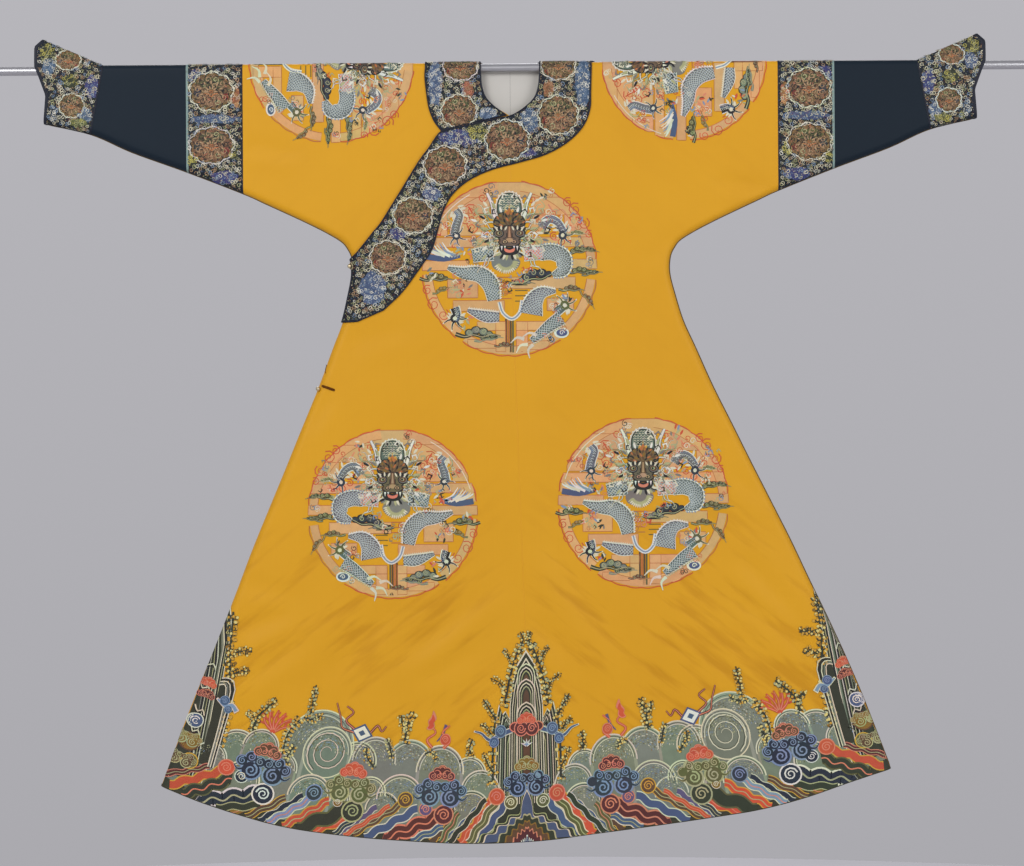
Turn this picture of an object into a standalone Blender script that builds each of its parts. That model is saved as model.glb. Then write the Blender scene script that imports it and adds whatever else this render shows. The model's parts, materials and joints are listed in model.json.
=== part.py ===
"""Lady's silk court robe with a wide skirt and horse-hoof cuffs, hung flat on a rod.

Metres, +Z up.  The robe's front faces -Y and the wearer's left is +X.  The origin is on the rod's
axis, in the middle of the neck.  Every piece of cloth is drawn in its flat cut, as x and a run
measured over the fold on the rod (front positive, back negative), and is then hung on the rod.
"""

import math

import bmesh
import bpy
from mathutils import Vector

# --- driving sizes ------------------------------------------------------------------------------
ROD_RADIUS = 0.008
ROD_HALF_LENGTH = 1.0
ROD_SIDES = 32
SEAT_GAP = 0.0004         # between the rod and the cloth on it
CLOTH = 0.0015            # silk and its lining together
TRIM = 0.0011             # patterned bands that lie on the silk
GAP = 0.0003              # at seams and between layers
LAYER_GAP = 0.0008        # between a band and the silk under it
FLAP_GAP = 0.0013         # between the overlap and the inner flap
DRAPE_RADIUS = ROD_RADIUS + SEAT_GAP + CLOTH
QUARTER = DRAPE_RADIUS * math.pi / 2
WIDENING = 0.002          # half depth gained between the shoulder and the waist
WIDENING_DROP = 0.5
EDGE_ROUND = 0.012        # how far in from a sewn edge the cloth starts to turn
FLAP_LIFT = CLOTH + FLAP_GAP   # the overlap lies on the inner flap
FLAP_SLACK = 0.0022       # extra air between the two flaps in the skirt
FLAP_EASE = 0.12          # width over which the left front comes back down to its own layer

BAND_START = 0.4865       # sleeve seams, as distances from the middle of the neck
BAND_END = 0.5885
CUFF_START_TOP = 0.7405
CUFF_START_LOW = 0.7625
CUFF_CREST = 0.057        # the cuff's upper corner stands above the rod's axis
NECK_HALF = 0.0535
INNER_FLAP_EDGE = -0.004
INNER_FLAP_RISE = 0.012   # the inner flap's hem is this much higher than the outer one

# The sewn lower edge, from the cuff along the sleeve, round the underarm and down to the hem.
SEAM_COLUMNS = ("reach", "drop")
CUFF_CORNER = (0.8480, 0.0960)
UNDER_SLEEVE = (
    (CUFF_START_LOW, 0.1160),
    (0.6880, 0.1490),
    (BAND_END, 0.1855),
    (BAND_START, 0.2255),
    (0.4460, 0.2440),
    (0.4060, 0.2625),
    (0.3680, 0.2805),
    (0.3340, 0.2980),
    (0.3080, 0.3140),
    (0.2970, 0.3270),
)
SIDE_SEAM = (
    (0.2890, 0.3450),
    (0.2870, 0.3750),
    (0.2955, 0.4150),
    (0.3085, 0.4620),
    (0.3285, 0.5100),
    (0.3570, 0.5800),
    (0.3898, 0.6520),
    (0.4222, 0.7240),
    (0.4553, 0.7960),
    (0.4882, 0.8680),
    (0.5187, 0.9400),
    (0.5500, 1.0120),
    (0.5810, 1.0840),
    (0.6110, 1.1560),
    (0.6370, 1.2240),
    (0.6620, 1.2900),
)
LEAN = 0.022              # the skirt swings this far to the wearer's left by the hem
LEAN_START = 0.35
LEAN_RUN = 0.70
HEM_TILT = 0.012          # the right hem corner hangs this much lower, the left one higher

CENTRE_DROPS = (0.112, 0.142, 0.176, 0.214, 0.252, 0.292)
SKIRT_DROPS = (0.330, 0.370, 0.418, 0.472, 0.530, 0.600, 0.672, 0.744, 0.816, 0.890,
               0.965, 1.042, 1.122, 1.205, 1.302, 1.4060)
HEM_COLUMNS = ("x", "drop")
HEM_LINE = (
    (-0.640, 1.302), (-0.555, 1.336), (-0.430, 1.374), (-0.310, 1.393), (-0.200, 1.403),
    (-0.080, 1.409), (0.045, 1.405), (0.155, 1.392), (0.264, 1.378), (0.364, 1.364),
    (0.446, 1.351), (0.528, 1.330), (0.610, 1.302), (0.684, 1.278),
)

FOLD_ANGLES = (22.5, 45.0, 67.5, 90.0)
SLEEVE_DROPS = (0.055, 0.115, 0.172, 0.2125, 0.2184, 0.2227, 0.2255)
FRONT_NECK = ((0.0530, 0.012), (0.0518, 0.030), (0.0485, 0.044), (0.0435, 0.055),
              (0.0340, 0.066), (0.0200, 0.076), (0.0035, 0.086))
BACK_NECK_HALF = (0.0535, 0.0490, 0.0, 0.0)   # half width of the neck at each fold angle
BACK_DROPS = (0.016, 0.032, 0.046, 0.058, 0.070, 0.082, 0.094)

ACROSS = (0.0, 0.12, 0.27, 0.42, 0.57, 0.71, 0.85, 0.94)
EDGE_STEPS = (0.0120, 0.0066, 0.0026, 0.0)

# The largest soft folds of the skirt: ends, half width, height (out is positive) and layer.
FOLD_COLUMNS = ("x1", "drop1", "x2", "drop2", "half_width", "height")
FRONT_FOLDS = (
    (-0.54, 1.150, -0.30, 0.990, 0.045, 0.0030),
    (-0.36, 1.200, -0.20, 0.960, 0.040, -0.0022),
    (-0.20, 1.130, -0.02, 0.920, 0.038, 0.0028),
    (0.04, 0.850, 0.22, 1.120, 0.042, 0.0026),
    (0.40, 0.850, 0.58, 1.080, 0.045, 0.0032),
    (0.30, 1.330, 0.24, 1.050, 0.050, -0.0020),
)
BACK_FOLDS = (
    (-0.56, 1.160, -0.34, 0.940, 0.045, 0.0030),
    (-0.28, 1.250, -0.14, 0.930, 0.045, 0.0026),
    (0.02, 0.880, 0.10, 1.200, 0.045, -0.0022),
    (0.16, 0.900, 0.30, 1.180, 0.045, 0.0028),
    (0.40, 0.900, 0.56, 1.120, 0.040, 0.0026),
)

# Bands at the neck: matching points of the inner and outer edge, as x and run.  Rows on the fold
# over the rod give the run as an angle in degrees, the others as a drop.
BAND_COLUMNS = ("inner x", "inner drop", "outer x", "outer drop")
COLLAR_FRONT = (
    (-0.0060, 0.0866, -0.1260, 0.1140),
    (-0.0290, 0.0700, -0.1390, 0.0960),
    (-0.0440, 0.0540, -0.1480, 0.0720),
    (-0.0510, 0.0340, -0.1525, 0.0420),
    (-0.0530, 0.0120, -0.1550, 0.0160),
)
COLLAR_BACK_COLUMNS = ("share of the way to the middle of the neck", "outer x", "outer drop")
COLLAR_BACK = (
    (0.28, 0.1520, 0.020),
    (0.42, 0.1430, 0.045),
    (0.56, 0.1280, 0.068),
    (0.70, 0.1000, 0.090),
    (0.84, 0.0550, 0.104),
    (1.00, 0.0000, 0.109),
)
COLLAR_SHOULDER_HALF = 0.1540
LAPEL_SHOULDER_OUT = 0.1480
LAPEL = (
    (0.0530, 0.0120, 0.1475, 0.0160),
    (0.0510, 0.0340, 0.1465, 0.0450),
    (0.0440, 0.0540, 0.1450, 0.0760),
    (0.0290, 0.0700, 0.1320, 0.1080),
    (0.0035, 0.0862, 0.1030, 0.1370),
    (-0.0250, 0.0925, 0.0630, 0.1590),
    (-0.0600, 0.1002, 0.0150, 0.1730),
    (-0.0950, 0.1080, -0.0350, 0.1860),
    (-0.1260, 0.1152, -0.0780, 0.2060),
    (-0.1480, 0.1444, -0.1080, 0.2330),
    (-0.1660, 0.1682, -0.1240, 0.2640),
    (-0.1820, 0.1935, -0.1330, 0.2960),
    (-0.1990, 0.2212, -0.1430, 0.3290),
    (-0.2170, 0.2497, -0.1610, 0.3570),
    (-0.2370, 0.2812, -0.1974, 0.4060),
    (-0.2500, 0.2965, -0.2322, 0.4394),
)
LAPEL_END_ROWS = 4        # rows of the side seam that the lapel's end covers
LAPEL_END_STEPS = (0.0240, 0.0120, 0.0066, 0.0026, 0.0)
LAPEL_SLANT = 0.75        # sine of the angle at which the lapel's upper edge meets the side
LAPEL_TIP_SLANT = 0.91    # the same at the lower edge, where the lapel ends in a tip
LAPEL_TIP_AIM = (-0.2669, 0.4584)     # point of the lower edge that the tip runs towards
FLAP_EDGE = ((-0.0600, 0.1000), (-0.1260, 0.1150), (-0.1660, 0.1680),
             (-0.1990, 0.2210), (-0.2370, 0.2810))
FLAP_CENTRE_DROPS = (0.0868, 0.1250, 0.1650, 0.2050, 0.2450, 0.2700, 0.2850, 0.3000, 0.3150)

# The horse-hoof cuff's free edge, from its upper corner to its lower one.
CUFF_EDGE_COLUMNS = ("drop", "reach")
CUFF_EDGE = ((-0.057, 0.8500), (-0.044, 0.8640), (-0.008, 0.8640), (0.012, 0.8560),
             (0.045, 0.8440), (0.096, 0.8480))
TUBE_SHARES = (0.28, 0.55, 0.80)
CUFF_SHARES = (0.0, 0.25, 0.5, 0.75, 1.0)

KNOB_RADIUS = 0.0042
LOOP_CORD_RADIUS = 0.0013
LOOP_HALF_LENGTH = 0.0100
LOOP_HALF_WIDTH = 0.0018
RING_SIDES = 6
RING_STEPS = 20
UNDERARM_KNOB = (-0.2855, 0.3580)
WAIST_KNOB = (-0.3475, 0.5835)
WAIST_LOOP = (-0.3338, 0.5800)
WAIST_LOOP_TILT = math.radians(-20.0)

# --- finishes: base colour, roughness, metallic --------------------------------------------------
FINISHES = {
    "yellow silk": ((0.66, 0.34, 0.028), 0.45, 0.0),
    "dark silk": ((0.022, 0.031, 0.042), 0.5, 0.0),
    "patterned trim": ((0.13, 0.12, 0.11), 0.6, 0.0),
    "brushed metal": ((0.50, 0.50, 0.50), 0.35, 1.0),
    "gilt metal": ((0.60, 0.50, 0.28), 0.35, 1.0),
    "silk cord": ((0.45, 0.24, 0.04), 0.6, 0.0),
}


def clear_scene():
    """Remove whatever the file opened with."""
    for thing in list(bpy.data.objects):
        bpy.data.objects.remove(thing, do_unlink=True)


def finish(name):
    """Return the named material, made on first use."""
    found = bpy.data.materials.get(name)
    if found:
        return found
    colour, roughness, metallic = FINISHES[name]
    material = bpy.data.materials.new(name)
    material.use_nodes = True
    shader = material.node_tree.nodes["Principled BSDF"]
    shader.inputs["Base Color"].default_value = (*colour, 1.0)
    shader.inputs["Roughness"].default_value = roughness
    shader.inputs["Metallic"].default_value = metallic
    material.diffuse_color = (*colour, 1.0)
    return material


def add_object(name, mesh_maker, finish_name):
    """Make a named object from a bmesh that mesh_maker fills."""
    work = bmesh.new()
    mesh_maker(work)
    bmesh.ops.recalc_face_normals(work, faces=work.faces)
    mesh = bpy.data.meshes.new(name)
    work.to_mesh(mesh)
    work.free()
    mesh.materials.append(finish(finish_name))
    mesh.shade_smooth()
    mesh.set_sharp_from_angle(angle=math.radians(50))
    made = bpy.data.objects.new(name, mesh)
    bpy.context.scene.collection.objects.link(made)
    return made


# --- how flat cloth hangs ------------------------------------------------------------------------
def smooth_step(value):
    """Ease from 0 to 1 as value goes from 0 to 1."""
    held = min(max(value, 0.0), 1.0)
    return held * held * (3.0 - 2.0 * held)


def lean(drop):
    """Sideways swing of the skirt's middle at this drop."""
    return LEAN * min(max((drop - LEAN_START) / LEAN_RUN, 0.0), 1.0)


def seam_point(side, reach, drop):
    """Place a row of the seam table on one side of the robe, as (x, drop)."""
    share = smooth_step((drop - SIDE_SEAM[3][1]) / (SIDE_SEAM[-1][1] - SIDE_SEAM[3][1]))
    return (side * reach + lean(drop), drop - side * HEM_TILT * share)


def seam_line(side):
    """Whole sewn edge of one side, from the cuff's corner to the hem."""
    return [seam_point(side, *row) for row in (CUFF_CORNER,) + UNDER_SLEEVE + SIDE_SEAM]


SEAM_LINES = {side: seam_line(side) for side in (1, -1)}


def corner_directions(line, side):
    """Unit outward direction at each corner of a seam line, in (x, drop)."""
    found = []
    for index in range(len(line)):
        before = line[max(index - 1, 0)]
        after = line[min(index + 1, len(line) - 1)]
        along = (after[0] - before[0], after[1] - before[1])
        length = math.hypot(*along)
        found.append((side * along[1] / length, -side * along[0] / length))
    return found


SEAM_OUTWARD = {side: corner_directions(SEAM_LINES[side], side) for side in (1, -1)}


def seam_distance(x, drop):
    """Distance from a flat point to the sewn edge, and the outward direction there."""
    side = 1 if x > 0 else -1
    line = SEAM_LINES[side]
    outward = SEAM_OUTWARD[side]
    best = (1e9, (side, 0.0))
    for index in range(len(line) - 1):
        (ax, ad), (bx, bd) = line[index], line[index + 1]
        span_x, span_d = bx - ax, bd - ad
        share = ((x - ax) * span_x + (drop - ad) * span_d) / (span_x ** 2 + span_d ** 2)
        share = min(max(share, 0.0), 1.0)
        distance = math.hypot(x - ax - share * span_x, drop - ad - share * span_d)
        if distance < best[0]:
            mixed = [a + (b - a) * share for a, b in zip(outward[index], outward[index + 1])]
            best = (distance, mixed)
    return best


def fold_height(x, drop, front):
    """Height of the soft folds at a flat point."""
    total = 0.0
    for x1, drop1, x2, drop2, half_width, height in (FRONT_FOLDS if front else BACK_FOLDS):
        span_x, span_d = x2 - x1, drop2 - drop1
        length = math.hypot(span_x, span_d)
        along = ((x - x1) * span_x + (drop - drop1) * span_d) / length ** 2
        across = ((x - x1) * span_d - (drop - drop1) * span_x) / length
        ends = smooth_step(along / 0.35 + 0.3) * smooth_step((1.0 - along) / 0.35 + 0.3)
        total += height * ends * math.exp(-(across / half_width) ** 2)
    return total


def hang(x, run, lift=0.0, crest=DRAPE_RADIUS):
    """Hang a flat point: return its place and its outward direction."""
    front = run > 0
    facing = -1.0 if front else 1.0
    if abs(run) <= QUARTER:
        angle = abs(run) / DRAPE_RADIUS
        place = Vector((x, facing * DRAPE_RADIUS * math.sin(angle), crest * math.cos(angle)))
        out = Vector((0.0, facing * math.sin(angle) / DRAPE_RADIUS, math.cos(angle) / crest))
        out.normalize()
        return place + out * lift, out
    drop = abs(run) - QUARTER
    distance, outward = seam_distance(x, drop)
    turn = 1.0 - min(distance / EDGE_ROUND, 1.0)
    rise = math.sqrt(1.0 - turn * turn)
    half_depth = DRAPE_RADIUS + WIDENING * min(drop / WIDENING_DROP, 1.0)
    depth = GAP / 2 + rise * (half_depth + fold_height(x, drop, front))
    place = Vector((x, facing * depth, -drop))
    out = Vector((outward[0] * turn / EDGE_ROUND, facing * rise / half_depth,
                  -outward[1] * turn / EDGE_ROUND))
    out.normalize()
    return place + out * lift, out


def wall(work, rows, thickness):
    """Close a grid of (place, outward) pairs into a wall of this thickness under it."""
    outer = [[work.verts.new(place) for place, _ in row] for row in rows]
    inner = [[work.verts.new(place - out * thickness) for place, out in row] for row in rows]
    last_row, last_column = len(rows) - 1, len(rows[0]) - 1
    for i in range(last_row):
        for j in range(last_column):
            work.faces.new((outer[i][j], outer[i][j + 1], outer[i + 1][j + 1], outer[i + 1][j]))
            work.faces.new((inner[i][j], inner[i + 1][j], inner[i + 1][j + 1], inner[i][j + 1]))
    for i in range(last_row):
        for j in (0, last_column):
            work.faces.new((outer[i][j], outer[i + 1][j], inner[i + 1][j], inner[i][j]))
    for j in range(last_column):
        for i in (0, last_row):
            work.faces.new((outer[i][j], inner[i][j], inner[i][j + 1], outer[i][j + 1]))


# --- the two body lengths and the overlap --------------------------------------------------------
def to_run(drop):
    """Run of a flat point that lies this far below the rod."""
    return QUARTER + drop


def angle_run(degrees):
    """Run of a flat point on the fold over the rod."""
    return DRAPE_RADIUS * math.radians(degrees)


def read_table(table, value):
    """Second column of a two-column table, read between its rows."""
    for (first, low), (second, high) in zip(table, table[1:]):
        if value <= second:
            return low + (high - low) * (value - first) / (second - first)
    return table[-1][1]


def outer_ends(side):
    """Outer ends of a body's rows: sleeve seam, under the sleeve, then the side seam."""
    ends = [(side * BAND_START, angle_run(angle)) for angle in (0.0,) + FOLD_ANGLES]
    ends += [(side * BAND_START, to_run(drop)) for drop in SLEEVE_DROPS]
    lower = UNDER_SLEEVE[4:] + SIDE_SEAM
    for reach, drop in lower:
        x, real_drop = seam_point(side, reach, drop)
        ends.append((x, to_run(real_drop)))
    return ends


def front_starts(edge_x, side):
    """Inner ends of a front's rows: neck edge, then the centre edge down to the hem."""
    starts = [(side * NECK_HALF, angle_run(angle)) for angle in (0.0,) + FOLD_ANGLES]
    starts += [(side * x, to_run(drop)) for x, drop in FRONT_NECK]
    starts += [(edge_x + lean(drop), to_run(drop)) for drop in CENTRE_DROPS + SKIRT_DROPS]
    return starts


def back_starts(side):
    """Inner ends of a back's rows: neck edge, then the centre back seam."""
    edge = side * GAP / 2
    starts = [(side * NECK_HALF, 0.0)]
    starts += [(side * half + edge, angle_run(angle))
               for half, angle in zip(BACK_NECK_HALF, FOLD_ANGLES)]
    starts += [(edge + lean(drop), to_run(drop)) for drop in BACK_DROPS]
    starts += [(edge + lean(drop), to_run(drop)) for drop in CENTRE_DROPS + SKIRT_DROPS]
    return starts


def bowed(start, end, share, fullness):
    """Point of a row between its ends; rows near the hem bow down as the hem does."""
    x = start[0] + (end[0] - start[0]) * share
    run = start[1] + (end[1] - start[1]) * share
    corner = HEM_LINE[0] if end[0] < 0 else HEM_LINE[-1]
    middle = read_table(HEM_LINE, LEAN)
    chord = middle + (corner[1] - middle) * share
    bow = read_table(HEM_LINE, LEAN + (corner[0] - LEAN) * share) - chord
    return x, run + bow * fullness


def row_shares(start, end, edge_along):
    """Shares along a row, the last of them set by distance from the sewn edge."""
    span = (end[0] - start[0], end[1] - start[1])
    length = math.hypot(*span)
    lean_in = abs(span[0] * edge_along[1] - span[1] * edge_along[0]) / length
    near = [1.0 - step / (max(lean_in, 0.5) * length) for step in EDGE_STEPS]
    return [share * near[0] for share in ACROSS] + near


def body_rows(starts, ends, first_skirt_row):
    """Flat points of one layer, row by row from the rod to the hem."""
    rows = []
    last = len(ends) - 1
    for index, (start, end) in enumerate(zip(starts, ends)):
        before = ends[max(index - 1, 0)]
        after = ends[min(index + 1, last)]
        along = (after[0] - before[0], after[1] - before[1])
        size = math.hypot(*along)
        shares = row_shares(start, end, (along[0] / size, along[1] / size))
        fullness = (max(index - first_skirt_row, 0) / (last - first_skirt_row)) ** 2
        rows.append([bowed(start, end, share, fullness) for share in shares])
    return rows


def flap_lift(x, run):
    """Height of the overlap's outer face over the layer under it, and of the left front beside it."""
    drop = run - QUARTER
    if drop <= 0.0:
        return 0.0
    distance, _ = seam_distance(x, drop)
    slack = FLAP_SLACK * smooth_step((drop - 0.42) / 0.2) * smooth_step(distance / 0.08)
    beside = smooth_step(1.0 - (x - lean(drop)) / FLAP_EASE)
    below_neck = smooth_step((drop - 0.01) / 0.05) if x > 0 else 1.0
    return (FLAP_LIFT + slack) * beside * below_neck


SKIRT_ROW = 1 + len(FOLD_ANGLES) + len(SLEEVE_DROPS) + len(CENTRE_DROPS)


def raise_hem(rows, first_skirt_row):
    """Cut the inner flap's hem a little higher than the outer one, but not at the side seam."""
    raised = []
    last = len(rows) - 1
    across = ACROSS + (1.0,) * len(EDGE_STEPS)
    for index, row in enumerate(rows):
        rise = INNER_FLAP_RISE * (max(index - first_skirt_row, 0) / (last - first_skirt_row)) ** 2
        raised.append([(x, run - rise * smooth_step((1.0 - share) / 0.3))
                       for share, (x, run) in zip(across, row)])
    return raised


def build_body(name, side, front_edge):
    """One body length: front, shoulder, upper sleeve and back in a single piece of silk."""
    ends = outer_ends(side)
    front = body_rows(front_starts(front_edge, side), ends, SKIRT_ROW)
    back = body_rows(back_starts(side), ends, SKIRT_ROW)
    if side < 0:
        front = raise_hem(front, SKIRT_ROW)
    rows = [[hang(x, -run) for x, run in row] for row in reversed(back[1:])]
    for row in front:
        rows.append([hang(x, run, flap_lift(x, run) if side > 0 else 0.0) for x, run in row])
    add_object(name, lambda work: wall(work, rows, CLOTH), "yellow silk")


def lapel_corner(step):
    """Flat point on the lapel's upper edge, this far in from the side edge."""
    corner_x, corner_drop = seam_point(-1, *SIDE_SEAM[0])
    back_x, back_drop = FLAP_EDGE[-1][0] - corner_x, FLAP_EDGE[-1][1] - corner_drop
    reach = step / LAPEL_SLANT / math.hypot(back_x, back_drop)
    return corner_x + back_x * reach, to_run(corner_drop + back_drop * reach)


def build_outer_flap():
    """The overlap: from the centre seam to the right side, cut along the lapel's upper edge."""
    edge = -GAP / 2
    ends = [(x, to_run(drop)) for x, drop in FLAP_EDGE]
    ends += [lapel_corner(step) for step in LAPEL_END_STEPS[:-1]]
    for row in SIDE_SEAM:
        x, drop = seam_point(-1, *row)
        ends.append((x, to_run(drop)))
    starts = [(edge, to_run(drop)) for drop in FLAP_CENTRE_DROPS]
    starts += [(edge + lean(drop), to_run(drop)) for drop in SKIRT_DROPS]
    flat = body_rows(starts, ends, len(FLAP_CENTRE_DROPS))
    rows = [[hang(x, run, flap_lift(x, run)) for x, run in row] for row in flat]
    add_object("outer_flap", lambda work: wall(work, rows, CLOTH), "yellow silk")


# --- bands at the neck ---------------------------------------------------------------------------
def between(start, end, share):
    """Point at this share of the way between two flat points."""
    return tuple(a + (b - a) * share for a, b in zip(start, end))


def band_row(inner, outer):
    """Six flat points across a band; a row that leaves the rod has one where it does."""
    if inner[1] < QUARTER < outer[1]:
        knee = between(inner, outer, (QUARTER - inner[1]) / (outer[1] - inner[1]))
        arc = [inner, between(inner, knee, 0.5), knee]
        return arc + [between(knee, outer, share) for share in (0.33, 0.67, 1.0)]
    return [between(inner, outer, share) for share in (0.0, 0.2, 0.4, 0.6, 0.8, 1.0)]


def build_collar_band():
    """Band from the lapel up the right of the neck, over the shoulder and round the back."""
    rows = []
    for inner_x, inner_drop, outer_x, outer_drop in COLLAR_FRONT:
        rows.append((1, band_row((inner_x, to_run(inner_drop)), (outer_x, to_run(outer_drop)))))
    half = COLLAR_SHOULDER_HALF
    for angle in reversed(FOLD_ANGLES):
        run = angle_run(angle)
        rows.append((1, band_row((-NECK_HALF, run), (-half, run))))
    rows.append((-1, band_row((-NECK_HALF, 0.0), (-half, 0.0))))
    back = []
    neck_corner = (BACK_NECK_HALF[1], angle_run(FOLD_ANGLES[1]))
    neck_middle = (0.0, angle_run(FOLD_ANGLES[2]))
    back.append(((NECK_HALF, angle_run(FOLD_ANGLES[0])), (half, angle_run(FOLD_ANGLES[0]))))
    back.append((neck_corner, (half, angle_run(FOLD_ANGLES[1]))))
    back.append((between(neck_corner, neck_middle, 0.08), (half, angle_run(FOLD_ANGLES[2]))))
    back.append((between(neck_corner, neck_middle, 0.16), (half, QUARTER)))
    for share, outer_x, outer_drop in COLLAR_BACK:
        back.append((between(neck_corner, neck_middle, share), (outer_x, to_run(outer_drop))))
    for inner, outer in back:
        rows.append((-1, band_row((-inner[0], inner[1]), (-outer[0], outer[1]))))
    for inner, outer in reversed(back[:-1]):
        rows.append((-1, band_row(inner, outer)))
    rows.append((-1, band_row((NECK_HALF, GAP), (LAPEL_SHOULDER_OUT, GAP))))
    lift = LAYER_GAP + TRIM
    placed = [[hang(x, facing * run, lift) for x, run in row] for facing, row in rows]
    add_object("collar_band", lambda work: wall(work, placed, TRIM), "patterned trim")


def lapel_tip(step):
    """Flat point on the lapel's lower edge, this far in from the side edge."""
    tip_x, tip_drop = seam_point(-1, *SIDE_SEAM[LAPEL_END_ROWS - 1])
    aim_x, aim_drop = LAPEL_TIP_AIM[0] - tip_x, LAPEL_TIP_AIM[1] - tip_drop
    reach = step / LAPEL_TIP_SLANT / math.hypot(aim_x, aim_drop)
    return tip_x + aim_x * reach, to_run(tip_drop + aim_drop * reach)


def lapel_end_row(step):
    """Points across the lapel's end, this far in from the side edge."""
    points = []
    rows = [seam_point(-1, *row) for row in SIDE_SEAM[:LAPEL_END_ROWS]]
    outward = SEAM_OUTWARD[-1][1 + len(UNDER_SLEEVE):][:LAPEL_END_ROWS]
    for (x, drop), (out_x, out_drop) in zip(rows, outward):
        points.append((x - out_x * step, to_run(drop - out_drop * step)))
    points[0] = lapel_corner(step)
    points[3] = lapel_tip(step)
    first = between(points[0], points[1], 0.5)
    last = between(points[2], points[3], 0.5)
    return [points[0], first, points[1], points[2], last, points[3]]


def build_lapel_band():
    """Band from the left shoulder down round the neck and along the overlap to the right side."""
    rows = [band_row((NECK_HALF, angle_run(angle)), (LAPEL_SHOULDER_OUT, angle_run(angle)))
            for angle in (0.0,) + FOLD_ANGLES]
    rows += [band_row((inner_x, to_run(inner_drop)), (outer_x, to_run(outer_drop)))
             for inner_x, inner_drop, outer_x, outer_drop in LAPEL]
    rows += [lapel_end_row(step) for step in LAPEL_END_STEPS]
    placed = [[hang(x, max(run, 1e-6), flap_lift(x, run) + LAYER_GAP + TRIM) for x, run in row]
              for row in rows]
    add_object("lapel_band", lambda work: wall(work, placed, TRIM), "patterned trim")


# --- sleeves -------------------------------------------------------------------------------------
def under_drop(side, x):
    """Drop of the sleeve's lower edge at x."""
    corners = SEAM_LINES[side][:len(UNDER_SLEEVE) + 1]
    return read_table(sorted((side * seam_x, drop) for seam_x, drop in corners), side * x)


def tube_rows(rings):
    """Rows of a folded tube from its rings, up the back, over the rod and down the front."""
    count = len(rings[0])
    back = [[hang(x, -run, 0.0, crest) for x, run, crest in (ring[k] for ring in rings)]
            for k in reversed(range(1, count))]
    front = [[hang(x, run, 0.0, crest) for x, run, crest in (ring[k] for ring in rings)]
             for k in range(count)]
    return back + front


def ring_drops(low_drop):
    """Drops at which a ring of a sleeve has its points, below the rod."""
    return [share * low_drop for share in TUBE_SHARES] + [low_drop - step for step in EDGE_STEPS]


def sleeve_ring(side, top, low):
    """Flat points of one ring of a sleeve, from over the rod to its lower edge."""
    low_drop = under_drop(side, side * low)
    ring = [(side * top, angle_run(angle), DRAPE_RADIUS) for angle in (0.0,) + FOLD_ANGLES]
    for drop in ring_drops(low_drop):
        reach = top + (low - top) * drop / low_drop
        ring.append((side * reach, to_run(drop), DRAPE_RADIUS))
    return ring


def cuff_ring(side, share):
    """Flat points of one ring of a cuff, share of the way from its seam to its free edge."""
    crest = DRAPE_RADIUS + (CUFF_CREST - DRAPE_RADIUS) * share
    seam_drops = ring_drops(under_drop(side, side * CUFF_START_LOW))
    edge_drops = ring_drops(CUFF_CORNER[1])
    ring = []
    for angle in (0.0,) + FOLD_ANGLES:
        free = read_table(CUFF_EDGE, -CUFF_CREST * math.cos(math.radians(angle)))
        reach = CUFF_START_TOP + GAP + (free - CUFF_START_TOP - GAP) * share
        ring.append((side * reach, angle_run(angle), crest))
    for seam_drop, edge_drop in zip(seam_drops, edge_drops):
        slant = (CUFF_START_LOW - CUFF_START_TOP) * seam_drop / seam_drops[-1]
        start = CUFF_START_TOP + GAP + slant
        reach = start + (read_table(CUFF_EDGE, edge_drop) - start) * share
        drop = seam_drop + (edge_drop - seam_drop) * share
        ring.append((side * reach, to_run(drop), crest))
    return ring


def build_sleeve(name, side, ring_places, finish_name):
    """Part of a sleeve, folded over the rod and sewn along its lower edge."""
    rows = tube_rows([sleeve_ring(side, top, low) for top, low in ring_places])
    add_object(name, lambda work: wall(work, rows, CLOTH), finish_name)


def build_cuff(name, side):
    """Horse-hoof cuff, whose upper corner stands up past the rod."""
    rows = tube_rows([cuff_ring(side, share) for share in CUFF_SHARES])
    add_object(name, lambda work: wall(work, rows, CLOTH), "patterned trim")


# --- fastenings ----------------------------------------------------------------------------------
def build_knob(name, x, drop, lift):
    """Round knob that sits on the cloth."""
    place, _ = hang(x, to_run(drop), lift + GAP + KNOB_RADIUS)

    def make(work):
        bmesh.ops.create_uvsphere(work, u_segments=12, v_segments=8, radius=KNOB_RADIUS)
        bmesh.ops.translate(work, verts=work.verts, vec=place)
    add_object(name, make, "gilt metal")


def build_loop(name, x, drop, lift, half_length, half_width, tilt):
    """Closed cord loop that lies on the cloth: a ring with straight sides."""
    place, out = hang(x, to_run(drop), lift + GAP + LOOP_CORD_RADIUS)
    along = Vector((math.cos(tilt), 0.0, math.sin(tilt)))
    along = (along - out * along.dot(out)).normalized()
    across = out.cross(along)
    straight = half_length - half_width

    def make(work):
        rings = []
        for step in range(RING_STEPS):
            angle = 2 * math.pi * (step + 0.5) / RING_STEPS
            shift = straight if math.cos(angle) > 0 else -straight
            outward = along * math.cos(angle) + across * math.sin(angle)
            middle = place + along * shift + outward * half_width
            ring = []
            for corner in range(RING_SIDES):
                turn = 2 * math.pi * corner / RING_SIDES
                spoke = outward * math.cos(turn) + out * math.sin(turn)
                ring.append(work.verts.new(middle + spoke * LOOP_CORD_RADIUS))
            rings.append(ring)
        for ring, after in zip(rings, rings[1:] + rings[:1]):
            for k in range(RING_SIDES):
                j = (k + 1) % RING_SIDES
                work.faces.new((ring[k], after[k], after[j], ring[j]))
    add_object(name, make, "silk cord")


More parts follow.
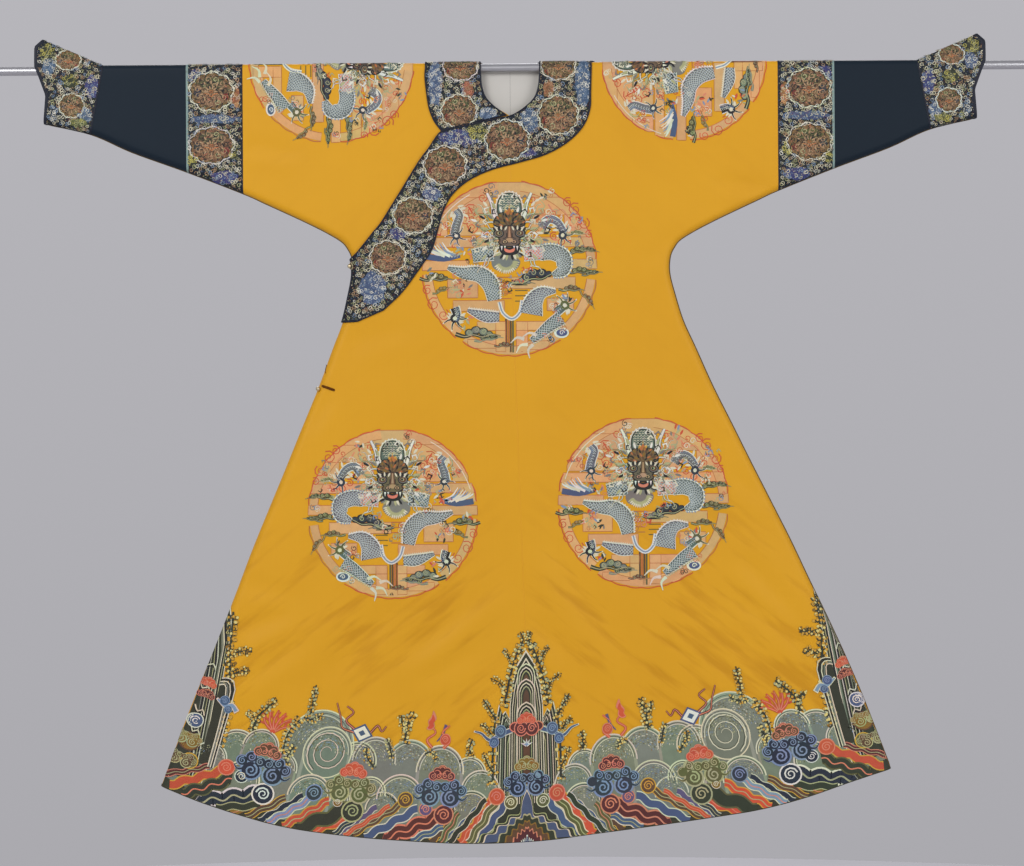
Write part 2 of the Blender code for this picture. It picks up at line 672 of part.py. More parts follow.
def build_fastenings():
    """Knobs and loops at the lapel's end and at the waist."""
    lapel_top = FLAP_LIFT + LAYER_GAP + TRIM
    knob_ring = KNOB_RADIUS + GAP + LOOP_CORD_RADIUS
    build_knob("button_underarm", *UNDERARM_KNOB, lapel_top)
    build_loop("loop_underarm", *UNDERARM_KNOB, lapel_top, knob_ring, knob_ring, 0.0)
    waist_top = flap_lift(WAIST_KNOB[0], to_run(WAIST_KNOB[1]))
    build_knob("button_waist", *WAIST_KNOB, waist_top)
    loop_top = flap_lift(WAIST_LOOP[0], to_run(WAIST_LOOP[1]))
    build_loop("loop_waist", *WAIST_LOOP, loop_top, LOOP_HALF_LENGTH, LOOP_HALF_WIDTH,
               WAIST_LOOP_TILT)


def build_rod():
    """The plain rod that carries the robe."""
    def make(work):
        bmesh.ops.create_cone(work, cap_ends=True, segments=ROD_SIDES, radius1=ROD_RADIUS,
                              radius2=ROD_RADIUS, depth=2 * ROD_HALF_LENGTH)
        for vert in work.verts:
            vert.co = Vector((vert.co.z, vert.co.x, vert.co.y))
    add_object("rod", make, "brushed metal")


def main():
    """Build every piece."""
    clear_scene()
    build_rod()
    build_body("body_left", 1, GAP / 2)
    build_body("body_right", -1, INNER_FLAP_EDGE)
    build_outer_flap()
    build_collar_band()
    build_lapel_band()
    band_rings = [(reach, reach) for reach in (BAND_START + GAP, 0.5375, BAND_END)]
    sleeve_rings = [(BAND_END + GAP, BAND_END + GAP), (0.6400, 0.6450),
                    (0.6900, 0.7040), (CUFF_START_TOP, CUFF_START_LOW)]
    for side, name in ((1, "left"), (-1, "right")):
        build_sleeve("sleeve_band_" + name, side, band_rings, "patterned trim")
        build_sleeve("sleeve_" + name, side, sleeve_rings, "dark silk")
        build_cuff("cuff_" + name, side)
    build_fastenings()


main()
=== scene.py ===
"""Looks for a lady's silk court robe, hung flat by its sleeves on a plain rod.

Metres, +Z up.  The robe's front faces -Y and the wearer's left is +X.  Cloth and needlework are
drawn flat, as x and a run measured over the fold on the rod (front positive, back negative), and
are then hung.
"""

import json
import math
from functools import partial

import bpy
import numpy as np
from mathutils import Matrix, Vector
from mathutils.geometry import delaunay_2d_cdt, tessellate_polygon

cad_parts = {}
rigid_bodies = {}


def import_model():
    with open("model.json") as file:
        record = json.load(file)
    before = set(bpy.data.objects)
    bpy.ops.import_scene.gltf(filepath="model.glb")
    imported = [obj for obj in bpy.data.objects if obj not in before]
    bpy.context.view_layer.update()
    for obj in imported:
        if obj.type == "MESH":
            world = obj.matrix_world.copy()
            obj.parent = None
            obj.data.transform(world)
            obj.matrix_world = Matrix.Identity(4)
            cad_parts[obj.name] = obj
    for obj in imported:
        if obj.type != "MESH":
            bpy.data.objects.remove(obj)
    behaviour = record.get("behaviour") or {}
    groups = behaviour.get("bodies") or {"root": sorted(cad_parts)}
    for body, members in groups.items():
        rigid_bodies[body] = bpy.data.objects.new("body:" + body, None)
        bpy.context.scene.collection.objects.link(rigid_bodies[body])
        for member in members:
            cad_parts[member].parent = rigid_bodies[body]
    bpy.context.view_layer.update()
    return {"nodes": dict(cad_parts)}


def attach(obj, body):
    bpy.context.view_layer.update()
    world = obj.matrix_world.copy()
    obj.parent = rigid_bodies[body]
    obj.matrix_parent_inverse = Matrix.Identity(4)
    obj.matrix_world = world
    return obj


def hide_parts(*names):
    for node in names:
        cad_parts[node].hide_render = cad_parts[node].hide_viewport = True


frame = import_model()


# --- sizes shared with the solids ----------------------------------------------------------------
ROD_RADIUS = 0.008
CLOTH = 0.0015            # silk and its lining together
TRIM = 0.0011             # patterned bands that lie on the silk
GAP = 0.0003              # at seams
LAYER_GAP = 0.0008        # between a band and the silk under it
SEAT_GAP = 0.0004         # between the rod and the silk that lies on it
DRAPE_RADIUS = ROD_RADIUS + SEAT_GAP + CLOTH
QUARTER = DRAPE_RADIUS * math.pi / 2
WIDENING = 0.002          # half depth gained between the shoulder and the waist
WIDENING_DROP = 0.5
EDGE_ROUND = 0.012        # how far in from a sewn edge the cloth starts to turn
FLAP_GAP = 0.0013         # between the inner flap and the overlap on it
FLAP_LIFT = CLOTH + FLAP_GAP
FLAP_SLACK = 0.0022       # extra air between the two flaps in the skirt
FLAP_EASE = 0.12          # width over which the left front comes back down to its own layer
SLACK_START = 0.42        # drop at which the extra air between the flaps starts to grow
SLACK_RUN = 0.2           # drop over which it grows
SLACK_EDGE = 0.08         # distance from the sewn edge over which it closes again
NECK_CLEAR = 0.01         # the left front leaves its own layer this far below the rod
NECK_EASE = 0.05          # and comes up over this drop
BAND_START = 0.4865       # sleeve seams, as distances from the middle of the neck
BAND_END = 0.5885
CUFF_START_TOP = 0.7405
CUFF_START_LOW = 0.7625
CUFF_CREST = 0.057        # the cuff's upper corner stands above the rod's axis
NECK_HALF = 0.0535
INNER_FLAP_EDGE = -0.004
INNER_FLAP_RISE = 0.012   # the inner flap's hem is this much higher than the outer one
LEAN = 0.022              # the skirt swings this far to the wearer's left by the hem
LEAN_START = 0.35
LEAN_RUN = 0.70
HEM_TILT = 0.012          # the right hem corner hangs this much lower, the left one higher

# The sewn lower edge, as reach from the middle and drop below the rod.
CUFF_CORNER = (0.8480, 0.0960)
UNDER_SLEEVE = (
    (CUFF_START_LOW, 0.1160), (0.6880, 0.1490), (BAND_END, 0.1855), (BAND_START, 0.2255),
    (0.4460, 0.2440), (0.4060, 0.2625), (0.3680, 0.2805), (0.3340, 0.2980), (0.3080, 0.3140),
    (0.2970, 0.3270),
)
SIDE_SEAM = (
    (0.2890, 0.3450), (0.2870, 0.3750), (0.2955, 0.4150), (0.3085, 0.4620), (0.3285, 0.5100),
    (0.3570, 0.5800), (0.3898, 0.6520), (0.4222, 0.7240), (0.4553, 0.7960), (0.4882, 0.8680),
    (0.5187, 0.9400), (0.5500, 1.0120), (0.5810, 1.0840), (0.6110, 1.1560), (0.6370, 1.2240),
    (0.6620, 1.2900),
)
CENTRE_DROPS = (0.112, 0.142, 0.176, 0.214, 0.252, 0.292)
SKIRT_DROPS = (0.330, 0.370, 0.418, 0.472, 0.530, 0.600, 0.672, 0.744, 0.816, 0.890,
               0.965, 1.042, 1.122, 1.205, 1.302, 1.4060)
# The hem, as x and drop.
HEM_LINE = (
    (-0.640, 1.302), (-0.555, 1.336), (-0.430, 1.374), (-0.310, 1.393), (-0.200, 1.403),
    (-0.080, 1.409), (0.045, 1.405), (0.155, 1.392), (0.264, 1.378), (0.364, 1.364),
    (0.446, 1.351), (0.528, 1.330), (0.610, 1.302), (0.684, 1.278),
)
FOLD_ANGLES = (22.5, 45.0, 67.5, 90.0)
SLEEVE_DROPS = (0.055, 0.115, 0.172, 0.2125, 0.2184, 0.2227, 0.2255)
FRONT_NECK = ((0.0530, 0.012), (0.0518, 0.030), (0.0485, 0.044), (0.0435, 0.055),
              (0.0340, 0.066), (0.0200, 0.076), (0.0035, 0.086))
BACK_NECK_HALF = (0.0535, 0.0490, 0.0, 0.0)   # half width of the neck at each fold angle
BACK_DROPS = (0.016, 0.032, 0.046, 0.058, 0.070, 0.082, 0.094)
FLAP_EDGE = ((-0.0600, 0.1000), (-0.1260, 0.1150), (-0.1660, 0.1680),
             (-0.1990, 0.2210), (-0.2370, 0.2810))
FLAP_CENTRE_DROPS = (0.0868, 0.1250, 0.1650, 0.2050, 0.2450, 0.2700, 0.2850, 0.3000, 0.3150)

# Bands at the neck: matching points of the inner and outer edge, as x and drop.
COLLAR_FRONT = (
    (-0.0060, 0.0866, -0.1260, 0.1140), (-0.0290, 0.0700, -0.1390, 0.0960),
    (-0.0440, 0.0540, -0.1480, 0.0720), (-0.0510, 0.0340, -0.1525, 0.0420),
    (-0.0530, 0.0120, -0.1550, 0.0160),
)
# Share of the way to the middle of the neck, at the fold's angles and then with outer x and drop.
COLLAR_TURN = (0.0, 0.08, 0.16)
COLLAR_BACK = (
    (0.28, 0.1520, 0.020), (0.42, 0.1430, 0.045), (0.56, 0.1280, 0.068),
    (0.70, 0.1000, 0.090), (0.84, 0.0550, 0.104), (1.00, 0.0000, 0.109),
)
COLLAR_SHOULDER_HALF = 0.1540
LAPEL_SHOULDER_OUT = 0.1480
LAPEL = (
    (0.0530, 0.0120, 0.1475, 0.0160), (0.0510, 0.0340, 0.1465, 0.0450),
    (0.0440, 0.0540, 0.1450, 0.0760), (0.0290, 0.0700, 0.1320, 0.1080),
    (0.0035, 0.0862, 0.1030, 0.1370), (-0.0250, 0.0925, 0.0630, 0.1590),
    (-0.0600, 0.1002, 0.0150, 0.1730), (-0.0950, 0.1080, -0.0350, 0.1860),
    (-0.1260, 0.1152, -0.0780, 0.2060), (-0.1480, 0.1444, -0.1080, 0.2330),
    (-0.1660, 0.1682, -0.1240, 0.2640), (-0.1820, 0.1935, -0.1330, 0.2960),
    (-0.1990, 0.2212, -0.1430, 0.3290), (-0.2170, 0.2497, -0.1610, 0.3570),
    (-0.2370, 0.2812, -0.1974, 0.4060), (-0.2500, 0.2965, -0.2322, 0.4394),
)
LAPEL_END_ROWS = 4        # corners of the side seam that the lapel's end covers
LAPEL_END_STEPS = (0.0240, 0.0120, 0.0066, 0.0026, 0.0)
LAPEL_SLANT = 0.75        # sine of the angle at which the lapel's upper edge meets the side
LAPEL_TIP_SLANT = 0.91    # the same at the lower edge, where the lapel ends in a tip
LAPEL_TIP_AIM = (-0.2669, 0.4584)     # point of the lower edge that the tip runs towards
# The cuff's free edge, as drop and reach.
CUFF_EDGE = ((-0.057, 0.8500), (-0.044, 0.8640), (-0.008, 0.8640), (0.012, 0.8560),
             (0.045, 0.8440), (0.096, 0.8480))

# The largest soft folds: x and drop of both ends, half width and height, out being positive.
FRONT_FOLDS = (
    (-0.54, 1.150, -0.30, 0.990, 0.045, 0.0030), (-0.36, 1.200, -0.20, 0.960, 0.040, -0.0022),
    (-0.20, 1.130, -0.02, 0.920, 0.038, 0.0028), (0.04, 0.850, 0.22, 1.120, 0.042, 0.0026),
    (0.40, 0.850, 0.58, 1.080, 0.045, 0.0032), (0.30, 1.330, 0.24, 1.050, 0.050, -0.0020),
)
BACK_FOLDS = (
    (-0.56, 1.160, -0.34, 0.940, 0.045, 0.0030), (-0.28, 1.250, -0.14, 0.930, 0.045, 0.0026),
    (0.02, 0.880, 0.10, 1.200, 0.045, -0.0022), (0.16, 0.900, 0.30, 1.180, 0.045, 0.0028),
    (0.40, 0.900, 0.56, 1.120, 0.040, 0.0026),
)
# Finer creases in the silk: x and drop of both ends, half width and depth.
FRONT_CREASES = (
    (-0.500, 1.026, -0.400, 0.981, 0.016, 0.0026), (-0.492, 1.114, -0.374, 1.034, 0.017, 0.0026),
    (-0.490, 0.934, -0.384, 0.962, 0.015, 0.0018), (-0.195, 1.072, -0.030, 0.936, 0.020, 0.0034),
    (-0.176, 1.116, -0.074, 1.058, 0.017, 0.0024), (-0.358, 1.116, -0.220, 0.980, 0.019, 0.0018),
    (0.034, 1.004, 0.107, 1.074, 0.018, 0.0024), (0.052, 0.852, 0.208, 1.085, 0.028, 0.0026),
    (0.416, 0.890, 0.536, 1.024, 0.019, 0.0038), (0.416, 0.966, 0.554, 1.078, 0.017, 0.0028),
    (0.400, 0.746, 0.473, 0.792, 0.016, 0.0016), (-0.480, 0.135, -0.386, 0.157, 0.015, 0.0018),
    (0.366, 0.209, 0.469, 0.220, 0.015, 0.0018), (-0.372, 0.662, -0.337, 0.596, 0.015, 0.0018),
    (-0.300, 0.500, -0.180, 0.470, 0.020, 0.0012), (0.240, 0.360, 0.300, 0.300, 0.018, 0.0014),
    (-0.060, 0.620, 0.120, 0.640, 0.024, 0.0010), (0.300, 0.560, 0.380, 0.640, 0.022, 0.0012),
)
BACK_CREASES = (
    (-0.480, 1.000, -0.360, 0.940, 0.018, 0.0028), (-0.420, 1.110, -0.300, 1.040, 0.018, 0.0024),
    (-0.150, 1.100, -0.020, 0.960, 0.020, 0.0032), (0.040, 0.880, 0.170, 1.060, 0.024, 0.0026),
    (0.330, 0.900, 0.470, 1.050, 0.019, 0.0034), (0.420, 0.990, 0.540, 1.090, 0.017, 0.0026),
    (-0.440, 0.190, -0.340, 0.230, 0.016, 0.0020), (0.350, 0.160, 0.450, 0.200, 0.016, 0.0020),
    (-0.240, 0.420, -0.120, 0.470, 0.022, 0.0014), (0.140, 0.520, 0.260, 0.470, 0.022, 0.0014),
    (-0.300, 0.640, -0.180, 0.700, 0.022, 0.0016), (0.020, 0.300, 0.140, 0.330, 0.022, 0.0012),
)


# --- sizes of the looks --------------------------------------------------------------------------
FOLD_START = 0.06         # the soft folds grow over this drop below the rod
RIDGE_PLACE = 1.7         # ridge beside a crease: its place, in half widths of the crease
RIDGE_SHARE = 0.55        # and its height, as a share of the crease's depth
SHARP_ANGLE = math.radians(50)  # faces that meet more sharply show an edge
POINT_BLOCK = 8000        # flat points measured together
SIDES = ((1, "left"), (-1, "right"))
SEAM_STEPS = 6            # rows of finer cloth between two corners of the seam
FOLD_STEPS = 3            # rows of finer cloth between two angles of the fold on the rod
ACROSS_STEPS = 50         # columns of the silk between its inner edge and the turn at the seam
EDGE_STEPS = (0.0120, 0.0095, 0.0070, 0.0048, 0.0030, 0.0015, 0.0005, 0.0)


# --- how flat cloth hangs ------------------------------------------------------------------------
def smooth_step(value):
    """Ease from 0 to 1 as value goes from 0 to 1."""
    held = np.clip(value, 0.0, 1.0)
    return held * held * (3.0 - 2.0 * held)


def smooth_line(points, steps):
    """Smooth line through points, with this many steps between two of them."""
    given = np.asarray(points, float)
    ends = np.vstack([2 * given[0] - given[1], given, 2 * given[-1] - given[-2]])
    share = np.linspace(0.0, 1.0, steps, endpoint=False)[:, None]
    line = []
    for a, b, c, d in zip(ends, ends[1:], ends[2:], ends[3:]):
        line.append(0.5 * (2 * b + (c - a) * share + (2 * a - 5 * b + 4 * c - d) * share ** 2
                           + (3 * b - a - 3 * c + d) * share ** 3))
    return np.vstack(line + [given[-1:]])


def lean(drop):
    """Sideways swing of the skirt's middle at this drop."""
    return LEAN * np.clip((drop - LEAN_START) / LEAN_RUN, 0.0, 1.0)


def seam_point(side, reach, drop):
    """Place a corner of the seam on one side of the robe, as x and drop."""
    share = smooth_step((drop - SIDE_SEAM[3][1]) / (SIDE_SEAM[-1][1] - SIDE_SEAM[3][1]))
    return np.array((side * reach + lean(drop), drop - side * HEM_TILT * share))


def seam_corners(side):
    """Corners of the sewn edge of one side, from the cuff to the hem."""
    return [seam_point(side, *row) for row in (CUFF_CORNER,) + UNDER_SLEEVE + SIDE_SEAM]


SEAM_LINES = {side: smooth_line(seam_corners(side), SEAM_STEPS) for side in (1, -1)}
HEM = smooth_line(HEM_LINE, 4)


def seam_outward(side):
    """Unit outward direction at each point of a seam line, in x and drop."""
    along = np.gradient(SEAM_LINES[side], axis=0)
    along /= np.linalg.norm(along, axis=1)[:, None]
    return side * np.stack([along[:, 1], -along[:, 0]], 1)


SEAM_OUTWARD = {side: seam_outward(side) for side in (1, -1)}
NEAR_SEAM = 0.12          # further in than this, the sewn edge no longer matters


def seam_distance(x, drop):
    """Distance from flat points to the sewn edge, and the outward direction there."""
    reach = np.interp(drop, [row[1] for row in SIDE_SEAM], [row[0] for row in SIDE_SEAM])
    near = np.abs(x - lean(drop)) > reach - NEAR_SEAM
    distance = np.full(x.shape, 1.0)
    outward = np.zeros(x.shape + (2,))
    for side in (1, -1):
        start, end = SEAM_LINES[side][:-1], SEAM_LINES[side][1:]
        span = end - start
        length = (span ** 2).sum(1)
        mine = np.flatnonzero(((x > 0) == (side > 0)) & near)
        for part in np.array_split(mine, max(1, len(mine) // POINT_BLOCK)):
            if not len(part):
                continue
            off = np.stack([x[part], drop[part]], 1)[:, None, :] - start[None]
            share = np.clip((off * span).sum(2) / length, 0.0, 1.0)
            gap = np.linalg.norm(off - share[..., None] * span, axis=2)
            nearest = gap.argmin(1)
            rows = np.arange(len(part))
            distance[part] = gap[rows, nearest]
            mix = share[rows, nearest][:, None]
            turned = SEAM_OUTWARD[side]
            outward[part] = turned[nearest] * (1 - mix) + turned[nearest + 1] * mix
    return distance, outward


def along_fold(x, drop, x1, drop1, x2, drop2):
    """Share of the way along a fold and distance across it, of flat points."""
    span_x, span_d = x2 - x1, drop2 - drop1
    length = math.hypot(span_x, span_d)
    along = ((x - x1) * span_x + (drop - drop1) * span_d) / length ** 2
    across = ((x - x1) * span_d - (drop - drop1) * span_x) / length
    return along, across


def faded(along, first, last, held):
    """Fade of a fold over its first and last share; some of it is held at both ends."""
    return smooth_step(along / first + held) * smooth_step((1.0 - along) / last + held)


def fold_height(x, drop, folds, creases):
    """Height of the soft folds and creases at flat points of one layer."""
    total = np.zeros_like(x)
    for *ends, half_width, height in folds:
        along, across = along_fold(x, drop, *ends)
        fade = faded(along, 0.35, 0.35, 0.3)
        total += height * fade * np.exp(-(across / half_width) ** 2)
    for *ends, half_width, depth in creases:
        along, across = along_fold(x, drop, *ends)
        fade = faded(along, 0.3, 0.5, 0.35)
        trough = np.exp(-(across / half_width) ** 2)
        ridge = np.exp(-((across + RIDGE_PLACE * half_width) / half_width) ** 2)
        total += depth * fade * (RIDGE_SHARE * ridge - trough)
    return total


def hang(x, run, lift=0.0, crest=DRAPE_RADIUS):
    """Hang flat points: return their places and outward directions."""
    x, run, lift, crest = (np.array(a, float).ravel()
                           for a in np.broadcast_arrays(x, run, lift, crest))
    facing = np.where(run > 0, -1.0, 1.0)
    drop = np.maximum(np.abs(run) - QUARTER, 0.0)
    distance, outward = seam_distance(x, drop)
    turn = 1.0 - np.minimum(distance / EDGE_ROUND, 1.0)
    rise = np.sqrt(1.0 - turn * turn)
    half_depth = DRAPE_RADIUS + WIDENING * np.minimum(drop / WIDENING_DROP, 1.0)
    folds = np.where(run > 0, fold_height(x, drop, FRONT_FOLDS, FRONT_CREASES),
                     fold_height(x, drop, BACK_FOLDS, BACK_CREASES))
    folds *= smooth_step(drop / FOLD_START)
    depth = GAP / 2 + rise * (half_depth + folds)
    place = np.stack([x, facing * depth, -drop], 1)
    out = np.stack([outward[:, 0] * turn / EDGE_ROUND, facing * rise / half_depth,
                    -outward[:, 1] * turn / EDGE_ROUND], 1)
    on_rod = np.abs(run) <= QUARTER
    angle = np.abs(run[on_rod]) / DRAPE_RADIUS
    sine, cosine = facing[on_rod] * np.sin(angle), np.cos(angle)
    place[on_rod] = np.stack([x[on_rod], DRAPE_RADIUS * sine, crest[on_rod] * cosine], 1)
    out[on_rod] = np.stack([0 * sine, sine / DRAPE_RADIUS, cosine / crest[on_rod]], 1)
    out /= np.linalg.norm(out, axis=1)[:, None]
    return place + out * lift[:, None], out


def read_table(table, value):
    """Second column of a two-column table, read between its rows."""
    columns = np.asarray(table, float)
    return np.interp(value, columns[:, 0], columns[:, 1])


def flap_lift(x, run):
    """Height of the overlap's outer face over the layer under it, and of the left front beside it."""
    x, run = np.asarray(x, float), np.asarray(run, float)
    drop = run - QUARTER
    distance, _ = seam_distance(x.ravel(), np.maximum(drop, 0.0).ravel())
    slack = (smooth_step((drop - SLACK_START) / SLACK_RUN)
             * smooth_step(distance.reshape(x.shape) / SLACK_EDGE))
    beside = smooth_step(1.0 - (x - lean(drop)) / FLAP_EASE)
    below_neck = np.where(x > 0, smooth_step((drop - NECK_CLEAR) / NECK_EASE), 1.0)
    return np.where(drop > 0, (FLAP_LIFT + FLAP_SLACK * slack) * beside * below_neck, 0.0)


def silk_lift(x, run):
    """Height of the outermost silk at flat points, over the layer that hang() gives."""
    x, run = np.asarray(x, float), np.asarray(run, float)
    on_flap = run - QUARTER > np.interp(-x, [-p[0] for p in FLAP_EDGE], [p[1] for p in FLAP_EDGE])
    return np.where((run > 0) & ((x > 0) | on_flap), flap_lift(x, run), 0.0)


# --- making meshes -------------------------------------------------------------------------------
def add_mesh(name, points, faces, materials, face_materials=None, uv=None):
    """Make a named object from points, faces, materials and the flat place of each point."""
    mesh = bpy.data.meshes.new(name)
    mesh.from_pydata(np.asarray(points, float).tolist(), [], np.asarray(faces).tolist())
    for material in materials:
        mesh.materials.append(material)
    if face_materials is not None:
        mesh.polygons.foreach_set("material_index", np.asarray(face_materials, np.int32))
    if uv is not None:
        corners = np.empty(len(mesh.loops), np.int32)
        mesh.loops.foreach_get("vertex_index", corners)
        layer = mesh.uv_layers.new(name="cut")
        layer.uv.foreach_set("vector", np.asarray(uv, np.float32)[corners].ravel())
    mesh.shade_smooth()
    mesh.set_sharp_from_angle(angle=SHARP_ANGLE)
    made = bpy.data.objects.new(name, mesh)
    bpy.context.scene.collection.objects.link(made)
    return made


def grid_faces(rows, columns, first=0, flip=False):
    """Quads of a grid of points."""
    corner = first + np.arange(rows * columns).reshape(rows, columns)
    quads = np.stack([corner[:-1, :-1], corner[:-1, 1:], corner[1:, 1:], corner[1:, :-1]], -1)
    quads = quads.reshape(-1, 4)
    return quads[:, ::-1] if flip else quads


def cloth_wall(name, flat, lift, thickness, materials, crest=DRAPE_RADIUS):
    """Hang a grid of flat points as a closed wall: outside, inside and edges."""
    rows, columns = flat.shape[:2]
    outer, out = hang(flat[..., 0], flat[..., 1], lift, crest)
    inner = outer - out * thickness
    count = rows * columns
    quads = grid_faces(rows, columns)
    first = outer[quads[:, 2]] - outer[quads[:, 0]]
    second = outer[quads[:, 3]] - outer[quads[:, 1]]
    flip = (np.cross(first, second) * out[quads[:, 0]]).sum() < 0
    faces = [grid_faces(rows, columns, 0, flip), grid_faces(rows, columns, count, not flip)]
    ring = np.arange(count).reshape(rows, columns)
    border = np.concatenate([ring[0, :-1], ring[:-1, -1], ring[-1, :0:-1], ring[:0:-1, 0]])
    after = np.roll(border, -1)
    edges = np.stack([border, border + count, after + count, after], 1)
    faces.append(edges[:, ::-1] if flip else edges)
    kinds = np.concatenate([np.full(len(part), kind) for kind, part in enumerate(faces)])
    uv = np.concatenate([flat.reshape(-1, 2)] * 2)
    return add_mesh(name, np.vstack([outer, inner]), np.vstack(faces), materials, kinds, uv)


# --- flat cuts -----------------------------------------------------------------------------------
def to_run(drop):
    """Run of a flat point that lies this far below the rod."""
    return QUARTER + drop


def angle_run(degrees):
    """Run of a flat point on the fold over the rod."""
    return DRAPE_RADIUS * math.radians(degrees)


def seam_rows(side, first_corner, last_corner):
    """Flat points of the sewn edge between two of its corners, the last one included."""
    line = SEAM_LINES[side][first_corner * SEAM_STEPS:last_corner * SEAM_STEPS + 1]
    return [(x, to_run(drop)) for x, drop in line]


def straight_rows(corners, steps):
    """Flat points on straight lines between corners, without the last corner."""
    rows = []
    for start, end in zip(corners, corners[1:]):
        rows += [tuple(np.add(start, np.subtract(end, start) * k / steps)) for k in range(steps)]
    return rows


LEAST_SINE = 0.5          # a row that meets the edge more flatly is spaced as if at this sine


def row_shares(start, end, edge_along):
    """Shares along a row, the last of them set by distance from the sewn edge."""
    span = np.subtract(end, start)
    length = np.linalg.norm(span)
    lean_in = abs(span[0] * edge_along[1] - span[1] * edge_along[0]) / length
    near = 1.0 - np.array(EDGE_STEPS) / (max(lean_in, LEAST_SINE) * length)
    return np.concatenate([np.linspace(0.0, near[0], ACROSS_STEPS, endpoint=False), near])


HEM_MIDDLE = float(read_table(HEM, LEAN))


def body_rows(starts, ends, first_skirt_row):
    """Flat points of one layer, row by row from its top to the hem, which bows down."""
    along = np.gradient(np.asarray(ends, float), axis=0)
    along /= np.maximum(np.linalg.norm(along, axis=1), 1e-9)[:, None]
    last = len(ends) - 1
    rows = []
    for index, (start, end) in enumerate(zip(starts, ends)):
        shares = row_shares(start, end, along[index])
        x = start[0] + (end[0] - start[0]) * shares
        run = start[1] + (end[1] - start[1]) * shares
        corner = HEM[0] if end[0] < 0 else HEM[-1]
        chord = HEM_MIDDLE + (corner[1] - HEM_MIDDLE) * shares
        bow = read_table(HEM, LEAN + (corner[0] - LEAN) * shares) - chord
        fullness = (max(index - first_skirt_row, 0) / (last - first_skirt_row)) ** 2
        rows.append(np.stack([x, run + bow * fullness], 1))
    return np.array(rows)


BODY_CORNER = 4           # corner of the sewn edge at which the body meets the sleeve band


def body_edges(start_corners, side):
    """Matching inner and outer ends of a body's rows, from the fold on the rod to the hem."""
    top = [(side * BAND_START, angle_run(angle)) for angle in (0.0,) + FOLD_ANGLES]
    top += [(side * BAND_START, to_run(drop)) for drop in SLEEVE_DROPS]
    folds = len(FOLD_ANGLES)
    ends = straight_rows(top[:folds + 1], FOLD_STEPS) + straight_rows(top[folds:], SEAM_STEPS)
    ends += seam_rows(side, BODY_CORNER, len(UNDER_SLEEVE) + len(SIDE_SEAM))
    starts = straight_rows(start_corners[:folds + 1], FOLD_STEPS)
    starts += straight_rows(start_corners[folds:], SEAM_STEPS) + [start_corners[-1]]
    return starts, ends


def below_neck(edge_x):
    """Inner corners of a layer below its neck, down the centre seam."""
    return [(edge_x + float(lean(drop)), to_run(drop)) for drop in CENTRE_DROPS + SKIRT_DROPS]


def front_cut(edge_x, side):
    """Flat points of a front, from the fold on the rod to the hem."""
    corners = [(side * NECK_HALF, angle_run(angle)) for angle in (0.0,) + FOLD_ANGLES]
    corners += [(side * x, to_run(drop)) for x, drop in FRONT_NECK] + below_neck(edge_x)
    return body_edges(corners, side)


def back_cut(side):
    """Flat points of a back, from the fold on the rod to the hem."""
    edge = side * GAP / 2
    corners = [(side * NECK_HALF, 0.0)]
    corners += [(side * half + edge, angle_run(angle))
                for half, angle in zip(BACK_NECK_HALF, FOLD_ANGLES)]
    corners += [(edge + float(lean(drop)), to_run(drop)) for drop in BACK_DROPS]
    return body_edges(corners + below_neck(edge), side)


RISE_SHARE = 0.3          # share of the hem over which the inner flap's rise fades out
SKIRT_ROW = (FOLD_STEPS * len(FOLD_ANGLES)
             + SEAM_STEPS * (1 + len(SLEEVE_DROPS) + len(CENTRE_DROPS)))


def cut_body(side, front_edge):
    """Flat points of one body length: back, shoulder and front in one grid."""
    front = body_rows(*front_cut(front_edge, side), SKIRT_ROW)
    back = body_rows(*back_cut(side), SKIRT_ROW)
    if side < 0:
        share = np.concatenate([np.linspace(0, 1, ACROSS_STEPS, endpoint=False),
                                np.ones(len(EDGE_STEPS))])
        fullness = np.clip(np.arange(len(front)) - SKIRT_ROW, 0, None) / (len(front) - 1 - SKIRT_ROW)
        beside = smooth_step((1 - share) / RISE_SHARE)
        front[..., 1] -= INNER_FLAP_RISE * fullness[:, None] ** 2 * beside
    back[..., 1] *= -1
    return np.concatenate([back[:0:-1], front])


def lapel_corner(step):
    """Flat point on the lapel's upper edge, this far in from the side edge."""
    corner = seam_point(-1, *SIDE_SEAM[0])
    back = np.subtract(FLAP_EDGE[-1], corner)
    reach = step / LAPEL_SLANT / np.linalg.norm(back)
    return tuple(corner + back * reach + (0.0, QUARTER))


def cut_flap():
    """Flat points of the overlap, cut along the lapel's upper edge."""
    corners = [(x, to_run(drop)) for x, drop in FLAP_EDGE]
    corners += [lapel_corner(step) for step in LAPEL_END_STEPS]
    ends = straight_rows(corners, SEAM_STEPS)
    first = 1 + len(UNDER_SLEEVE)
    ends += seam_rows(-1, first, first + len(SIDE_SEAM) - 1)
    starts = [(-GAP / 2, to_run(drop)) for drop in FLAP_CENTRE_DROPS]
    starts += [(-GAP / 2 + float(lean(drop)), to_run(drop)) for drop in SKIRT_DROPS]
    starts = straight_rows(starts, SEAM_STEPS) + [starts[-1]]
    return body_rows(starts, ends, len(FLAP_CENTRE_DROPS) * SEAM_STEPS)


BAND_STEPS = 5            # rows of finer cloth between two corners of a band
BAND_ACROSS = SEAM_STEPS * (LAPEL_END_ROWS - 1)     # columns of finer cloth across a band


def cut_band(corners):
    """Flat points of a band from its rows of inner x, inner run, outer x and outer run."""
    line = smooth_line(corners, BAND_STEPS)
    share = np.linspace(0.0, 1.0, BAND_ACROSS + 1)[None, :, None]
    return line[:, None, :2] * (1 - share) + line[:, None, 2:] * share


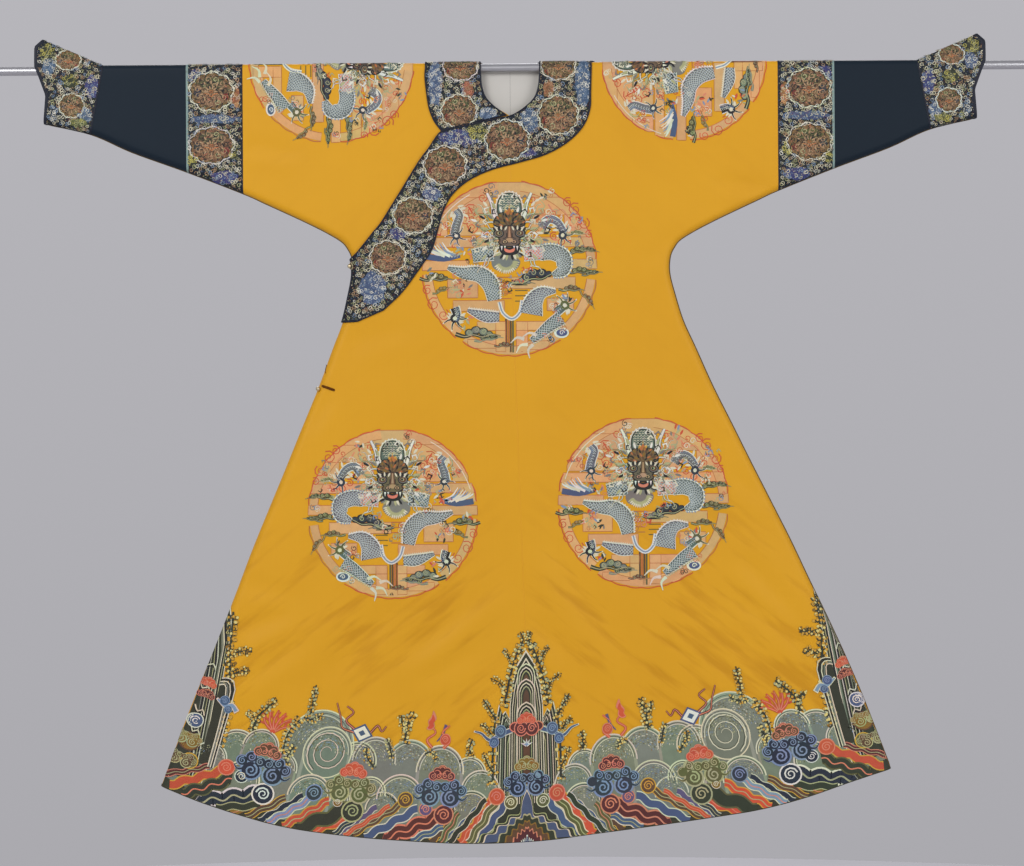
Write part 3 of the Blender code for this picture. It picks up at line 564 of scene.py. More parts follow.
def collar_corners():
    """Rows of the collar band, from its end under the lapel round the right of the neck to the left."""
    rows = [(a, to_run(b), c, to_run(d)) for a, b, c, d in COLLAR_FRONT]
    half = COLLAR_SHOULDER_HALF
    rows += [(-NECK_HALF, angle_run(angle), -half, angle_run(angle))
             for angle in reversed(FOLD_ANGLES)]
    rows.append((-NECK_HALF, 0.0, -half, 0.0))
    corner = np.array((BACK_NECK_HALF[1], angle_run(FOLD_ANGLES[1])))
    middle = np.array((0.0, angle_run(FOLD_ANGLES[2])))
    back = [(NECK_HALF, angle_run(FOLD_ANGLES[0]), half, angle_run(FOLD_ANGLES[0]))]
    back += [(*(corner + (middle - corner) * share), half, angle_run(angle))
             for share, angle in zip(COLLAR_TURN, FOLD_ANGLES[1:])]
    back += [(*(corner + (middle - corner) * share), outer_x, to_run(outer_drop))
             for share, outer_x, outer_drop in COLLAR_BACK]
    rows += [(-a, -b, -c, -d) for a, b, c, d in back]
    rows += [(a, -b, c, -d) for a, b, c, d in reversed(back[:-1])]
    return rows + [(NECK_HALF, -GAP, LAPEL_SHOULDER_OUT, -GAP)]


def lapel_tip(step):
    """Flat point on the lapel's lower edge, this far in from the side edge."""
    tip = seam_point(-1, *SIDE_SEAM[LAPEL_END_ROWS - 1])
    aim = np.subtract(LAPEL_TIP_AIM, tip)
    return tip + aim * (step / LAPEL_TIP_SLANT / np.linalg.norm(aim)) + (0.0, QUARTER)


def cut_lapel():
    """Flat points of the lapel band, from the left shoulder to the right side edge."""
    rows = [(NECK_HALF, angle_run(angle), LAPEL_SHOULDER_OUT, angle_run(angle))
            for angle in (0.0,) + FOLD_ANGLES]
    rows += [(a, to_run(b), c, to_run(d)) for a, b, c, d in LAPEL]
    main = cut_band(rows)[:-1]
    first = SEAM_STEPS * (1 + len(UNDER_SLEEVE))
    edge = SEAM_LINES[-1][first:first + BAND_ACROSS + 1]
    out = SEAM_OUTWARD[-1][first:first + BAND_ACROSS + 1]
    fade = np.clip(1.0 - np.arange(BAND_ACROSS + 1) / SEAM_STEPS, 0.0, 1.0)[:, None]
    end = []
    for step in (LAPEL_END_STEPS[0],) + EDGE_STEPS:
        row = edge - out * step + (0.0, QUARTER)
        end.append(row + (lapel_corner(step) - row[0]) * fade
                   + (lapel_tip(step) - row[-1]) * fade[::-1])
    share = np.linspace(0.0, 1.0, BAND_ACROSS + 1)[:, None]
    inner_x, inner_drop, outer_x, outer_drop = LAPEL[-1]
    start = (np.array((inner_x, to_run(inner_drop))) * (1 - share)
             + np.array((outer_x, to_run(outer_drop))) * share)
    bridge = [start + (end[0] - start) * k / BAND_STEPS for k in range(BAND_STEPS)]
    return np.concatenate([main, bridge, end])


# --- sleeves -------------------------------------------------------------------------------------
SLEEVE_COLUMNS = 14       # rings of finer cloth between two rings of a sleeve
TUBE_STEPS = 16           # rows of finer cloth below the rod


def under_drop(side, x):
    """Drop of the sleeve's lower edge at x."""
    line = SEAM_LINES[side][:len(UNDER_SLEEVE) * SEAM_STEPS + 1]
    order = np.argsort(side * line[:, 0])
    return np.interp(side * x, side * line[order, 0], line[order, 1])


def ring_drops(low_drop):
    """Drops at which a ring of a sleeve has its points, below the rod."""
    upper = np.linspace(0.0, low_drop - EDGE_STEPS[0], TUBE_STEPS, endpoint=False)[1:]
    return np.concatenate([upper, low_drop - np.array(EDGE_STEPS)])


FINE_ANGLES = np.linspace(0.0, 90.0, 4 * FOLD_STEPS + 1)


def sleeve_ring(side, top, low):
    """Flat points of one ring of a sleeve, with the crest of its fold."""
    low_drop = float(under_drop(side, side * low))
    ring = [(side * top, angle_run(angle), DRAPE_RADIUS) for angle in FINE_ANGLES]
    ring += [(side * (top + (low - top) * drop / low_drop), to_run(drop), DRAPE_RADIUS)
             for drop in ring_drops(low_drop)]
    return ring


def cuff_ring(side, share):
    """Flat points of one ring of a cuff, share of the way from its seam to its free edge."""
    crest = DRAPE_RADIUS + (CUFF_CREST - DRAPE_RADIUS) * share
    seam_drops = ring_drops(float(under_drop(side, side * CUFF_START_LOW)))
    start_top = CUFF_START_TOP + GAP
    ring = []
    for angle in FINE_ANGLES:
        free = read_table(CUFF_EDGE, -CUFF_CREST * math.cos(math.radians(angle)))
        ring.append((side * (start_top + (free - start_top) * share), angle_run(angle), crest))
    for seam_drop, edge_drop in zip(seam_drops, ring_drops(CUFF_CORNER[1])):
        start = start_top + (CUFF_START_LOW - CUFF_START_TOP) * seam_drop / seam_drops[-1]
        reach = start + (read_table(CUFF_EDGE, edge_drop) - start) * share
        ring.append((side * reach, to_run(seam_drop + (edge_drop - seam_drop) * share), crest))
    return ring


def tube_cut(rings):
    """Grid of a folded tube from its rings, up the back, over the rod and down the front."""
    grid = np.array(rings).transpose(1, 0, 2)
    back = grid[:0:-1].copy()
    back[..., 1] *= -1
    return np.concatenate([back, grid])


# --- shader maths --------------------------------------------------------------------------------
class Wire:
    """A socket that can be added, taken away and multiplied."""

    def __init__(self, recipe, socket):
        self.recipe = recipe
        self.socket = socket

    def combine(self, operation, *values):
        """Wire out of a maths node on these values."""
        return self.recipe.node("ShaderNodeMath", {"operation": operation}, values)[0]

    def __add__(self, other):
        return self.combine("ADD", self, other)

    def __sub__(self, other):
        return self.combine("SUBTRACT", self, other)

    def __mul__(self, other):
        return self.combine("MULTIPLY", self, other)

    def __abs__(self):
        return self.combine("ABSOLUTE", self)

    __radd__ = __add__


class Wiring:
    """Nodes of one tree."""

    def __init__(self, tree):
        self.tree = tree

    def feed(self, socket, value):
        """Link a wire to a socket, or set its value."""
        if isinstance(value, Wire):
            self.tree.links.new(value.socket, socket)
        else:
            socket.default_value = value

    def node(self, kind, settings=None, inputs=()):
        """Add a node, with its settings first and then its inputs, and give its outputs."""
        made = self.tree.nodes.new(kind)
        for key, value in (settings or {}).items():
            if key == "stops":
                set_stops(made.color_ramp, value)
            else:
                setattr(made, key, value)
        pairs = inputs.items() if isinstance(inputs, dict) else enumerate(inputs)
        for key, value in pairs:
            self.feed(made.inputs[key], value)
        return [Wire(self, output) for output in made.outputs if output.enabled]


class Recipe(Wiring):
    """A material's nodes, ending in one Principled shader."""

    def __init__(self, name, **fixed):
        self.material = bpy.data.materials.new(name)
        self.material.use_nodes = True
        super().__init__(self.material.node_tree)
        self.shader = self.tree.nodes["Principled BSDF"]
        for socket, value in fixed.items():
            self.shader.inputs[socket.replace("_", " ")].default_value = value

    def places(self, kind, scale=(1.0, 1.0, 1.0)):
        """Coordinates of this kind, stretched."""
        coordinates = self.tree.nodes.new("ShaderNodeTexCoord")
        source = Wire(self, coordinates.outputs[kind])
        return self.node("ShaderNodeMapping", None, {"Vector": source, "Scale": scale})[0]

    def noise(self, vector, scale, detail=2.0, roughness=0.5):
        """Noise from 0 to 1."""
        inputs = {"Vector": vector, "Scale": scale, "Detail": detail, "Roughness": roughness}
        return self.node("ShaderNodeTexNoise", None, inputs)[0]

    def eased(self, value, low, high, first, last):
        """Ease from first to last as value goes from low to high."""
        settings = {"interpolation_type": "SMOOTHSTEP"}
        return self.node("ShaderNodeMapRange", settings, [value, low, high, first, last])[0]

    def blend(self, share, first, second, how="MIX"):
        """Mix two colours."""
        settings = {"data_type": "RGBA", "blend_type": how}
        return self.node("ShaderNodeMix", settings, {0: share, 6: first, 7: second})[0]

    def bump(self, height, strength, distance):
        """Raise the surface by this height."""
        inputs = {"Strength": strength, "Distance": distance, "Height": height}
        self.feed(self.shader.inputs["Normal"], self.node("ShaderNodeBump", None, inputs)[0])

    def paint(self, **values):
        """Feed the shader's own sockets."""
        for socket, value in values.items():
            self.feed(self.shader.inputs[socket.replace("_", " ")], value)
        return self.material


def set_stops(ramp, stops):
    """Set a ramp's stops, each a place and a colour."""
    while len(ramp.elements) < len(stops):
        ramp.elements.new(0.5)
    for element, (place, colour) in zip(ramp.elements, stops):
        element.position = place
        element.color = colour


def linear(red, green, blue):
    """Linear colour from everyday 0 to 255 numbers."""
    scaled = np.array((red, green, blue)) / 255.0
    lit = np.where(scaled <= 0.04045, scaled / 12.92, ((scaled + 0.055) / 1.055) ** 2.4)
    return (*(float(value) for value in lit), 1.0)


def silk_satin(name, main, light, dark, sheen, folds=0.0, shine=0.22):
    """Satin of three everyday colours: faint streaks, clouds of tone, a fine weave, soft folds bumped in
    with painted shade in their troughs.
    """
    main, light, dark = (linear(*colour) for colour in (main, light, dark))
    recipe = Recipe(name, Sheen_Weight=sheen, Sheen_Roughness=0.4, Sheen_Tint=light,
                    Specular_IOR_Level=shine)
    broad = recipe.noise(recipe.places("UV"), 3.2, 3.0, 0.55)
    streak = recipe.noise(recipe.places("UV", (260.0, 5.0, 1.0)), 1.0, 3.0, 0.6)
    weft = recipe.noise(recipe.places("UV", (7.0, 420.0, 1.0)), 1.0, 2.0, 0.5)
    fleck = recipe.noise(recipe.places("UV", (900.0, 700.0, 1.0)), 1.0, 1.0, 0.5)
    tone = recipe.blend(broad, dark, light)
    warp = recipe.blend(0.35, tone, recipe.blend(streak * 0.6 + weft * 0.4, dark, main))
    colour = recipe.blend(0.55, warp, main)
    height = streak * 0.5 + weft * 0.35 + fleck * 0.5
    if folds:
        fold_depth_and_painted_shade = slanting_folds_and_painted_shade(recipe) * folds
        # painted shade: the colour is darkened towards the dark tone in the fold troughs
        colour = recipe.blend(fold_depth_and_painted_shade * 0.72, colour, dark)
        height = height - fold_depth_and_painted_shade * 5.5
    recipe.bump(height, 0.22, 0.0004)
    return recipe.paint(Base_Color=colour, Roughness=0.40 + broad * 0.12 + fleck * 0.10)


SLANT = (0.80, 0.60)      # cosine and sine of the slant of the folds


def slanting_folds_and_painted_shade(recipe):
    """Soft folds low on the robe, from 0 to 1, that slant up from the side seams to the middle: they set
    the folds' bump and the painted shade in their troughs.
    """
    split = recipe.node("ShaderNodeSeparateXYZ", None, [recipe.places("UV")])
    side, low = abs(split[0]), abs(split[1])
    cosine, sine = SLANT
    along, across = side * cosine + low * sine, low * cosine - side * sine
    place = recipe.node("ShaderNodeCombineXYZ", None, [along * 5.0, across * 24.0, split[0] * 0.7])[0]
    small = recipe.node("ShaderNodeCombineXYZ", None, [along * 11.0, across * 62.0, split[0] * 3.0])[0]
    wander = recipe.noise(place, 1.0, 2.0, 0.45) * 0.60 + recipe.noise(small, 1.0, 2.0, 0.5) * 0.40
    start = recipe.eased(low, 0.72, 1.0, 0.0, 1.0)
    deep = recipe.eased(wander, 0.49, 0.66, 0.0, 1.0)
    beside = recipe.eased(side, 0.0, 0.10, 0.15, 1.0)
    return deep * beside * (start * 0.85 + 0.10)


def needlework_thread(name):
    """Silk floss: each shape's own colour, with the lie of its stitches."""
    recipe = Recipe(name, Specular_IOR_Level=0.25)
    own = recipe.node("ShaderNodeAttribute", {"attribute_name": "thread"})[0]
    floss = recipe.noise(recipe.places("Object", (1500.0, 300.0, 420.0)), 1.0, 2.0, 0.6)
    worn = recipe.noise(recipe.places("Object", (60.0, 60.0, 60.0)), 1.0, 2.0, 0.6)
    shade = recipe.blend(floss * 0.55 + worn * 0.45, (0.62, 0.62, 0.62, 1), (1.18, 1.18, 1.16, 1))
    recipe.bump(floss, 0.35, 0.0003)
    return recipe.paint(Base_Color=recipe.blend(1.0, own, shade, "MULTIPLY"),
                        Roughness=0.48 + floss * 0.2)


# --- needlework: flat shapes of coloured floss, laid on the silk ----------------------------------
RELIEF = 0.0005           # height of the first layer of floss over the cloth
LAYER = 0.00006           # each further layer of floss
STITCH_REACH = 0.018      # longest straight side of a shape on flat cloth
FOLD_REACH = 0.0042       # longest one where the cloth turns
CREST_REACH = 0.0022      # longest one on the sharp crest of a cuff
HALVINGS = 14             # most times that a side is halved to fit under these
ROD_MARGIN = 0.001        # cloth this near the rod counts as turning, and so does cloth
SEAM_MARGIN = 0.005       # this far in from where it turns at a sewn edge
ORDERS = 7                # shapes of one layer lie at this many heights in turn,
ORDER_STEP = 0.13         # this share of a layer apart
LEAST_SPREAD = 1e-10      # smaller triangles are left out
GRID_SHARE = 0.7          # spacing inside a wide outline, as a share of a stitch's reach,
GRID_CLEAR = 0.45         # and the share of it that is kept clear along the outline
DYE_SPREAD = 0.10         # each skein is at most this share lighter or darker
CURL_WIND = 0.82          # a curl winds in by this share of its radius
CURL_THIN = 0.4           # and thins by this share of its width
chance = np.random.default_rng(11)


class Needlework:
    """Everything sewn on one piece, as flat triangles with a colour and a layer each."""

    def __init__(self):
        self.corners = []
        self.colours = []
        self.layers = []
        self.seeds = []

    def add(self, triangles, colour, layer):
        """Keep triangles of one colour and one layer."""
        self.corners.append(np.asarray(triangles, float))
        self.colours.append(np.tile(colour[:3], (len(triangles), 1)))
        self.layers.append(np.full(len(triangles), layer))

    def stamp(self, kind, spots, toward, sizes, colours, layer):
        """Keep small repeated shapes: flat places, flat places they point to, sizes and colours."""
        count = len(spots)
        self.seeds.append(np.column_stack([spots, toward, np.broadcast_to(sizes, count),
                                           np.broadcast_to(np.asarray(colours)[..., :3], (count, 3)),
                                           np.full(count, layer), np.full(count, STAMPS[kind])]))

    def stamps(self, name, lift, material, crest=None):
        """Hang the small repeated shapes on their cloth."""
        rows = np.concatenate(self.seeds)
        flat, toward, sizes, colours = rows[:, :2], rows[:, 2:4], rows[:, 4], rows[:, 5:8]
        height = RELIEF + LAYER * (rows[:, 8] + ORDER_STEP * (np.arange(len(rows)) % ORDERS))
        points, out = self.hung(flat, lift, height, crest)
        ahead, _ = self.hung(toward, lift, height, crest)
        return stamped(name, points, out, ahead - points, sizes, colours,
                       rows[:, 9].astype(np.int32), material)

    def hung(self, flat, lift, height, crest):
        """Places and outward directions of needlework this high over its cloth."""
        x, run = flat[:, 0], -flat[:, 1]
        crests = DRAPE_RADIUS if crest is None else crest(x, run)
        return hang(x, run, lift(x, run) + height, crests)

    def piece(self, name, lift, material, crest=None):
        """Hang the shapes on their cloth, whose outer face is at this lift."""
        corners = np.concatenate(self.corners)
        colours = np.concatenate(self.colours)
        layers = np.concatenate(self.layers)
        shapes = np.repeat(np.arange(len(self.corners)), [len(part) for part in self.corners])
        corners, picks = split_long(corners)
        colours, layers, shapes = colours[picks], layers[picks], shapes[picks]
        places = np.column_stack([corners.reshape(-1, 2), np.repeat(shapes, 3)])
        _, first, index = np.unique(places.round(7), axis=0, return_index=True,
                                    return_inverse=True)
        flat = corners.reshape(-1, 2)[first]
        order = np.repeat(shapes % ORDERS, 3)[first] * ORDER_STEP
        height = RELIEF + LAYER * (np.repeat(layers, 3)[first] + order)
        points, out = self.hung(flat, lift, height, crest)
        faces = index.reshape(-1, 3)
        faces = faces[np.linalg.norm(spreads(points, faces), axis=1) > LEAST_SPREAD]
        faces = turned_out(points, faces, out)
        made = add_mesh(name, points, faces, [material], uv=flat)
        shades = np.column_stack([np.repeat(colours, 3, axis=0)[first], np.ones(len(first))])
        layer = made.data.color_attributes.new("thread", "FLOAT_COLOR", "POINT")
        layer.data.foreach_set("color", shades.astype(np.float32).ravel())
        return made


def spreads(points, faces):
    """Direction square to each face, by its first three corners; as long as twice their area."""
    first = points[faces[:, 0]]
    return np.cross(points[faces[:, 1]] - first, points[faces[:, 2]] - first)


def turned_out(points, faces, out):
    """Faces in the order of corners that makes them look outwards."""
    turned = (spreads(points, faces) * out[faces[:, 0]]).sum(1) < 0
    faces[turned] = faces[turned][:, ::-1]
    return faces


def split_long(corners):
    """Halve the longest side of each triangle until all follow the cloth."""
    picks = np.arange(len(corners))
    done, kept = [], []
    for _ in range(HALVINGS):
        sides = np.roll(corners, -1, axis=1) - corners
        lengths = np.linalg.norm(sides, axis=2)
        longest = lengths.argmax(1)
        middle = corners.mean(1)
        over_rod = np.abs(corners[..., 1]).min(1) < QUARTER + ROD_MARGIN
        allowed = np.where(over_rod | near_seam(middle), FOLD_REACH, STITCH_REACH)
        allowed[over_rod & (np.abs(middle[:, 0]) > CUFF_START_TOP)] = CREST_REACH
        rows = np.arange(len(corners))
        split = lengths[rows, longest] > allowed
        done.append(corners[~split])
        kept.append(picks[~split])
        if not split.any():
            break
        corners, picks, longest, rows = corners[split], picks[split], longest[split], rows[:split.sum()]
        start = corners[rows, longest]
        end = corners[rows, (longest + 1) % 3]
        tip = corners[rows, (longest + 2) % 3]
        half = (start + end) / 2
        corners = np.concatenate([np.stack([start, half, tip], 1), np.stack([half, end, tip], 1)])
        picks = np.concatenate([picks, picks])
    return np.concatenate(done), np.concatenate(kept)


def near_seam(flat):
    """True for flat points where the cloth turns at the sewn edge."""
    distance, _ = seam_distance(flat[:, 0], np.maximum(np.abs(flat[:, 1]) - QUARTER, 0.0))
    return distance < EDGE_ROUND + SEAM_MARGIN


class Pen:
    """Draws in its own frame, y up, on a Needlework."""

    def __init__(self, work, spot=(0.0, 0.0), size=1.0, turn=0.0, layer=0, warp=None):
        angle = math.radians(turn)
        self.work = work
        self.axes = size * np.array(((math.cos(angle), math.sin(angle)),
                                     (-math.sin(angle), math.cos(angle))))
        self.spot = np.array(spot, float)
        self.layer = layer
        self.warp = warp

    def at(self, x, y, size=1.0, turn=0.0, mirror=False, rise=0):
        """Pen with its origin at a point of this one's frame, scaled, turned or mirrored."""
        other = Pen(self.work, (x, y), size, turn, self.layer + rise, self.warp)
        if mirror:
            other.axes[0] *= -1
        other.spot = other.spot @ self.axes + self.spot
        other.axes = other.axes @ self.axes
        return other

    def halves(self):
        """This pen and its mirror image."""
        return self, self.at(0.0, 0.0, mirror=True)

    def up(self, rise=1):
        """Same pen, this many layers of floss higher."""
        return self.at(0.0, 0.0, rise=rise)

    def to_cloth(self, points):
        """Flat cloth places of points in this pen's frame."""
        flat = np.asarray(points, float) @ self.axes + self.spot
        return self.warp(flat) if self.warp else flat

    def fill(self, outline, colour):
        """Fill a closed outline."""
        flat = self.to_cloth(outline)
        if np.ptp(flat, axis=0).max() > STITCH_REACH:
            flat, picks = fill_wide(flat)
        else:
            picks = tessellate_polygon([[Vector((*point, 0.0)) for point in flat]])
        if len(picks):
            self.work.add(flat[np.array(picks)], tinted(colour), self.layer)

    def strip(self, left, right, colour):
        """Fill the space between two lines of matching points."""
        left, right = self.to_cloth(left), self.to_cloth(right)
        first = np.stack([left[:-1], right[:-1], right[1:]], 1)
        second = np.stack([left[:-1], right[1:], left[1:]], 1)
        self.work.add(np.concatenate([first, second]), tinted(colour), self.layer)

    def line(self, points, width, colour, end_width=None, steps=4):
        """Smooth line through points, from one width to another."""
        middle = smooth_line(points, steps)
        widths = np.linspace(width, width if end_width is None else end_width, len(middle)) / 2
        side = sideways(middle) * widths[:, None]
        self.strip(middle + side, middle - side, colour)

    def braid(self, points, *strands, steps=4):
        """Lines along the same points, each a layer over the last: width, colour, end width."""
        for rise, (width, colour, end_width) in enumerate(strands):
            self.up(rise).line(points, width, colour, end_width, steps)

    def blob(self, points, colour, steps=4):
        """Fill the closed smooth line through points."""
        self.fill(closed_line(points, steps)[:-1], colour)

    def oval(self, x, y, wide, high, colour, corners=14):
        """Fill an oval."""
        self.at(x, y).fill(ellipse(wide, high, corners), colour)

    def stamp(self, kind, spots, sizes, colours, turns=None, rise=0):
        """Set small repeated shapes, each turned by its angle or at random."""
        spots = np.asarray(spots, float).reshape(-1, 2)
        if turns is None:
            turns = chance.uniform(0, 360, len(spots))
        angle = np.radians(np.broadcast_to(turns, len(spots)))
        ahead = spots + 0.01 * around(angle)
        scale = float(np.linalg.norm(self.axes[0]))
        first, second = self.to_cloth(spots), self.to_cloth(ahead)
        self.work.stamp(kind, first, second, np.asarray(sizes) * scale, colours,
                        self.layer + rise)

    def ring(self, x, y, radius, width, colour, start=0.0, end=360.0, corners=18):
        """Arc or whole ring, by its angles."""
        spokes = around(np.radians(np.linspace(start, end, corners + 1)))
        self.strip(spokes * (radius - width / 2) + (x, y), spokes * (radius + width / 2) + (x, y),
                   colour)

    def curl(self, x, y, radius, width, colour, turns=1.4, start=0.0, hand=1, steps=9):
        """Line that winds in to a point."""
        share = np.linspace(0.0, 1.0, int(steps * turns) + 2)
        angle = math.radians(start) + hand * share * turns * 2 * math.pi
        reach = radius * (1.0 - CURL_WIND * share)
        middle = around(angle, reach, reach) + (x, y)
        side = sideways(middle) * (width / 2) * (1.0 - CURL_THIN * share)[:, None]
        self.strip(middle + side, middle - side, colour)


def fill_wide(outline):
    """Even triangles in an outline wider than a stitch's reach: points and corners."""
    ends = np.roll(outline, -1, axis=0)
    keep = np.linalg.norm(ends - outline, axis=1) > 1e-6
    outline, ends = outline[keep], ends[keep]
    edge = []
    for start, end in zip(outline, ends):
        steps = max(int(np.ceil(np.linalg.norm(end - start) / STITCH_REACH)), 1)
        edge += [start + (end - start) * k / steps for k in range(steps)]
    edge = np.array(edge)
    low, high = edge.min(0), edge.max(0)
    pitch = STITCH_REACH * GRID_SHARE
    grid = np.stack(np.meshgrid(np.arange(low[0], high[0], pitch),
                                np.arange(low[1], high[1], pitch)), -1).reshape(-1, 2)
    gap = np.linalg.norm(grid[:, None] - edge[None], axis=2).min(1)
    points = np.vstack([edge, grid[gap > STITCH_REACH * GRID_CLEAR]])
    order = np.arange(len(edge))
    made = delaunay_2d_cdt([Vector(point) for point in points],
                           np.stack([order, np.roll(order, -1)], 1).tolist(), [], 1, 1e-6)
    return np.array([tuple(point) for point in made[0]]).reshape(-1, 2), made[2]


def tinted(colour):
    """Colour of one shape: each dyed skein is a little lighter or darker."""
    return tuple(value * (1.0 + DYE_SPREAD * float(chance.uniform(-1, 1))) for value in colour[:3])


def around(angle, wide=1.0, high=1.0):
    """Points of an oval at these angles, by its half sizes."""
    return np.stack([wide * np.cos(angle), high * np.sin(angle)], 1)


def ellipse(wide, high, corners=14):
    """Corners of an oval, by its half sizes."""
    return around(np.arange(corners) * 2 * math.pi / corners, wide, high)


def sideways(middle):
    """Unit sideways direction along a line."""
    along = np.gradient(middle, axis=0)
    along /= np.maximum(np.linalg.norm(along, axis=1), 1e-9)[:, None]
    return np.stack([-along[:, 1], along[:, 0]], 1)


def closed_line(points, steps):
    """Smooth closed line through points, its first point repeated at its end."""
    given = np.asarray(points, float)
    line = smooth_line(np.vstack([given[-2:], given, given[:2]]), steps)
    return line[2 * steps:-steps]


# --- small repeated shapes, placed by geometry nodes ----------------------------------------------
STAMPS = {"bead": 0, "comma": 1, "curl": 2, "leaf": 3, "scale": 4, "tooth": 5}


def flat_stamp(kind, outline=None, middle=None, widths=None):
    """Small flat shape of length about 1: a filled outline, or a strip along a line."""
    if outline is None:
        middle = np.asarray(middle, float)
        side = sideways(middle) * (np.asarray(widths, float) / 2)[:, None]
        count = len(middle)
        outline = np.vstack([middle + side, middle - side])
        faces = [(k + 1, k, k + count, k + count + 1) for k in range(count - 1)]
    else:
        outline = np.asarray(outline, float)
        faces = [tuple(range(len(outline)))]
    points = np.column_stack([outline, np.zeros(len(outline))])
    made = add_mesh(f"{STAMPS[kind]}_{kind}", points, faces, [])
    bpy.context.scene.collection.objects.unlink(made)
    return made


def make_stamps():
    """Collection of the small repeated shapes."""
    tray = bpy.data.collections.new("stamps")
    bpy.context.scene.collection.children.link(tray)
    bent = np.radians(np.array((-70.0, 10.0, 95.0, 190.0)))
    reach = np.array((0.50, 0.45, 0.33, 0.17))
    wound = np.radians(np.linspace(-80, 330, 10))
    inward = np.linspace(0.50, 0.14, 10)
    bow = ((-0.25, -0.50), (0.02, -0.24), (0.22, 0.0), (0.02, 0.24), (-0.25, 0.50))
    shapes = (
        flat_stamp("bead", ellipse(0.52, 0.52, 6)),
        flat_stamp("comma", middle=around(bent, reach, reach),
                   widths=(0.08, 0.25, 0.23, 0.08)),
        flat_stamp("curl", middle=around(wound, inward, inward),
                   widths=np.linspace(0.08, 0.15, 10)),
        flat_stamp("leaf", ((-0.5, 0.0), (-0.2, -0.17), (0.2, -0.15), (0.5, 0.0), (0.2, 0.15),
                            (-0.2, 0.17))),
        flat_stamp("scale", middle=bow, widths=(0.14, 0.16, 0.20, 0.16, 0.14)),
        flat_stamp("tooth", ((-0.15, -0.32), (0.2, -0.22), (0.75, 0.06), (0.2, 0.24),
                             (-0.15, 0.32))))
    for made in shapes:
        tray.objects.link(made)
    return tray


def add_stamp_tree():
    """Geometry nodes that set one stamp on every point, turned by its stored directions."""
    tree = bpy.data.node_groups.new("stamps on cloth", "GeometryNodeTree")
    for name, kind in (("Geometry", "NodeSocketGeometry"), ("Tray", "NodeSocketCollection"),
                       ("Floss", "NodeSocketMaterial")):
        tree.interface.new_socket(name, in_out="INPUT", socket_type=kind)
    tree.interface.new_socket("Geometry", in_out="OUTPUT", socket_type="NodeSocketGeometry")
    wiring = Wiring(tree)
    given = wiring.node("NodeGroupInput")
    out, along, size, kind = (
        wiring.node("GeometryNodeInputNamedAttribute", {"data_type": form}, {"Name": name})[0]
        for name, form in (("out", "FLOAT_VECTOR"), ("along", "FLOAT_VECTOR"), ("size", "FLOAT"),
                           ("kind", "INT")))
    turned = wiring.node("FunctionNodeAxesToRotation",
                         {"primary_axis": "Z", "secondary_axis": "X"}, [out, along])[0]
    tray = wiring.node("GeometryNodeCollectionInfo", None,
                       {"Collection": given[1], "Separate Children": True,
                        "Reset Children": True})[0]
    placed = wiring.node("GeometryNodeInstanceOnPoints", None,
                         {"Points": given[0], "Instance": tray, "Pick Instance": True,
                          "Instance Index": kind, "Rotation": turned, "Scale": size})[0]
    real = wiring.node("GeometryNodeRealizeInstances", None, {"Geometry": placed})[0]
    sewn = wiring.node("GeometryNodeSetMaterial", None, {"Geometry": real, "Material": given[2]})[0]
    wiring.node("NodeGroupOutput", None, {0: sewn})
    return tree


stamp_tray = make_stamps()
stamp_tree = add_stamp_tree()


def stamped(name, points, out, along, sizes, colours, kinds, material):
    """Plain mesh with one small repeated shape on every point."""
    mesh = bpy.data.meshes.new(name + "_points")
    mesh.from_pydata(points.tolist(), [], [])
    shades = np.column_stack([colours, np.ones(len(colours))])
    for key, form, field, values in (("out", "FLOAT_VECTOR", "vector", out),
                                     ("along", "FLOAT_VECTOR", "vector", along),
                                     ("size", "FLOAT", "value", sizes),
                                     ("kind", "INT", "value", kinds),
                                     ("thread", "FLOAT_COLOR", "color", shades)):
        layer = mesh.attributes.new(key, form, "POINT")
        layer.data.foreach_set(field, np.ascontiguousarray(
            values, np.int32 if form == "INT" else np.float32).ravel())
    seeds = bpy.data.objects.new(name + "_points", mesh)
    bpy.context.scene.collection.objects.link(seeds)
    growth = seeds.modifiers.new("stamps", "NODES")
    growth.node_group = stamp_tree
    values = {"Tray": stamp_tray, "Floss": material}
    for socket in stamp_tree.interface.items_tree:
        if socket.in_out == "INPUT" and socket.name in values:
            growth[socket.identifier] = values[socket.name]
    plain = bpy.data.meshes.new_from_object(
        seeds.evaluated_get(bpy.context.evaluated_depsgraph_get()))
    seeds.modifiers.clear()
    bpy.data.objects.remove(seeds, do_unlink=True)
    for extra in ("out", "along", "size", "kind"):
        if extra in plain.attributes:
            plain.attributes.remove(plain.attributes[extra])
    made = bpy.data.objects.new(name, plain)
    bpy.context.scene.collection.objects.link(made)
    return made


# --- dyed floss ----------------------------------------------------------------------------------
CORAL = linear(202, 86, 58)
SALMON = linear(216, 134, 106)
PEACH = linear(216, 168, 112)
RUST = linear(186, 112, 66)
MAROON = linear(92, 48, 46)
BROWN = linear(98, 72, 52)
OLIVE = linear(98, 98, 60)
MOSS = linear(56, 60, 46)
OLD_GOLD = linear(138, 104, 44)
GOLD = linear(206, 158, 62)
BUD = linear(224, 206, 128)
CREAM = linear(218, 212, 184)
LIME = linear(174, 174, 128)
SEA = linear(122, 130, 114)
PALE_SEA = linear(148, 154, 134)
BLUE = linear(76, 93, 122)
SKY = linear(130, 150, 174)
SLATE = linear(54, 62, 70)
NAVY = linear(42, 49, 62)
VIOLET = linear(98, 86, 118)
WHITE = linear(224, 222, 208)
INK = linear(40, 40, 40)
SCALE_GREY = linear(108, 112, 112)
SCALE_GREEN = linear(88, 106, 98)
SCALE_EDGE = linear(196, 204, 196)
STEEL = linear(124, 124, 116)
TAN = linear(176, 144, 110)


# --- small motifs --------------------------------------------------------------------------------
LOBE_TRIM = 0.82          # a lobe inside its pale outline, as a share of it
LOBE_SHAPE = 0.94         # height of a lobe as a share of its width


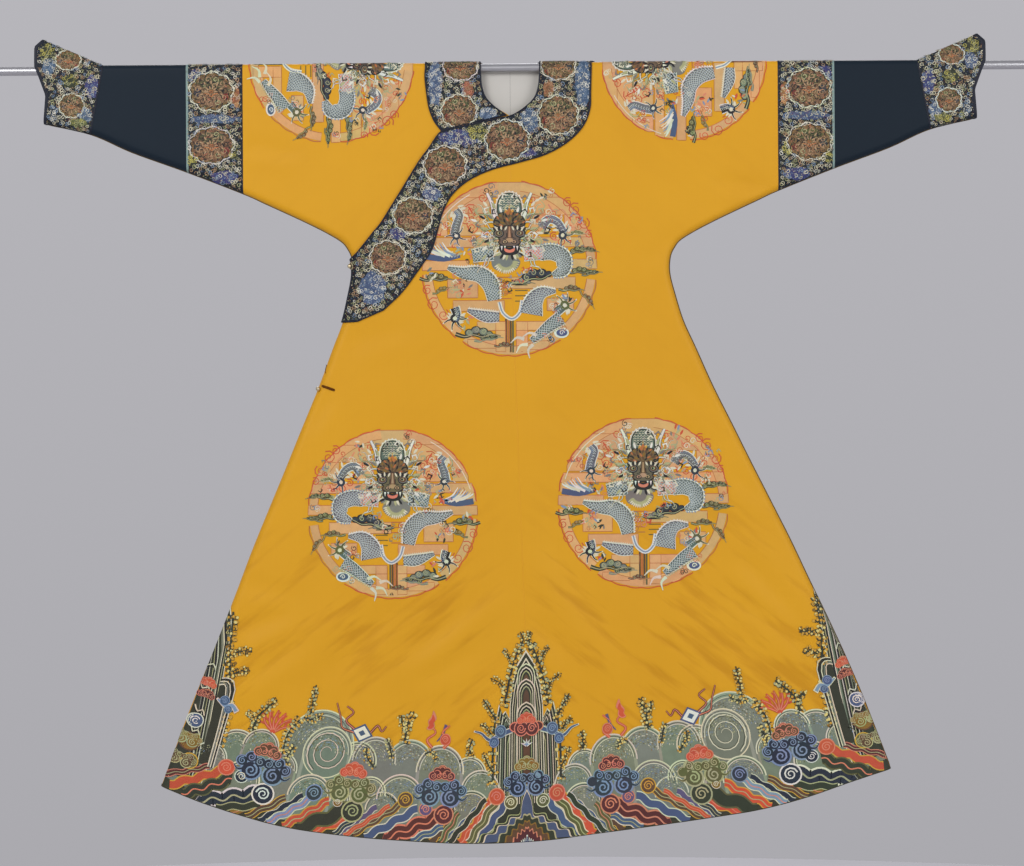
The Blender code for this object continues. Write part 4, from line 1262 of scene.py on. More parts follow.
def lobes(pen, table, colour, edge):
    """Overlapping round lobes with one pale outline and a curl in each."""
    for x, y, radius, _ in table:
        pen.oval(x, y, radius, radius * LOBE_SHAPE, edge, corners=16)
    for x, y, radius, _ in table:
        pen.up().oval(x, y, radius * LOBE_TRIM, radius * LOBE_SHAPE * LOBE_TRIM, colour, corners=16)
    for x, y, radius, hand in table:
        if hand:
            pen.up(2).curl(x, y, radius * 0.62, radius * 0.18, edge, 1.5, 100, hand, 8)


def swirl(pen, colour, edge, hand=1):
    """Round curl of radius 1."""
    pen.oval(0, 0, 1.0, 1.0, edge, corners=18)
    pen.up().oval(0, 0, 0.86, 0.86, colour, corners=18)
    pen.up(2).curl(0, 0, 0.62, 0.15, edge, 1.75, hand=hand)


CLOUD_HEAD = ((-0.62, -0.10, 0.34, -1), (0.62, -0.10, 0.34, 1), (-0.36, 0.22, 0.30, 0),
              (0.36, 0.22, 0.30, 0), (0.0, 0.34, 0.34, 0), (-0.22, -0.06, 0.30, 0),
              (0.22, -0.06, 0.30, 0))


def cloud_head(pen, colour, edge):
    """Cloud head of half width 1: round lobes with a curl in each foot."""
    lobes(pen, CLOUD_HEAD, colour, edge)
    for hand in (1, -1):
        pen.up(2).line(((hand * 0.04, 0.02), (hand * 0.16, 0.20), (hand * 0.36, 0.30),
                        (hand * 0.52, 0.22)), 0.075, edge, 0.04, 3)
        pen.up(2).curl(hand * 0.23, -0.06, 0.19, 0.07, edge, 1.3, 100, hand, 7)
    pen.up(2).ring(0.0, 0.34, 0.20, 0.06, edge, 20, 160, 8)


SCROLL_CLOUD = ((0.42, -0.16, 0.42, 1), (0.84, 0.12, 0.24, -1), (0.54, 0.34, 0.25, 1),
                (0.17, 0.24, 0.24, -1))


def scroll_cloud(pen, colour, edge):
    """Wide lower cloud of half width 1: a heap of curled lobes, with two small tails."""
    mirrored = tuple((-x, y, radius, -hand) for x, y, radius, hand in SCROLL_CLOUD)
    for hand in (1, -1):
        tail = ((hand * 0.60, -0.10), (hand * 0.90, -0.24), (hand * 1.10, -0.10))
        pen.braid(tail, (0.16, edge, 0.03), (0.10, colour, 0.02), steps=3)
    lobes(pen, SCROLL_CLOUD + mirrored, colour, edge)


def wavy(start, end, waves, height, steps=6):
    """Points of a waving line between two points."""
    start, end = np.array(start, float), np.array(end, float)
    share = np.linspace(0.0, 1.0, waves * steps + 1)
    along = end - start
    across = np.array((-along[1], along[0])) / np.linalg.norm(along)
    swing = height * np.sin(share * waves * 2 * math.pi)
    return start + share[:, None] * along + swing[:, None] * across


def stripe(pen, points, width, colour, edge, core):
    """Flowing stripe with an edging of another colour and, on some, a thin line along it."""
    pen.line(points, width, edge, steps=2)
    pen.up().line(points, width * 0.76, colour, steps=2)
    if core is not None:
        pen.up(2).line(points, width * 0.10, core, steps=2)


def leafy_twig(pen, points, width, leaves, mix):
    """Dark twig thick with small round leaves of mixed colours down both sides."""
    line = smooth_line(points, 4)
    pen.line(points, width * 1.4, MOSS, width * 0.9, 3)
    side = sideways(line)
    count = leaves * 4
    place = (np.arange(count) + 0.5) / count * (len(line) - 1)
    row = place.astype(int)
    hand = np.where(np.arange(count) % 2, 1.0, -1.0)[:, None]
    reach = width * chance.uniform(0.6, 2.6, count)[:, None]
    away = side[row] * hand
    spots = line[row] + away * reach + chance.normal(0, width * 0.35, (count, 2))
    shades = np.array(mix)[chance.integers(0, len(mix), count)]
    lie = np.degrees(np.arctan2(away[:, 1], away[:, 0]))
    pen.stamp("comma", line[row] + away * reach * 0.7, width * 2.6, MOSS, lie + 60)
    pen.stamp("bead", spots, width * 1.52, MOSS, rise=1)
    pen.stamp("bead", spots, width * 1.38, shades, rise=2)


def paw(pen, colour, edge):
    """Five-clawed paw of reach 1, facing up."""
    for angle in (-150, -78, -26, 26, 78):
        claw = pen.at(0, 0, 1, -angle)
        claw.line(((0, 0.15), (0.05, 0.55), (-0.04, 0.95)), 0.22, edge, 0.07, 3)
        claw.up().line(((0, 0.15), (0.05, 0.55), (-0.03, 0.84)), 0.13, colour, 0.05, 3)
    pen.up(2).oval(0, 0, 0.34, 0.32, colour)
    pen.up(3).oval(0, 0, 0.16, 0.14, edge, corners=8)


def flame_lick(pen, colour, edge):
    """Flame of height 1 that leans and curls."""
    shape = ((0.0, 0.0), (-0.22, 0.18), (-0.16, 0.42), (-0.28, 0.62), (-0.05, 1.0), (0.02, 0.70),
             (0.20, 0.46), (0.14, 0.24), (0.24, 0.06))
    pen.blob(shape, edge, 3)
    pen.up().blob(np.array(shape) * 0.74 + (0, 0.06), colour, 3)


# --- dragon roundel ------------------------------------------------------------------------------
BAR_REACH = 0.985         # the bars of the ground stop at this circle


def clipped_bar(low, high, left, right):
    """Corners of a level bar whose ends stop at a circle."""
    heights = np.linspace(low, high, 5)
    limit = np.sqrt(np.maximum(BAR_REACH ** 2 - heights ** 2, 0.0))
    first = np.stack([np.maximum(left, -limit), heights], 1)
    last = np.stack([np.minimum(right, limit), heights], 1)
    return np.vstack([first, last[::-1]])


# Peach bars of the ground: low, high, left and right.
GROUND_BARS = (
    (0.80, 0.97, -0.60, 0.62), (0.62, 0.80, -0.80, -0.22), (0.60, 0.80, 0.26, 0.80),
    (0.37, 0.62, -0.88, -0.70), (0.37, 0.62, -0.56, -0.28), (0.40, 0.60, 0.24, 0.42),
    (0.38, 0.60, 0.62, 0.92), (0.24, 0.35, -0.96, -0.12), (0.24, 0.35, 0.16, 0.97),
    (-0.02, 0.09, -1.0, -0.46), (-0.01, 0.10, 0.68, 1.0), (-0.23, -0.10, 0.02, 0.74),
    (-0.33, -0.12, -0.70, -0.36), (-0.48, -0.36, -0.64, -0.06), (-0.48, -0.34, 0.42, 0.72),
    (-0.70, -0.60, -0.37, -0.05), (-0.94, -0.60, -0.16, -0.05), (-0.70, -0.60, 0.07, 0.42),
    (-0.94, -0.60, 0.07, 0.20), (-0.90, -0.80, -0.48, -0.16), (-0.92, -0.82, 0.20, 0.44),
)


# Arcs of the rim, by their angles.
RIM_ARCS = ((98, 152), (160, 172), (184, 232), (237, 305), (310, 352), (6, 28), (34, 82))
# Coral curls of the ground: place, radius and hand.
GROUND_CURLS = (
    (-0.86, -0.40, 0.08, 1), (-0.75, -0.52, 0.07, -1), (-0.93, -0.24, 0.06, 1),
    (0.66, 0.74, 0.06, 1), (0.74, 0.66, 0.08, 1), (0.84, 0.50, 0.07, -1), (0.90, 0.38, 0.05, 1),
    (-0.44, 0.64, 0.09, 1), (-0.42, 0.46, 0.07, -1), (-0.50, 0.55, 0.06, -1),
    (-0.36, 0.56, 0.06, 1), (0.26, 0.78, 0.06, 1), (-0.30, 0.80, 0.06, -1), (0.50, 0.36, 0.05, 1),
    (0.58, 0.30, 0.05, -1),
)
# Thin sprigs of the ground: points and colour.
GROUND_SPRIGS = (
    (((-0.46, 0.70), (-0.40, 0.58), (-0.48, 0.50), (-0.42, 0.40)), CORAL),
    (((0.20, 0.66), (0.26, 0.56), (0.22, 0.48), (0.30, 0.42)), SALMON),
    (((0.44, 0.72), (0.50, 0.64), (0.60, 0.66), (0.66, 0.58)), SALMON),
    (((0.34, 0.62), (0.40, 0.70), (0.34, 0.78)), LIME),
    (((-0.66, 0.66), (-0.70, 0.58), (-0.64, 0.52)), LIME),
)
# Loose curls between them: middle, spread and how many.
GROUND_SCATTER = (
    (-0.44, 0.56, 0.13, 12), (0.46, 0.62, 0.14, 12), (0.30, 0.52, 0.08, 7), (-0.70, 0.50, 0.08, 6),
    (0.74, 0.46, 0.09, 7), (-0.62, -0.22, 0.10, 8), (0.58, -0.62, 0.07, 5), (-0.06, -0.24, 0.09, 6),
)
# Drifting clouds: place, half width, turn, colour and edging.
GROUND_CLOUDS = (
    (0.78, 0.19, 0.11, 8, OLIVE, MOSS), (0.90, 0.20, 0.08, -6, MOSS, OLIVE),
    (0.80, -0.04, 0.11, 0, OLIVE, MOSS), (0.93, -0.06, 0.08, 10, MOSS, OLIVE),
    (0.70, -0.24, 0.10, 0, BROWN, OLIVE), (-0.82, -0.11, 0.13, 0, OLIVE, MOSS),
    (-0.76, -0.24, 0.08, 20, OLD_GOLD, OLIVE), (0.88, -0.36, 0.09, -50, BROWN, OLD_GOLD),
    (0.76, 0.39, 0.08, 0, OLIVE, LIME), (-0.06, -0.87, 0.08, 0, BROWN, MAROON),
    (0.30, -0.10, 0.19, 12, SLATE, INK), (0.14, -0.16, 0.10, 0, STEEL, SLATE),
    (-0.36, -0.74, 0.17, 0, SEA, MOSS), (-0.24, -0.79, 0.11, 8, MOSS, SEA),
)


def roundel_ground(pen):
    """Peach bars and rim of the roundel, outlined on the yellow silk."""
    for low, high, left, right in GROUND_BARS:
        outline = clipped_bar(low, high, left, right)
        pen.fill(outline, PEACH)
        ring = np.vstack([outline, outline[:1]])
        side = sideways(ring) * 0.0035
        pen.up().strip(ring + side, ring - side, RUST)
    for start, end in RIM_ARCS:
        pen.up().ring(0, 0, 0.925, 0.095, PEACH, start, end, 16)
        angle = np.radians(np.linspace(start, end, 33))
        ripple = 0.980 + 0.012 * np.abs(np.sin(np.linspace(0, (end - start) * 0.30, 33)))
        spokes = around(angle) * ripple[:, None]
        pen.up(2).strip(spokes * 0.995, spokes * 1.006, CORAL if start < 240 else RUST)
        pen.up(2).ring(0, 0, 0.878, 0.007, RUST, start, end, 14)
    for x, y, size, hand in GROUND_CURLS:
        pen.up(2).curl(x, y, size, 0.012, CORAL, 1.5, 60, hand, 8)
    for spots, colour in GROUND_SPRIGS:
        pen.up(2).line(spots, 0.016, colour, 0.008, 3)
    pen.up(3).ring(0, 0, 0.945, 0.010, CREAM, 118, 163, 16)
    for x, y, reach, count in GROUND_SCATTER:
        spots = chance.normal((x, y), reach * 0.5, (count, 2))
        shades = np.array((CORAL, SALMON, LIME, CREAM, RUST))
        pen.stamp("curl", spots, chance.uniform(0.05, 0.085, count),
                  shades[chance.integers(0, 5, count)], rise=4)
    for step in range(4):
        pen.up().line(((-0.045 + 0.026 * step, -0.57), (-0.045 + 0.026 * step, -0.95)), 0.020,
                      (BROWN, RUST, BROWN, OLIVE)[step], steps=1)
    for level in (-0.10, -0.16, -0.22, -0.28, -0.34):
        pen.up().line(((-0.16, level), (0.02, level)), 0.010, RUST, steps=1)
        pen.up().line(((0.06, level - 0.03), (0.20, level - 0.03)), 0.010, OLIVE, steps=1)


def small_cloud(pen, colour, edge):
    """Little drifting cloud of half width 1: curled lobes on a wavy tail, with pale lines."""
    tail = ((-1.5, 0.02), (-0.9, -0.16), (-0.3, -0.04), (0.3, -0.18), (0.9, -0.02), (1.5, -0.14))
    pen.line(tail, 0.30, edge, 0.08, 3)
    for x, y, size in ((-0.58, 0.10, 0.32), (-0.14, 0.26, 0.34), (0.34, 0.16, 0.34),
                       (0.74, 0.02, 0.24)):
        pen.oval(x, y, size, size * 0.82, edge, corners=12)
        pen.up().oval(x, y, size * 0.76, size * 0.60, colour, corners=12)
    pen.up(2).line(tail, 0.06, LIME, 0.03, 3)
    for x, y, hand in ((-0.56, 0.10, 1), (0.34, 0.18, -1), (-0.12, 0.30, -1)):
        pen.up(2).curl(x, y, 0.18, 0.050, LIME, 1.3, 90, hand, 7)


def body_places(middle, side, wide, count):
    """Evenly spaced places along a body, each with its sideways direction and half width."""
    length = np.concatenate([[0], np.cumsum(np.linalg.norm(np.diff(middle, axis=0), axis=1))])
    reach = (np.arange(count) + 0.5) / count * length[-1]
    columns = [np.interp(reach, length, column) for column in (*middle.T, *side.T, wide)]
    return np.stack(columns[:2], 1), np.stack(columns[2:4], 1), columns[4]


def scaled_body(pen, points, widths, colour, ridge, ridge_side):
    """Length of the dragon's body: scaled, with a toothed ridge down one side."""
    middle = smooth_line(points, 6)
    wide = smooth_line([(value, 0.0) for value in widths], 6)[:, 0] / 2
    side = sideways(middle) * ridge_side
    pen.strip(middle + side * (wide + 0.016)[:, None], middle - side * (wide + 0.008)[:, None],
              WHITE)
    pen.up().strip(middle + side * wide[:, None], middle - side * wide[:, None], colour)
    span = float(np.linalg.norm(np.diff(middle, axis=0), axis=1).sum())
    spots, spokes, reach = body_places(middle, side, wide, max(int(span / TOOTH_PITCH), 2))
    pen.stamp("tooth", spots + spokes * (reach + 0.010)[:, None], 0.030, ridge,
              np.degrees(np.arctan2(spokes[:, 1], spokes[:, 0])), rise=3)
    for hand in (1, -1):
        rim = middle + hand * side * wide[:, None]
        pen.up(2).strip(rim, rim - hand * side * 0.006, SLATE)
    scale_rows(pen.up(3), middle, side, wide, span)


SCALE_PITCH = 0.036       # spacing of the scales on a dragon
TOOTH_PITCH = 0.026       # and of the teeth on its ridge


def scale_rows(pen, middle, side, wide, span):
    """Lattice of pale scales along a body: staggered rows half a scale apart, a dot in each."""
    spots, spokes, reach = body_places(middle, side, wide, max(int(span / (SCALE_PITCH * 0.5)), 2))
    places, turns, sizes = [], [], []
    for k, (spot, spoke, half) in enumerate(zip(spots, spokes, reach)):
        count = max(round(2 * half / SCALE_PITCH), 2)
        across = 2 * half / count
        angle = math.degrees(math.atan2(-spoke[0], spoke[1]))
        for j in range(count - k % 2):
            places.append(spot + spoke * ((j + 0.5 + 0.5 * (k % 2)) * across - half))
            turns.append(angle)
            sizes.append(across)
    turns, sizes = np.array(turns), np.array(sizes)
    pen.stamp("scale", places, sizes, SCALE_EDGE, turns)
    pen.up().stamp("bead", places, sizes * 0.24, SKY, turns)


# Lengths of the dragon's body: layers up, points, widths, colour, ridge and the ridge's side.
TAIL = (((0.58, -0.56), (0.46, -0.64), (0.34, -0.74), (0.24, -0.82)), (0.15, 0.13, 0.10, 0.06),
        SCALE_GREEN, LIME, 1)
COILS = (
    (0, ((-0.48, -0.47), (-0.28, -0.54), (-0.12, -0.55)), (0.03, 0.12, 0.10), SCALE_GREY, CREAM, 1),
    (0, ((-0.70, 0.01), (-0.52, -0.05), (-0.34, -0.07), (-0.22, -0.18), (-0.18, -0.36)),
     (0.03, 0.12, 0.17, 0.18, 0.13), SCALE_GREY, WHITE, 1),
    (0, ((0.52, -0.26), (0.36, -0.28), (0.27, -0.38), (0.24, -0.52)), (0.03, 0.13, 0.20, 0.25),
     SCALE_GREY, WHITE, -1),
    (1, ((0.34, 0.17), (0.48, 0.18), (0.60, 0.12), (0.60, -0.02), (0.48, -0.08)),
     (0.16, 0.17, 0.17, 0.14, 0.04), SCALE_GREY, SKY, 1),
    (1, ((-0.42, 0.14), (-0.30, 0.16), (-0.18, 0.17)), (0.13, 0.15, 0.15), SCALE_GREEN, LIME, 1),
    (1, ((0.16, 0.16), (0.27, 0.17), (0.38, 0.17)), (0.15, 0.15, 0.14), SALMON, CREAM, 1),
)
# Legs: points and colour.  Paws: place, turn, reach and colour.
LEGS = (
    (((-0.62, 0.36), (-0.60, 0.48), (-0.56, 0.60), (-0.60, 0.66)), SCALE_GREY),
    (((0.36, 0.46), (0.44, 0.55), (0.54, 0.52), (0.62, 0.40)), SCALE_GREY),
    (((-0.62, -0.44), (-0.60, -0.52), (-0.62, -0.58)), INK),
    (((0.52, -0.50), (0.60, -0.44), (0.63, -0.42)), SCALE_GREEN),
)
PAWS = ((-0.62, -0.56, 190, 0.16, INK), (0.62, -0.42, -40, 0.16, OLIVE),
        (0.60, 0.37, -110, 0.15, SLATE), (-0.60, 0.37, 170, 0.14, SLATE))


def dragon_body(pen):
    """Coils, legs, paws and tail."""
    tail = pen.up(2)
    scaled_body(tail, *TAIL)
    for x, y, turn in ((0.20, -0.86, 120), (0.26, -0.86, 160), (0.30, -0.76, 90),
                       (0.16, -0.80, 100)):
        tail.up(4).at(x, y, 0.16, turn).line(((0, 0), (0.2, 0.5), (-0.1, 1.0)), 0.26, CREAM,
                                             0.06, 3)
    body = pen.up(3)
    for rise, *length in COILS:
        scaled_body(body.up(rise), *length)
    ridge = ((-0.12, -0.38), (-0.08, -0.50), (0.02, -0.57), (0.11, -0.50), (0.14, -0.36))
    body.up().braid(ridge, (0.045, WHITE, 0.045), (0.016, SKY, 0.016))
    body.up().blob(((-0.20, 0.10), (-0.10, 0.16), (0.02, 0.14), (0.12, 0.08), (0.06, -0.02),
                    (-0.08, -0.03), (-0.18, 0.0)), STEEL)
    for k in range(15):
        turn = -150 + 10 * k
        away = np.array((math.cos(math.radians(turn)), math.sin(math.radians(turn))))
        for reach, size, colour in ((0.11, 0.075, LIME), (0.13, 0.050, CREAM)):
            body.stamp("leaf", [(-0.04 + away[0] * reach, 0.09 + away[1] * reach)], size,
                       colour, turn, 3)
    for spots, colour in LEGS:
        body.braid(spots, (0.12, WHITE, 0.09), (0.100, colour, 0.07), steps=3)
        leg = smooth_line(spots, 4)
        side = sideways(leg)
        body.stamp("scale", leg, 0.034, SCALE_EDGE, 90.0, 3)
        body.stamp("scale", leg + side * 0.025, 0.030, SKY, 90.0, 3)
        for k in (-1, -3, -5):
            for hand in (1, -1):
                away = math.degrees(math.atan2(hand * side[k][1], hand * side[k][0]))
                body.stamp("leaf", [leg[k] + hand * side[k] * 0.070], 0.080, CREAM,
                           away + 30 * hand, 1)
    for x, y, turn, size, colour in PAWS:
        paw(body.at(x, y, size, turn, rise=1), colour, CREAM)
    fin = body.at(-0.74, 0.20)
    for k in range(7):
        fin.up(k % 2).line(((0.16 - 0.03 * k, -0.06), (0.05 - 0.035 * k, 0.0),
                            (-0.02 - 0.03 * k, 0.10 - 0.012 * k)), 0.035,
                           (WHITE, SKY, CREAM)[k % 3], 0.008, 3)
    fin.line(((-0.20, -0.06), (0.0, -0.09), (0.18, -0.05)), 0.07, BLUE, 0.05, 3)


SKULL = linear(112, 92, 68)
MUZZLE = linear(110, 96, 76)


def dragon_mane(mane):
    """Wavy locks, horns and whiskers on both sides of the head."""
    for half in mane.halves():
        for k in range(30):
            turn = -60 + 5.6 * k
            reach = 0.25 + 0.07 * (k % 3)
            away = (reach * math.cos(math.radians(turn)) + 0.03,
                    0.42 + reach * math.sin(math.radians(turn)))
            half.up(3).stamp("comma" if k % 2 else "leaf", [away], 0.085,
                             (CREAM, INK, LIME, STEEL, WHITE)[k % 5], turn, 1)
        for k in range(13):
            lift = 0.72 - 0.064 * k
            line = wavy((0.11, 0.50 - 0.024 * k), (0.36 + 0.03 * math.sin(k * 2.1), lift), 2,
                        0.020 * (1 if k % 2 else -1), 5)
            half.braid(line, (0.030, (OLIVE, MOSS, STEEL)[k % 3], 0.008),
                       (0.014, (CREAM, LIME, WHITE)[k % 3], 0.005), steps=2)
        horn = ((0.12, 0.54), (0.17, 0.62), (0.19, 0.72), (0.25, 0.85))
        half.up(2).braid(horn, (0.082, STEEL, 0.034), (0.066, WHITE, 0.022))
        half.up(4).line(((0.13, 0.57), (0.175, 0.66), (0.20, 0.75)), 0.009, OLIVE, 0.006, 3)
        half.up(2).line(((0.10, 0.48), (0.20, 0.58), (0.24, 0.66), (0.20, 0.72)), 0.024, LIME,
                        0.008, 4)
        half.line(((0.14, 0.30), (0.24, 0.28), (0.30, 0.33), (0.40, 0.29)), 0.018, LIME, 0.006, 4)
        half.line(((0.12, 0.26), (0.20, 0.22), (0.26, 0.24), (0.32, 0.20)), 0.016, CREAM, 0.006, 4)


CREST_ARCH = ((-0.140, 0.60), (-0.155, 0.72), (-0.115, 0.82), (-0.04, 0.865), (0.04, 0.865),
              (0.115, 0.82), (0.155, 0.72), (0.140, 0.60), (0.0, 0.56))
SKULL_DOME = ((-0.165, 0.475), (-0.175, 0.55), (-0.115, 0.625), (-0.05, 0.635), (0.0, 0.66),
              (0.05, 0.635), (0.115, 0.625), (0.175, 0.55), (0.165, 0.475), (0.0, 0.455))
FACE_SHAPE = ((-0.10, 0.47), (-0.175, 0.42), (-0.170, 0.37), (-0.115, 0.325), (-0.130, 0.285),
              (-0.075, 0.245), (0.0, 0.238), (0.075, 0.245), (0.130, 0.285), (0.115, 0.325),
              (0.170, 0.37), (0.175, 0.42), (0.10, 0.47), (0.0, 0.49))
JAW_SHAPE = ((-0.105, 0.262), (-0.112, 0.20), (-0.06, 0.152), (0.06, 0.152), (0.112, 0.20),
             (0.105, 0.262), (0.0, 0.232))


def shrunk(shape, share):
    """Shape drawn smaller about its own middle."""
    corners = np.array(shape)
    middle = (corners.min(0) + corners.max(0)) / 2
    return middle + (corners - middle) * share


def dragon_crest(crest):
    """Scaled arch over the brow, with a small crown."""
    crest.blob(CREST_ARCH, CREAM)
    crest.up().blob(shrunk(CREST_ARCH, 0.90), MOSS)
    crest.up(2).blob(shrunk(CREST_ARCH, 0.82), SCALE_GREEN)
    spots = [((k - (count - 1) / 2) * 0.038, row) for row, count in
             ((0.825, 4), (0.798, 5), (0.771, 6), (0.744, 6), (0.717, 6), (0.690, 6), (0.663, 5))
             for k in range(count)]
    crest.stamp("scale", spots, 0.032, CREAM, 90.0, 3)
    rim = smooth_line(CREST_ARCH[:-1], 4)
    crest.stamp("bead", rim[::2], 0.018, WHITE, 0.0, 4)
    crest.up(3).at(0.0, 0.61, 0.11).blob(((-0.45, 0), (-0.35, 0.55), (-0.1, 0.4), (0, 1.0),
                                          (0.1, 0.4), (0.35, 0.55), (0.45, 0)), GOLD)
    crest.up(4).at(0.0, 0.61, 0.07).blob(((-0.45, 0), (0, 1.0), (0.45, 0)), RUST)


def skull_locks(pen):
    """Short locks of hair over the dome of the skull."""
    for row, (reach, count, size) in enumerate(((0.06, 5, 0.060), (0.105, 8, 0.062),
                                                (0.150, 11, 0.058), (0.185, 12, 0.046))):
        for k in range(count):
            turn = 14 + 152 * (k + 0.5 * (row % 2)) / (count - 1 + 0.5 * (row % 2))
            away = math.radians(turn)
            spot = (0.93 * reach * math.cos(away), 0.462 + 0.90 * reach * math.sin(away))
            shade = (BROWN, OLD_GOLD, INK, RUST, BROWN, INK)[(2 * k + row) % 6]
            pen.stamp("leaf", [spot], size, shade, turn + 14 * (-1) ** k, row)


def dragon_eye(half):
    """Round staring eye on one side, with its pouch, brow and cheek curls."""
    half.oval(0.122, 0.395, 0.062, 0.052, INK, corners=16)
    half.up().oval(0.120, 0.395, 0.048, 0.038, STEEL, corners=14)
    half.up(2).oval(0.118, 0.396, 0.041, 0.032, BROWN, corners=12)
    half.up(3).oval(0.114, 0.397, 0.022, 0.017, LIME, corners=10)
    half.up(4).oval(0.110, 0.397, 0.013, 0.014, INK, corners=8)
    for k in range(6):
        half.up(2).stamp("leaf", [(0.04 + 0.026 * k, 0.452 + 0.009 * math.sin(1.1 * k))], 0.058,
                         (CREAM, INK)[k % 2], 118 - 15 * k, 3)
    for x, y, turn in ((0.178, 0.360, -30), (0.170, 0.315, -60), (0.152, 0.270, -80)):
        half.up().stamp("curl", [(x, y)], 0.062, STEEL, turn, 1)
        half.up().stamp("comma", [(x + 0.035, y + 0.01)], 0.060, CREAM, turn + 30, 2)


def dragon_head(pen):
    """Head seen from the front: mane, horns, crest, brows, eyes, muzzle, jaw and beard."""
    mane = pen.up(5)
    dragon_mane(mane)
    dragon_crest(mane.up(2))
    face = mane.up(4)
    face.blob(SKULL_DOME, INK)
    face.up().blob(shrunk(SKULL_DOME, 0.90), SKULL)
    skull_locks(face.up(2))
    face.up().blob(FACE_SHAPE, INK)
    face.up(2).blob(shrunk(FACE_SHAPE, 0.88), MUZZLE)
    face.up(3).line(((0.0, 0.48), (0.0, 0.40), (0.0, 0.34)), 0.034, BROWN, 0.060, 3)
    face.up(4).line(((0.0, 0.47), (0.0, 0.40), (0.0, 0.35)), 0.014, TAN, 0.030, 3)
    face.up(4).oval(0.0, 0.318, 0.040, 0.026, TAN, corners=12)
    for half in face.up(3).halves():
        dragon_eye(half)
        half.up().oval(0.052, 0.298, 0.034, 0.026, INK, corners=12)
        half.up(2).oval(0.052, 0.300, 0.025, 0.018, TAN, corners=10)
        half.up(3).oval(0.050, 0.298, 0.012, 0.010, INK, corners=8)
        half.line(((0.030, 0.40), (0.036, 0.35), (0.075, 0.335)), 0.010, INK, 0.006, 3)
        half.line(((0.095, 0.315), (0.118, 0.290), (0.110, 0.262)), 0.010, BROWN, 0.006, 3)
    jaw = face.up(5)
    jaw.blob(JAW_SHAPE, INK)
    jaw.up().blob(((-0.058, 0.226), (-0.048, 0.19), (0.0, 0.176), (0.048, 0.19), (0.058, 0.226),
                   (0.0, 0.208)), SALMON)
    for x, low in ((-0.088, 0.198), (-0.052, 0.222), (0.052, 0.222), (0.088, 0.198)):
        jaw.up(2).fill(((x - 0.012, 0.252), (x + 0.012, 0.252), (x, low)), WHITE)
    for k in range(13):
        turn = -168 + 13 * k
        away = math.radians(turn)
        spot = (0.135 * math.cos(away), 0.185 + 0.060 * math.sin(away))
        jaw.stamp("leaf", [spot], 0.085, (CREAM, LIME, STEEL, INK)[k % 4], turn, -1)


FLOSS_KNOTS = (
    (-0.62, 0.20, 0.10, 9), (-0.52, 0.16, 0.10, 9), (-0.40, 0.02, 0.12, 8), (-0.60, -0.16, 0.12, 10),
    (-0.52, -0.24, 0.10, 8), (-0.10, -0.16, 0.08, 8), (0.06, -0.18, 0.10, 8), (0.60, -0.36, 0.10, 8),
    (0.50, -0.44, 0.10, 8), (0.10, 0.30, 0.10, 6), (-0.24, 0.36, 0.10, 10), (0.26, 0.34, 0.10, 10),
    (0.72, 0.28, 0.10, 8), (0.42, 0.40, 0.12, 10), (-0.40, 0.32, 0.10, 8), (0.20, -0.04, 0.10, 8),
    (-0.50, -0.62, 0.10, 8), (0.46, -0.76, 0.08, 6), (-0.78, 0.48, 0.08, 6), (0.40, 0.80, 0.10, 8),
    (-0.20, 0.88, 0.10, 6), (0.78, 0.56, 0.08, 7), (-0.88, -0.06, 0.08, 6), (0.88, 0.06, 0.06, 5),
)


def floss_knots(pen):
    """Small flames and sprays that fill the gaps between the bars."""
    shades = np.array((CREAM, LIME, SKY, CORAL, STEEL, SALMON, MOSS))
    for row, (x, y, reach, count) in enumerate(FLOSS_KNOTS):
        spots = chance.normal((x, y), reach * 0.42, (count, 2))
        pen.stamp(("comma", "leaf", "curl")[row % 3], spots, chance.uniform(0.045, 0.085, count),
                  shades[chance.integers(0, 7, count)], chance.uniform(0, 360, count), rise=4)


def roundel(pen):
    """Dragon roundel of radius 1."""
    roundel_ground(pen)
    floss_knots(pen)
    for x, y, size, turn, colour, edge in GROUND_CLOUDS:
        small_cloud(pen.at(x, y, size, turn, rise=2), colour, edge)
    pearl = pen.at(0.58, -0.73, 0.085, rise=3)
    pearl.oval(0, 0, 1.0, 0.72, WHITE)
    pearl.up().oval(0.05, 0, 0.74, 0.48, BLUE)
    pearl.up(2).curl(0.05, 0.0, 0.36, 0.14, WHITE, 1.2)
    dragon_body(pen)
    dragon_head(pen)


# --- hem border, in metres along the hem from its middle and up from it ---------------------------
SEAM_INSET = 0.0012       # needlework stops this far from the sewn edge and the hem
BORDER_SPREAD = 0.575     # the border narrows by this share for each metre over the hem


def border_warp(facing):
    """Place border points on the front (1) or the back (-1)."""
    limits = {side: SEAM_LINES[side][len(UNDER_SLEEVE) * SEAM_STEPS:] for side in (1, -1)}

    def warp(flat):
        along, high = flat[:, 0] * facing, np.maximum(flat[:, 1], SEAM_INSET)
        spread = along * (1.0 - BORDER_SPREAD * high)
        drop = np.full(len(flat), HEM_MIDDLE)
        for _ in range(4):
            x = lean(drop) + spread
            drop = np.interp(x, HEM[:, 0], HEM[:, 1]) - high
        right = np.interp(drop, limits[1][:, 1], limits[1][:, 0])
        left = np.interp(drop, limits[-1][:, 1], limits[-1][:, 0])
        x = np.clip(x, left + SEAM_INSET, right - SEAM_INSET)
        return np.stack([x, -facing * to_run(drop)], 1)
    return warp


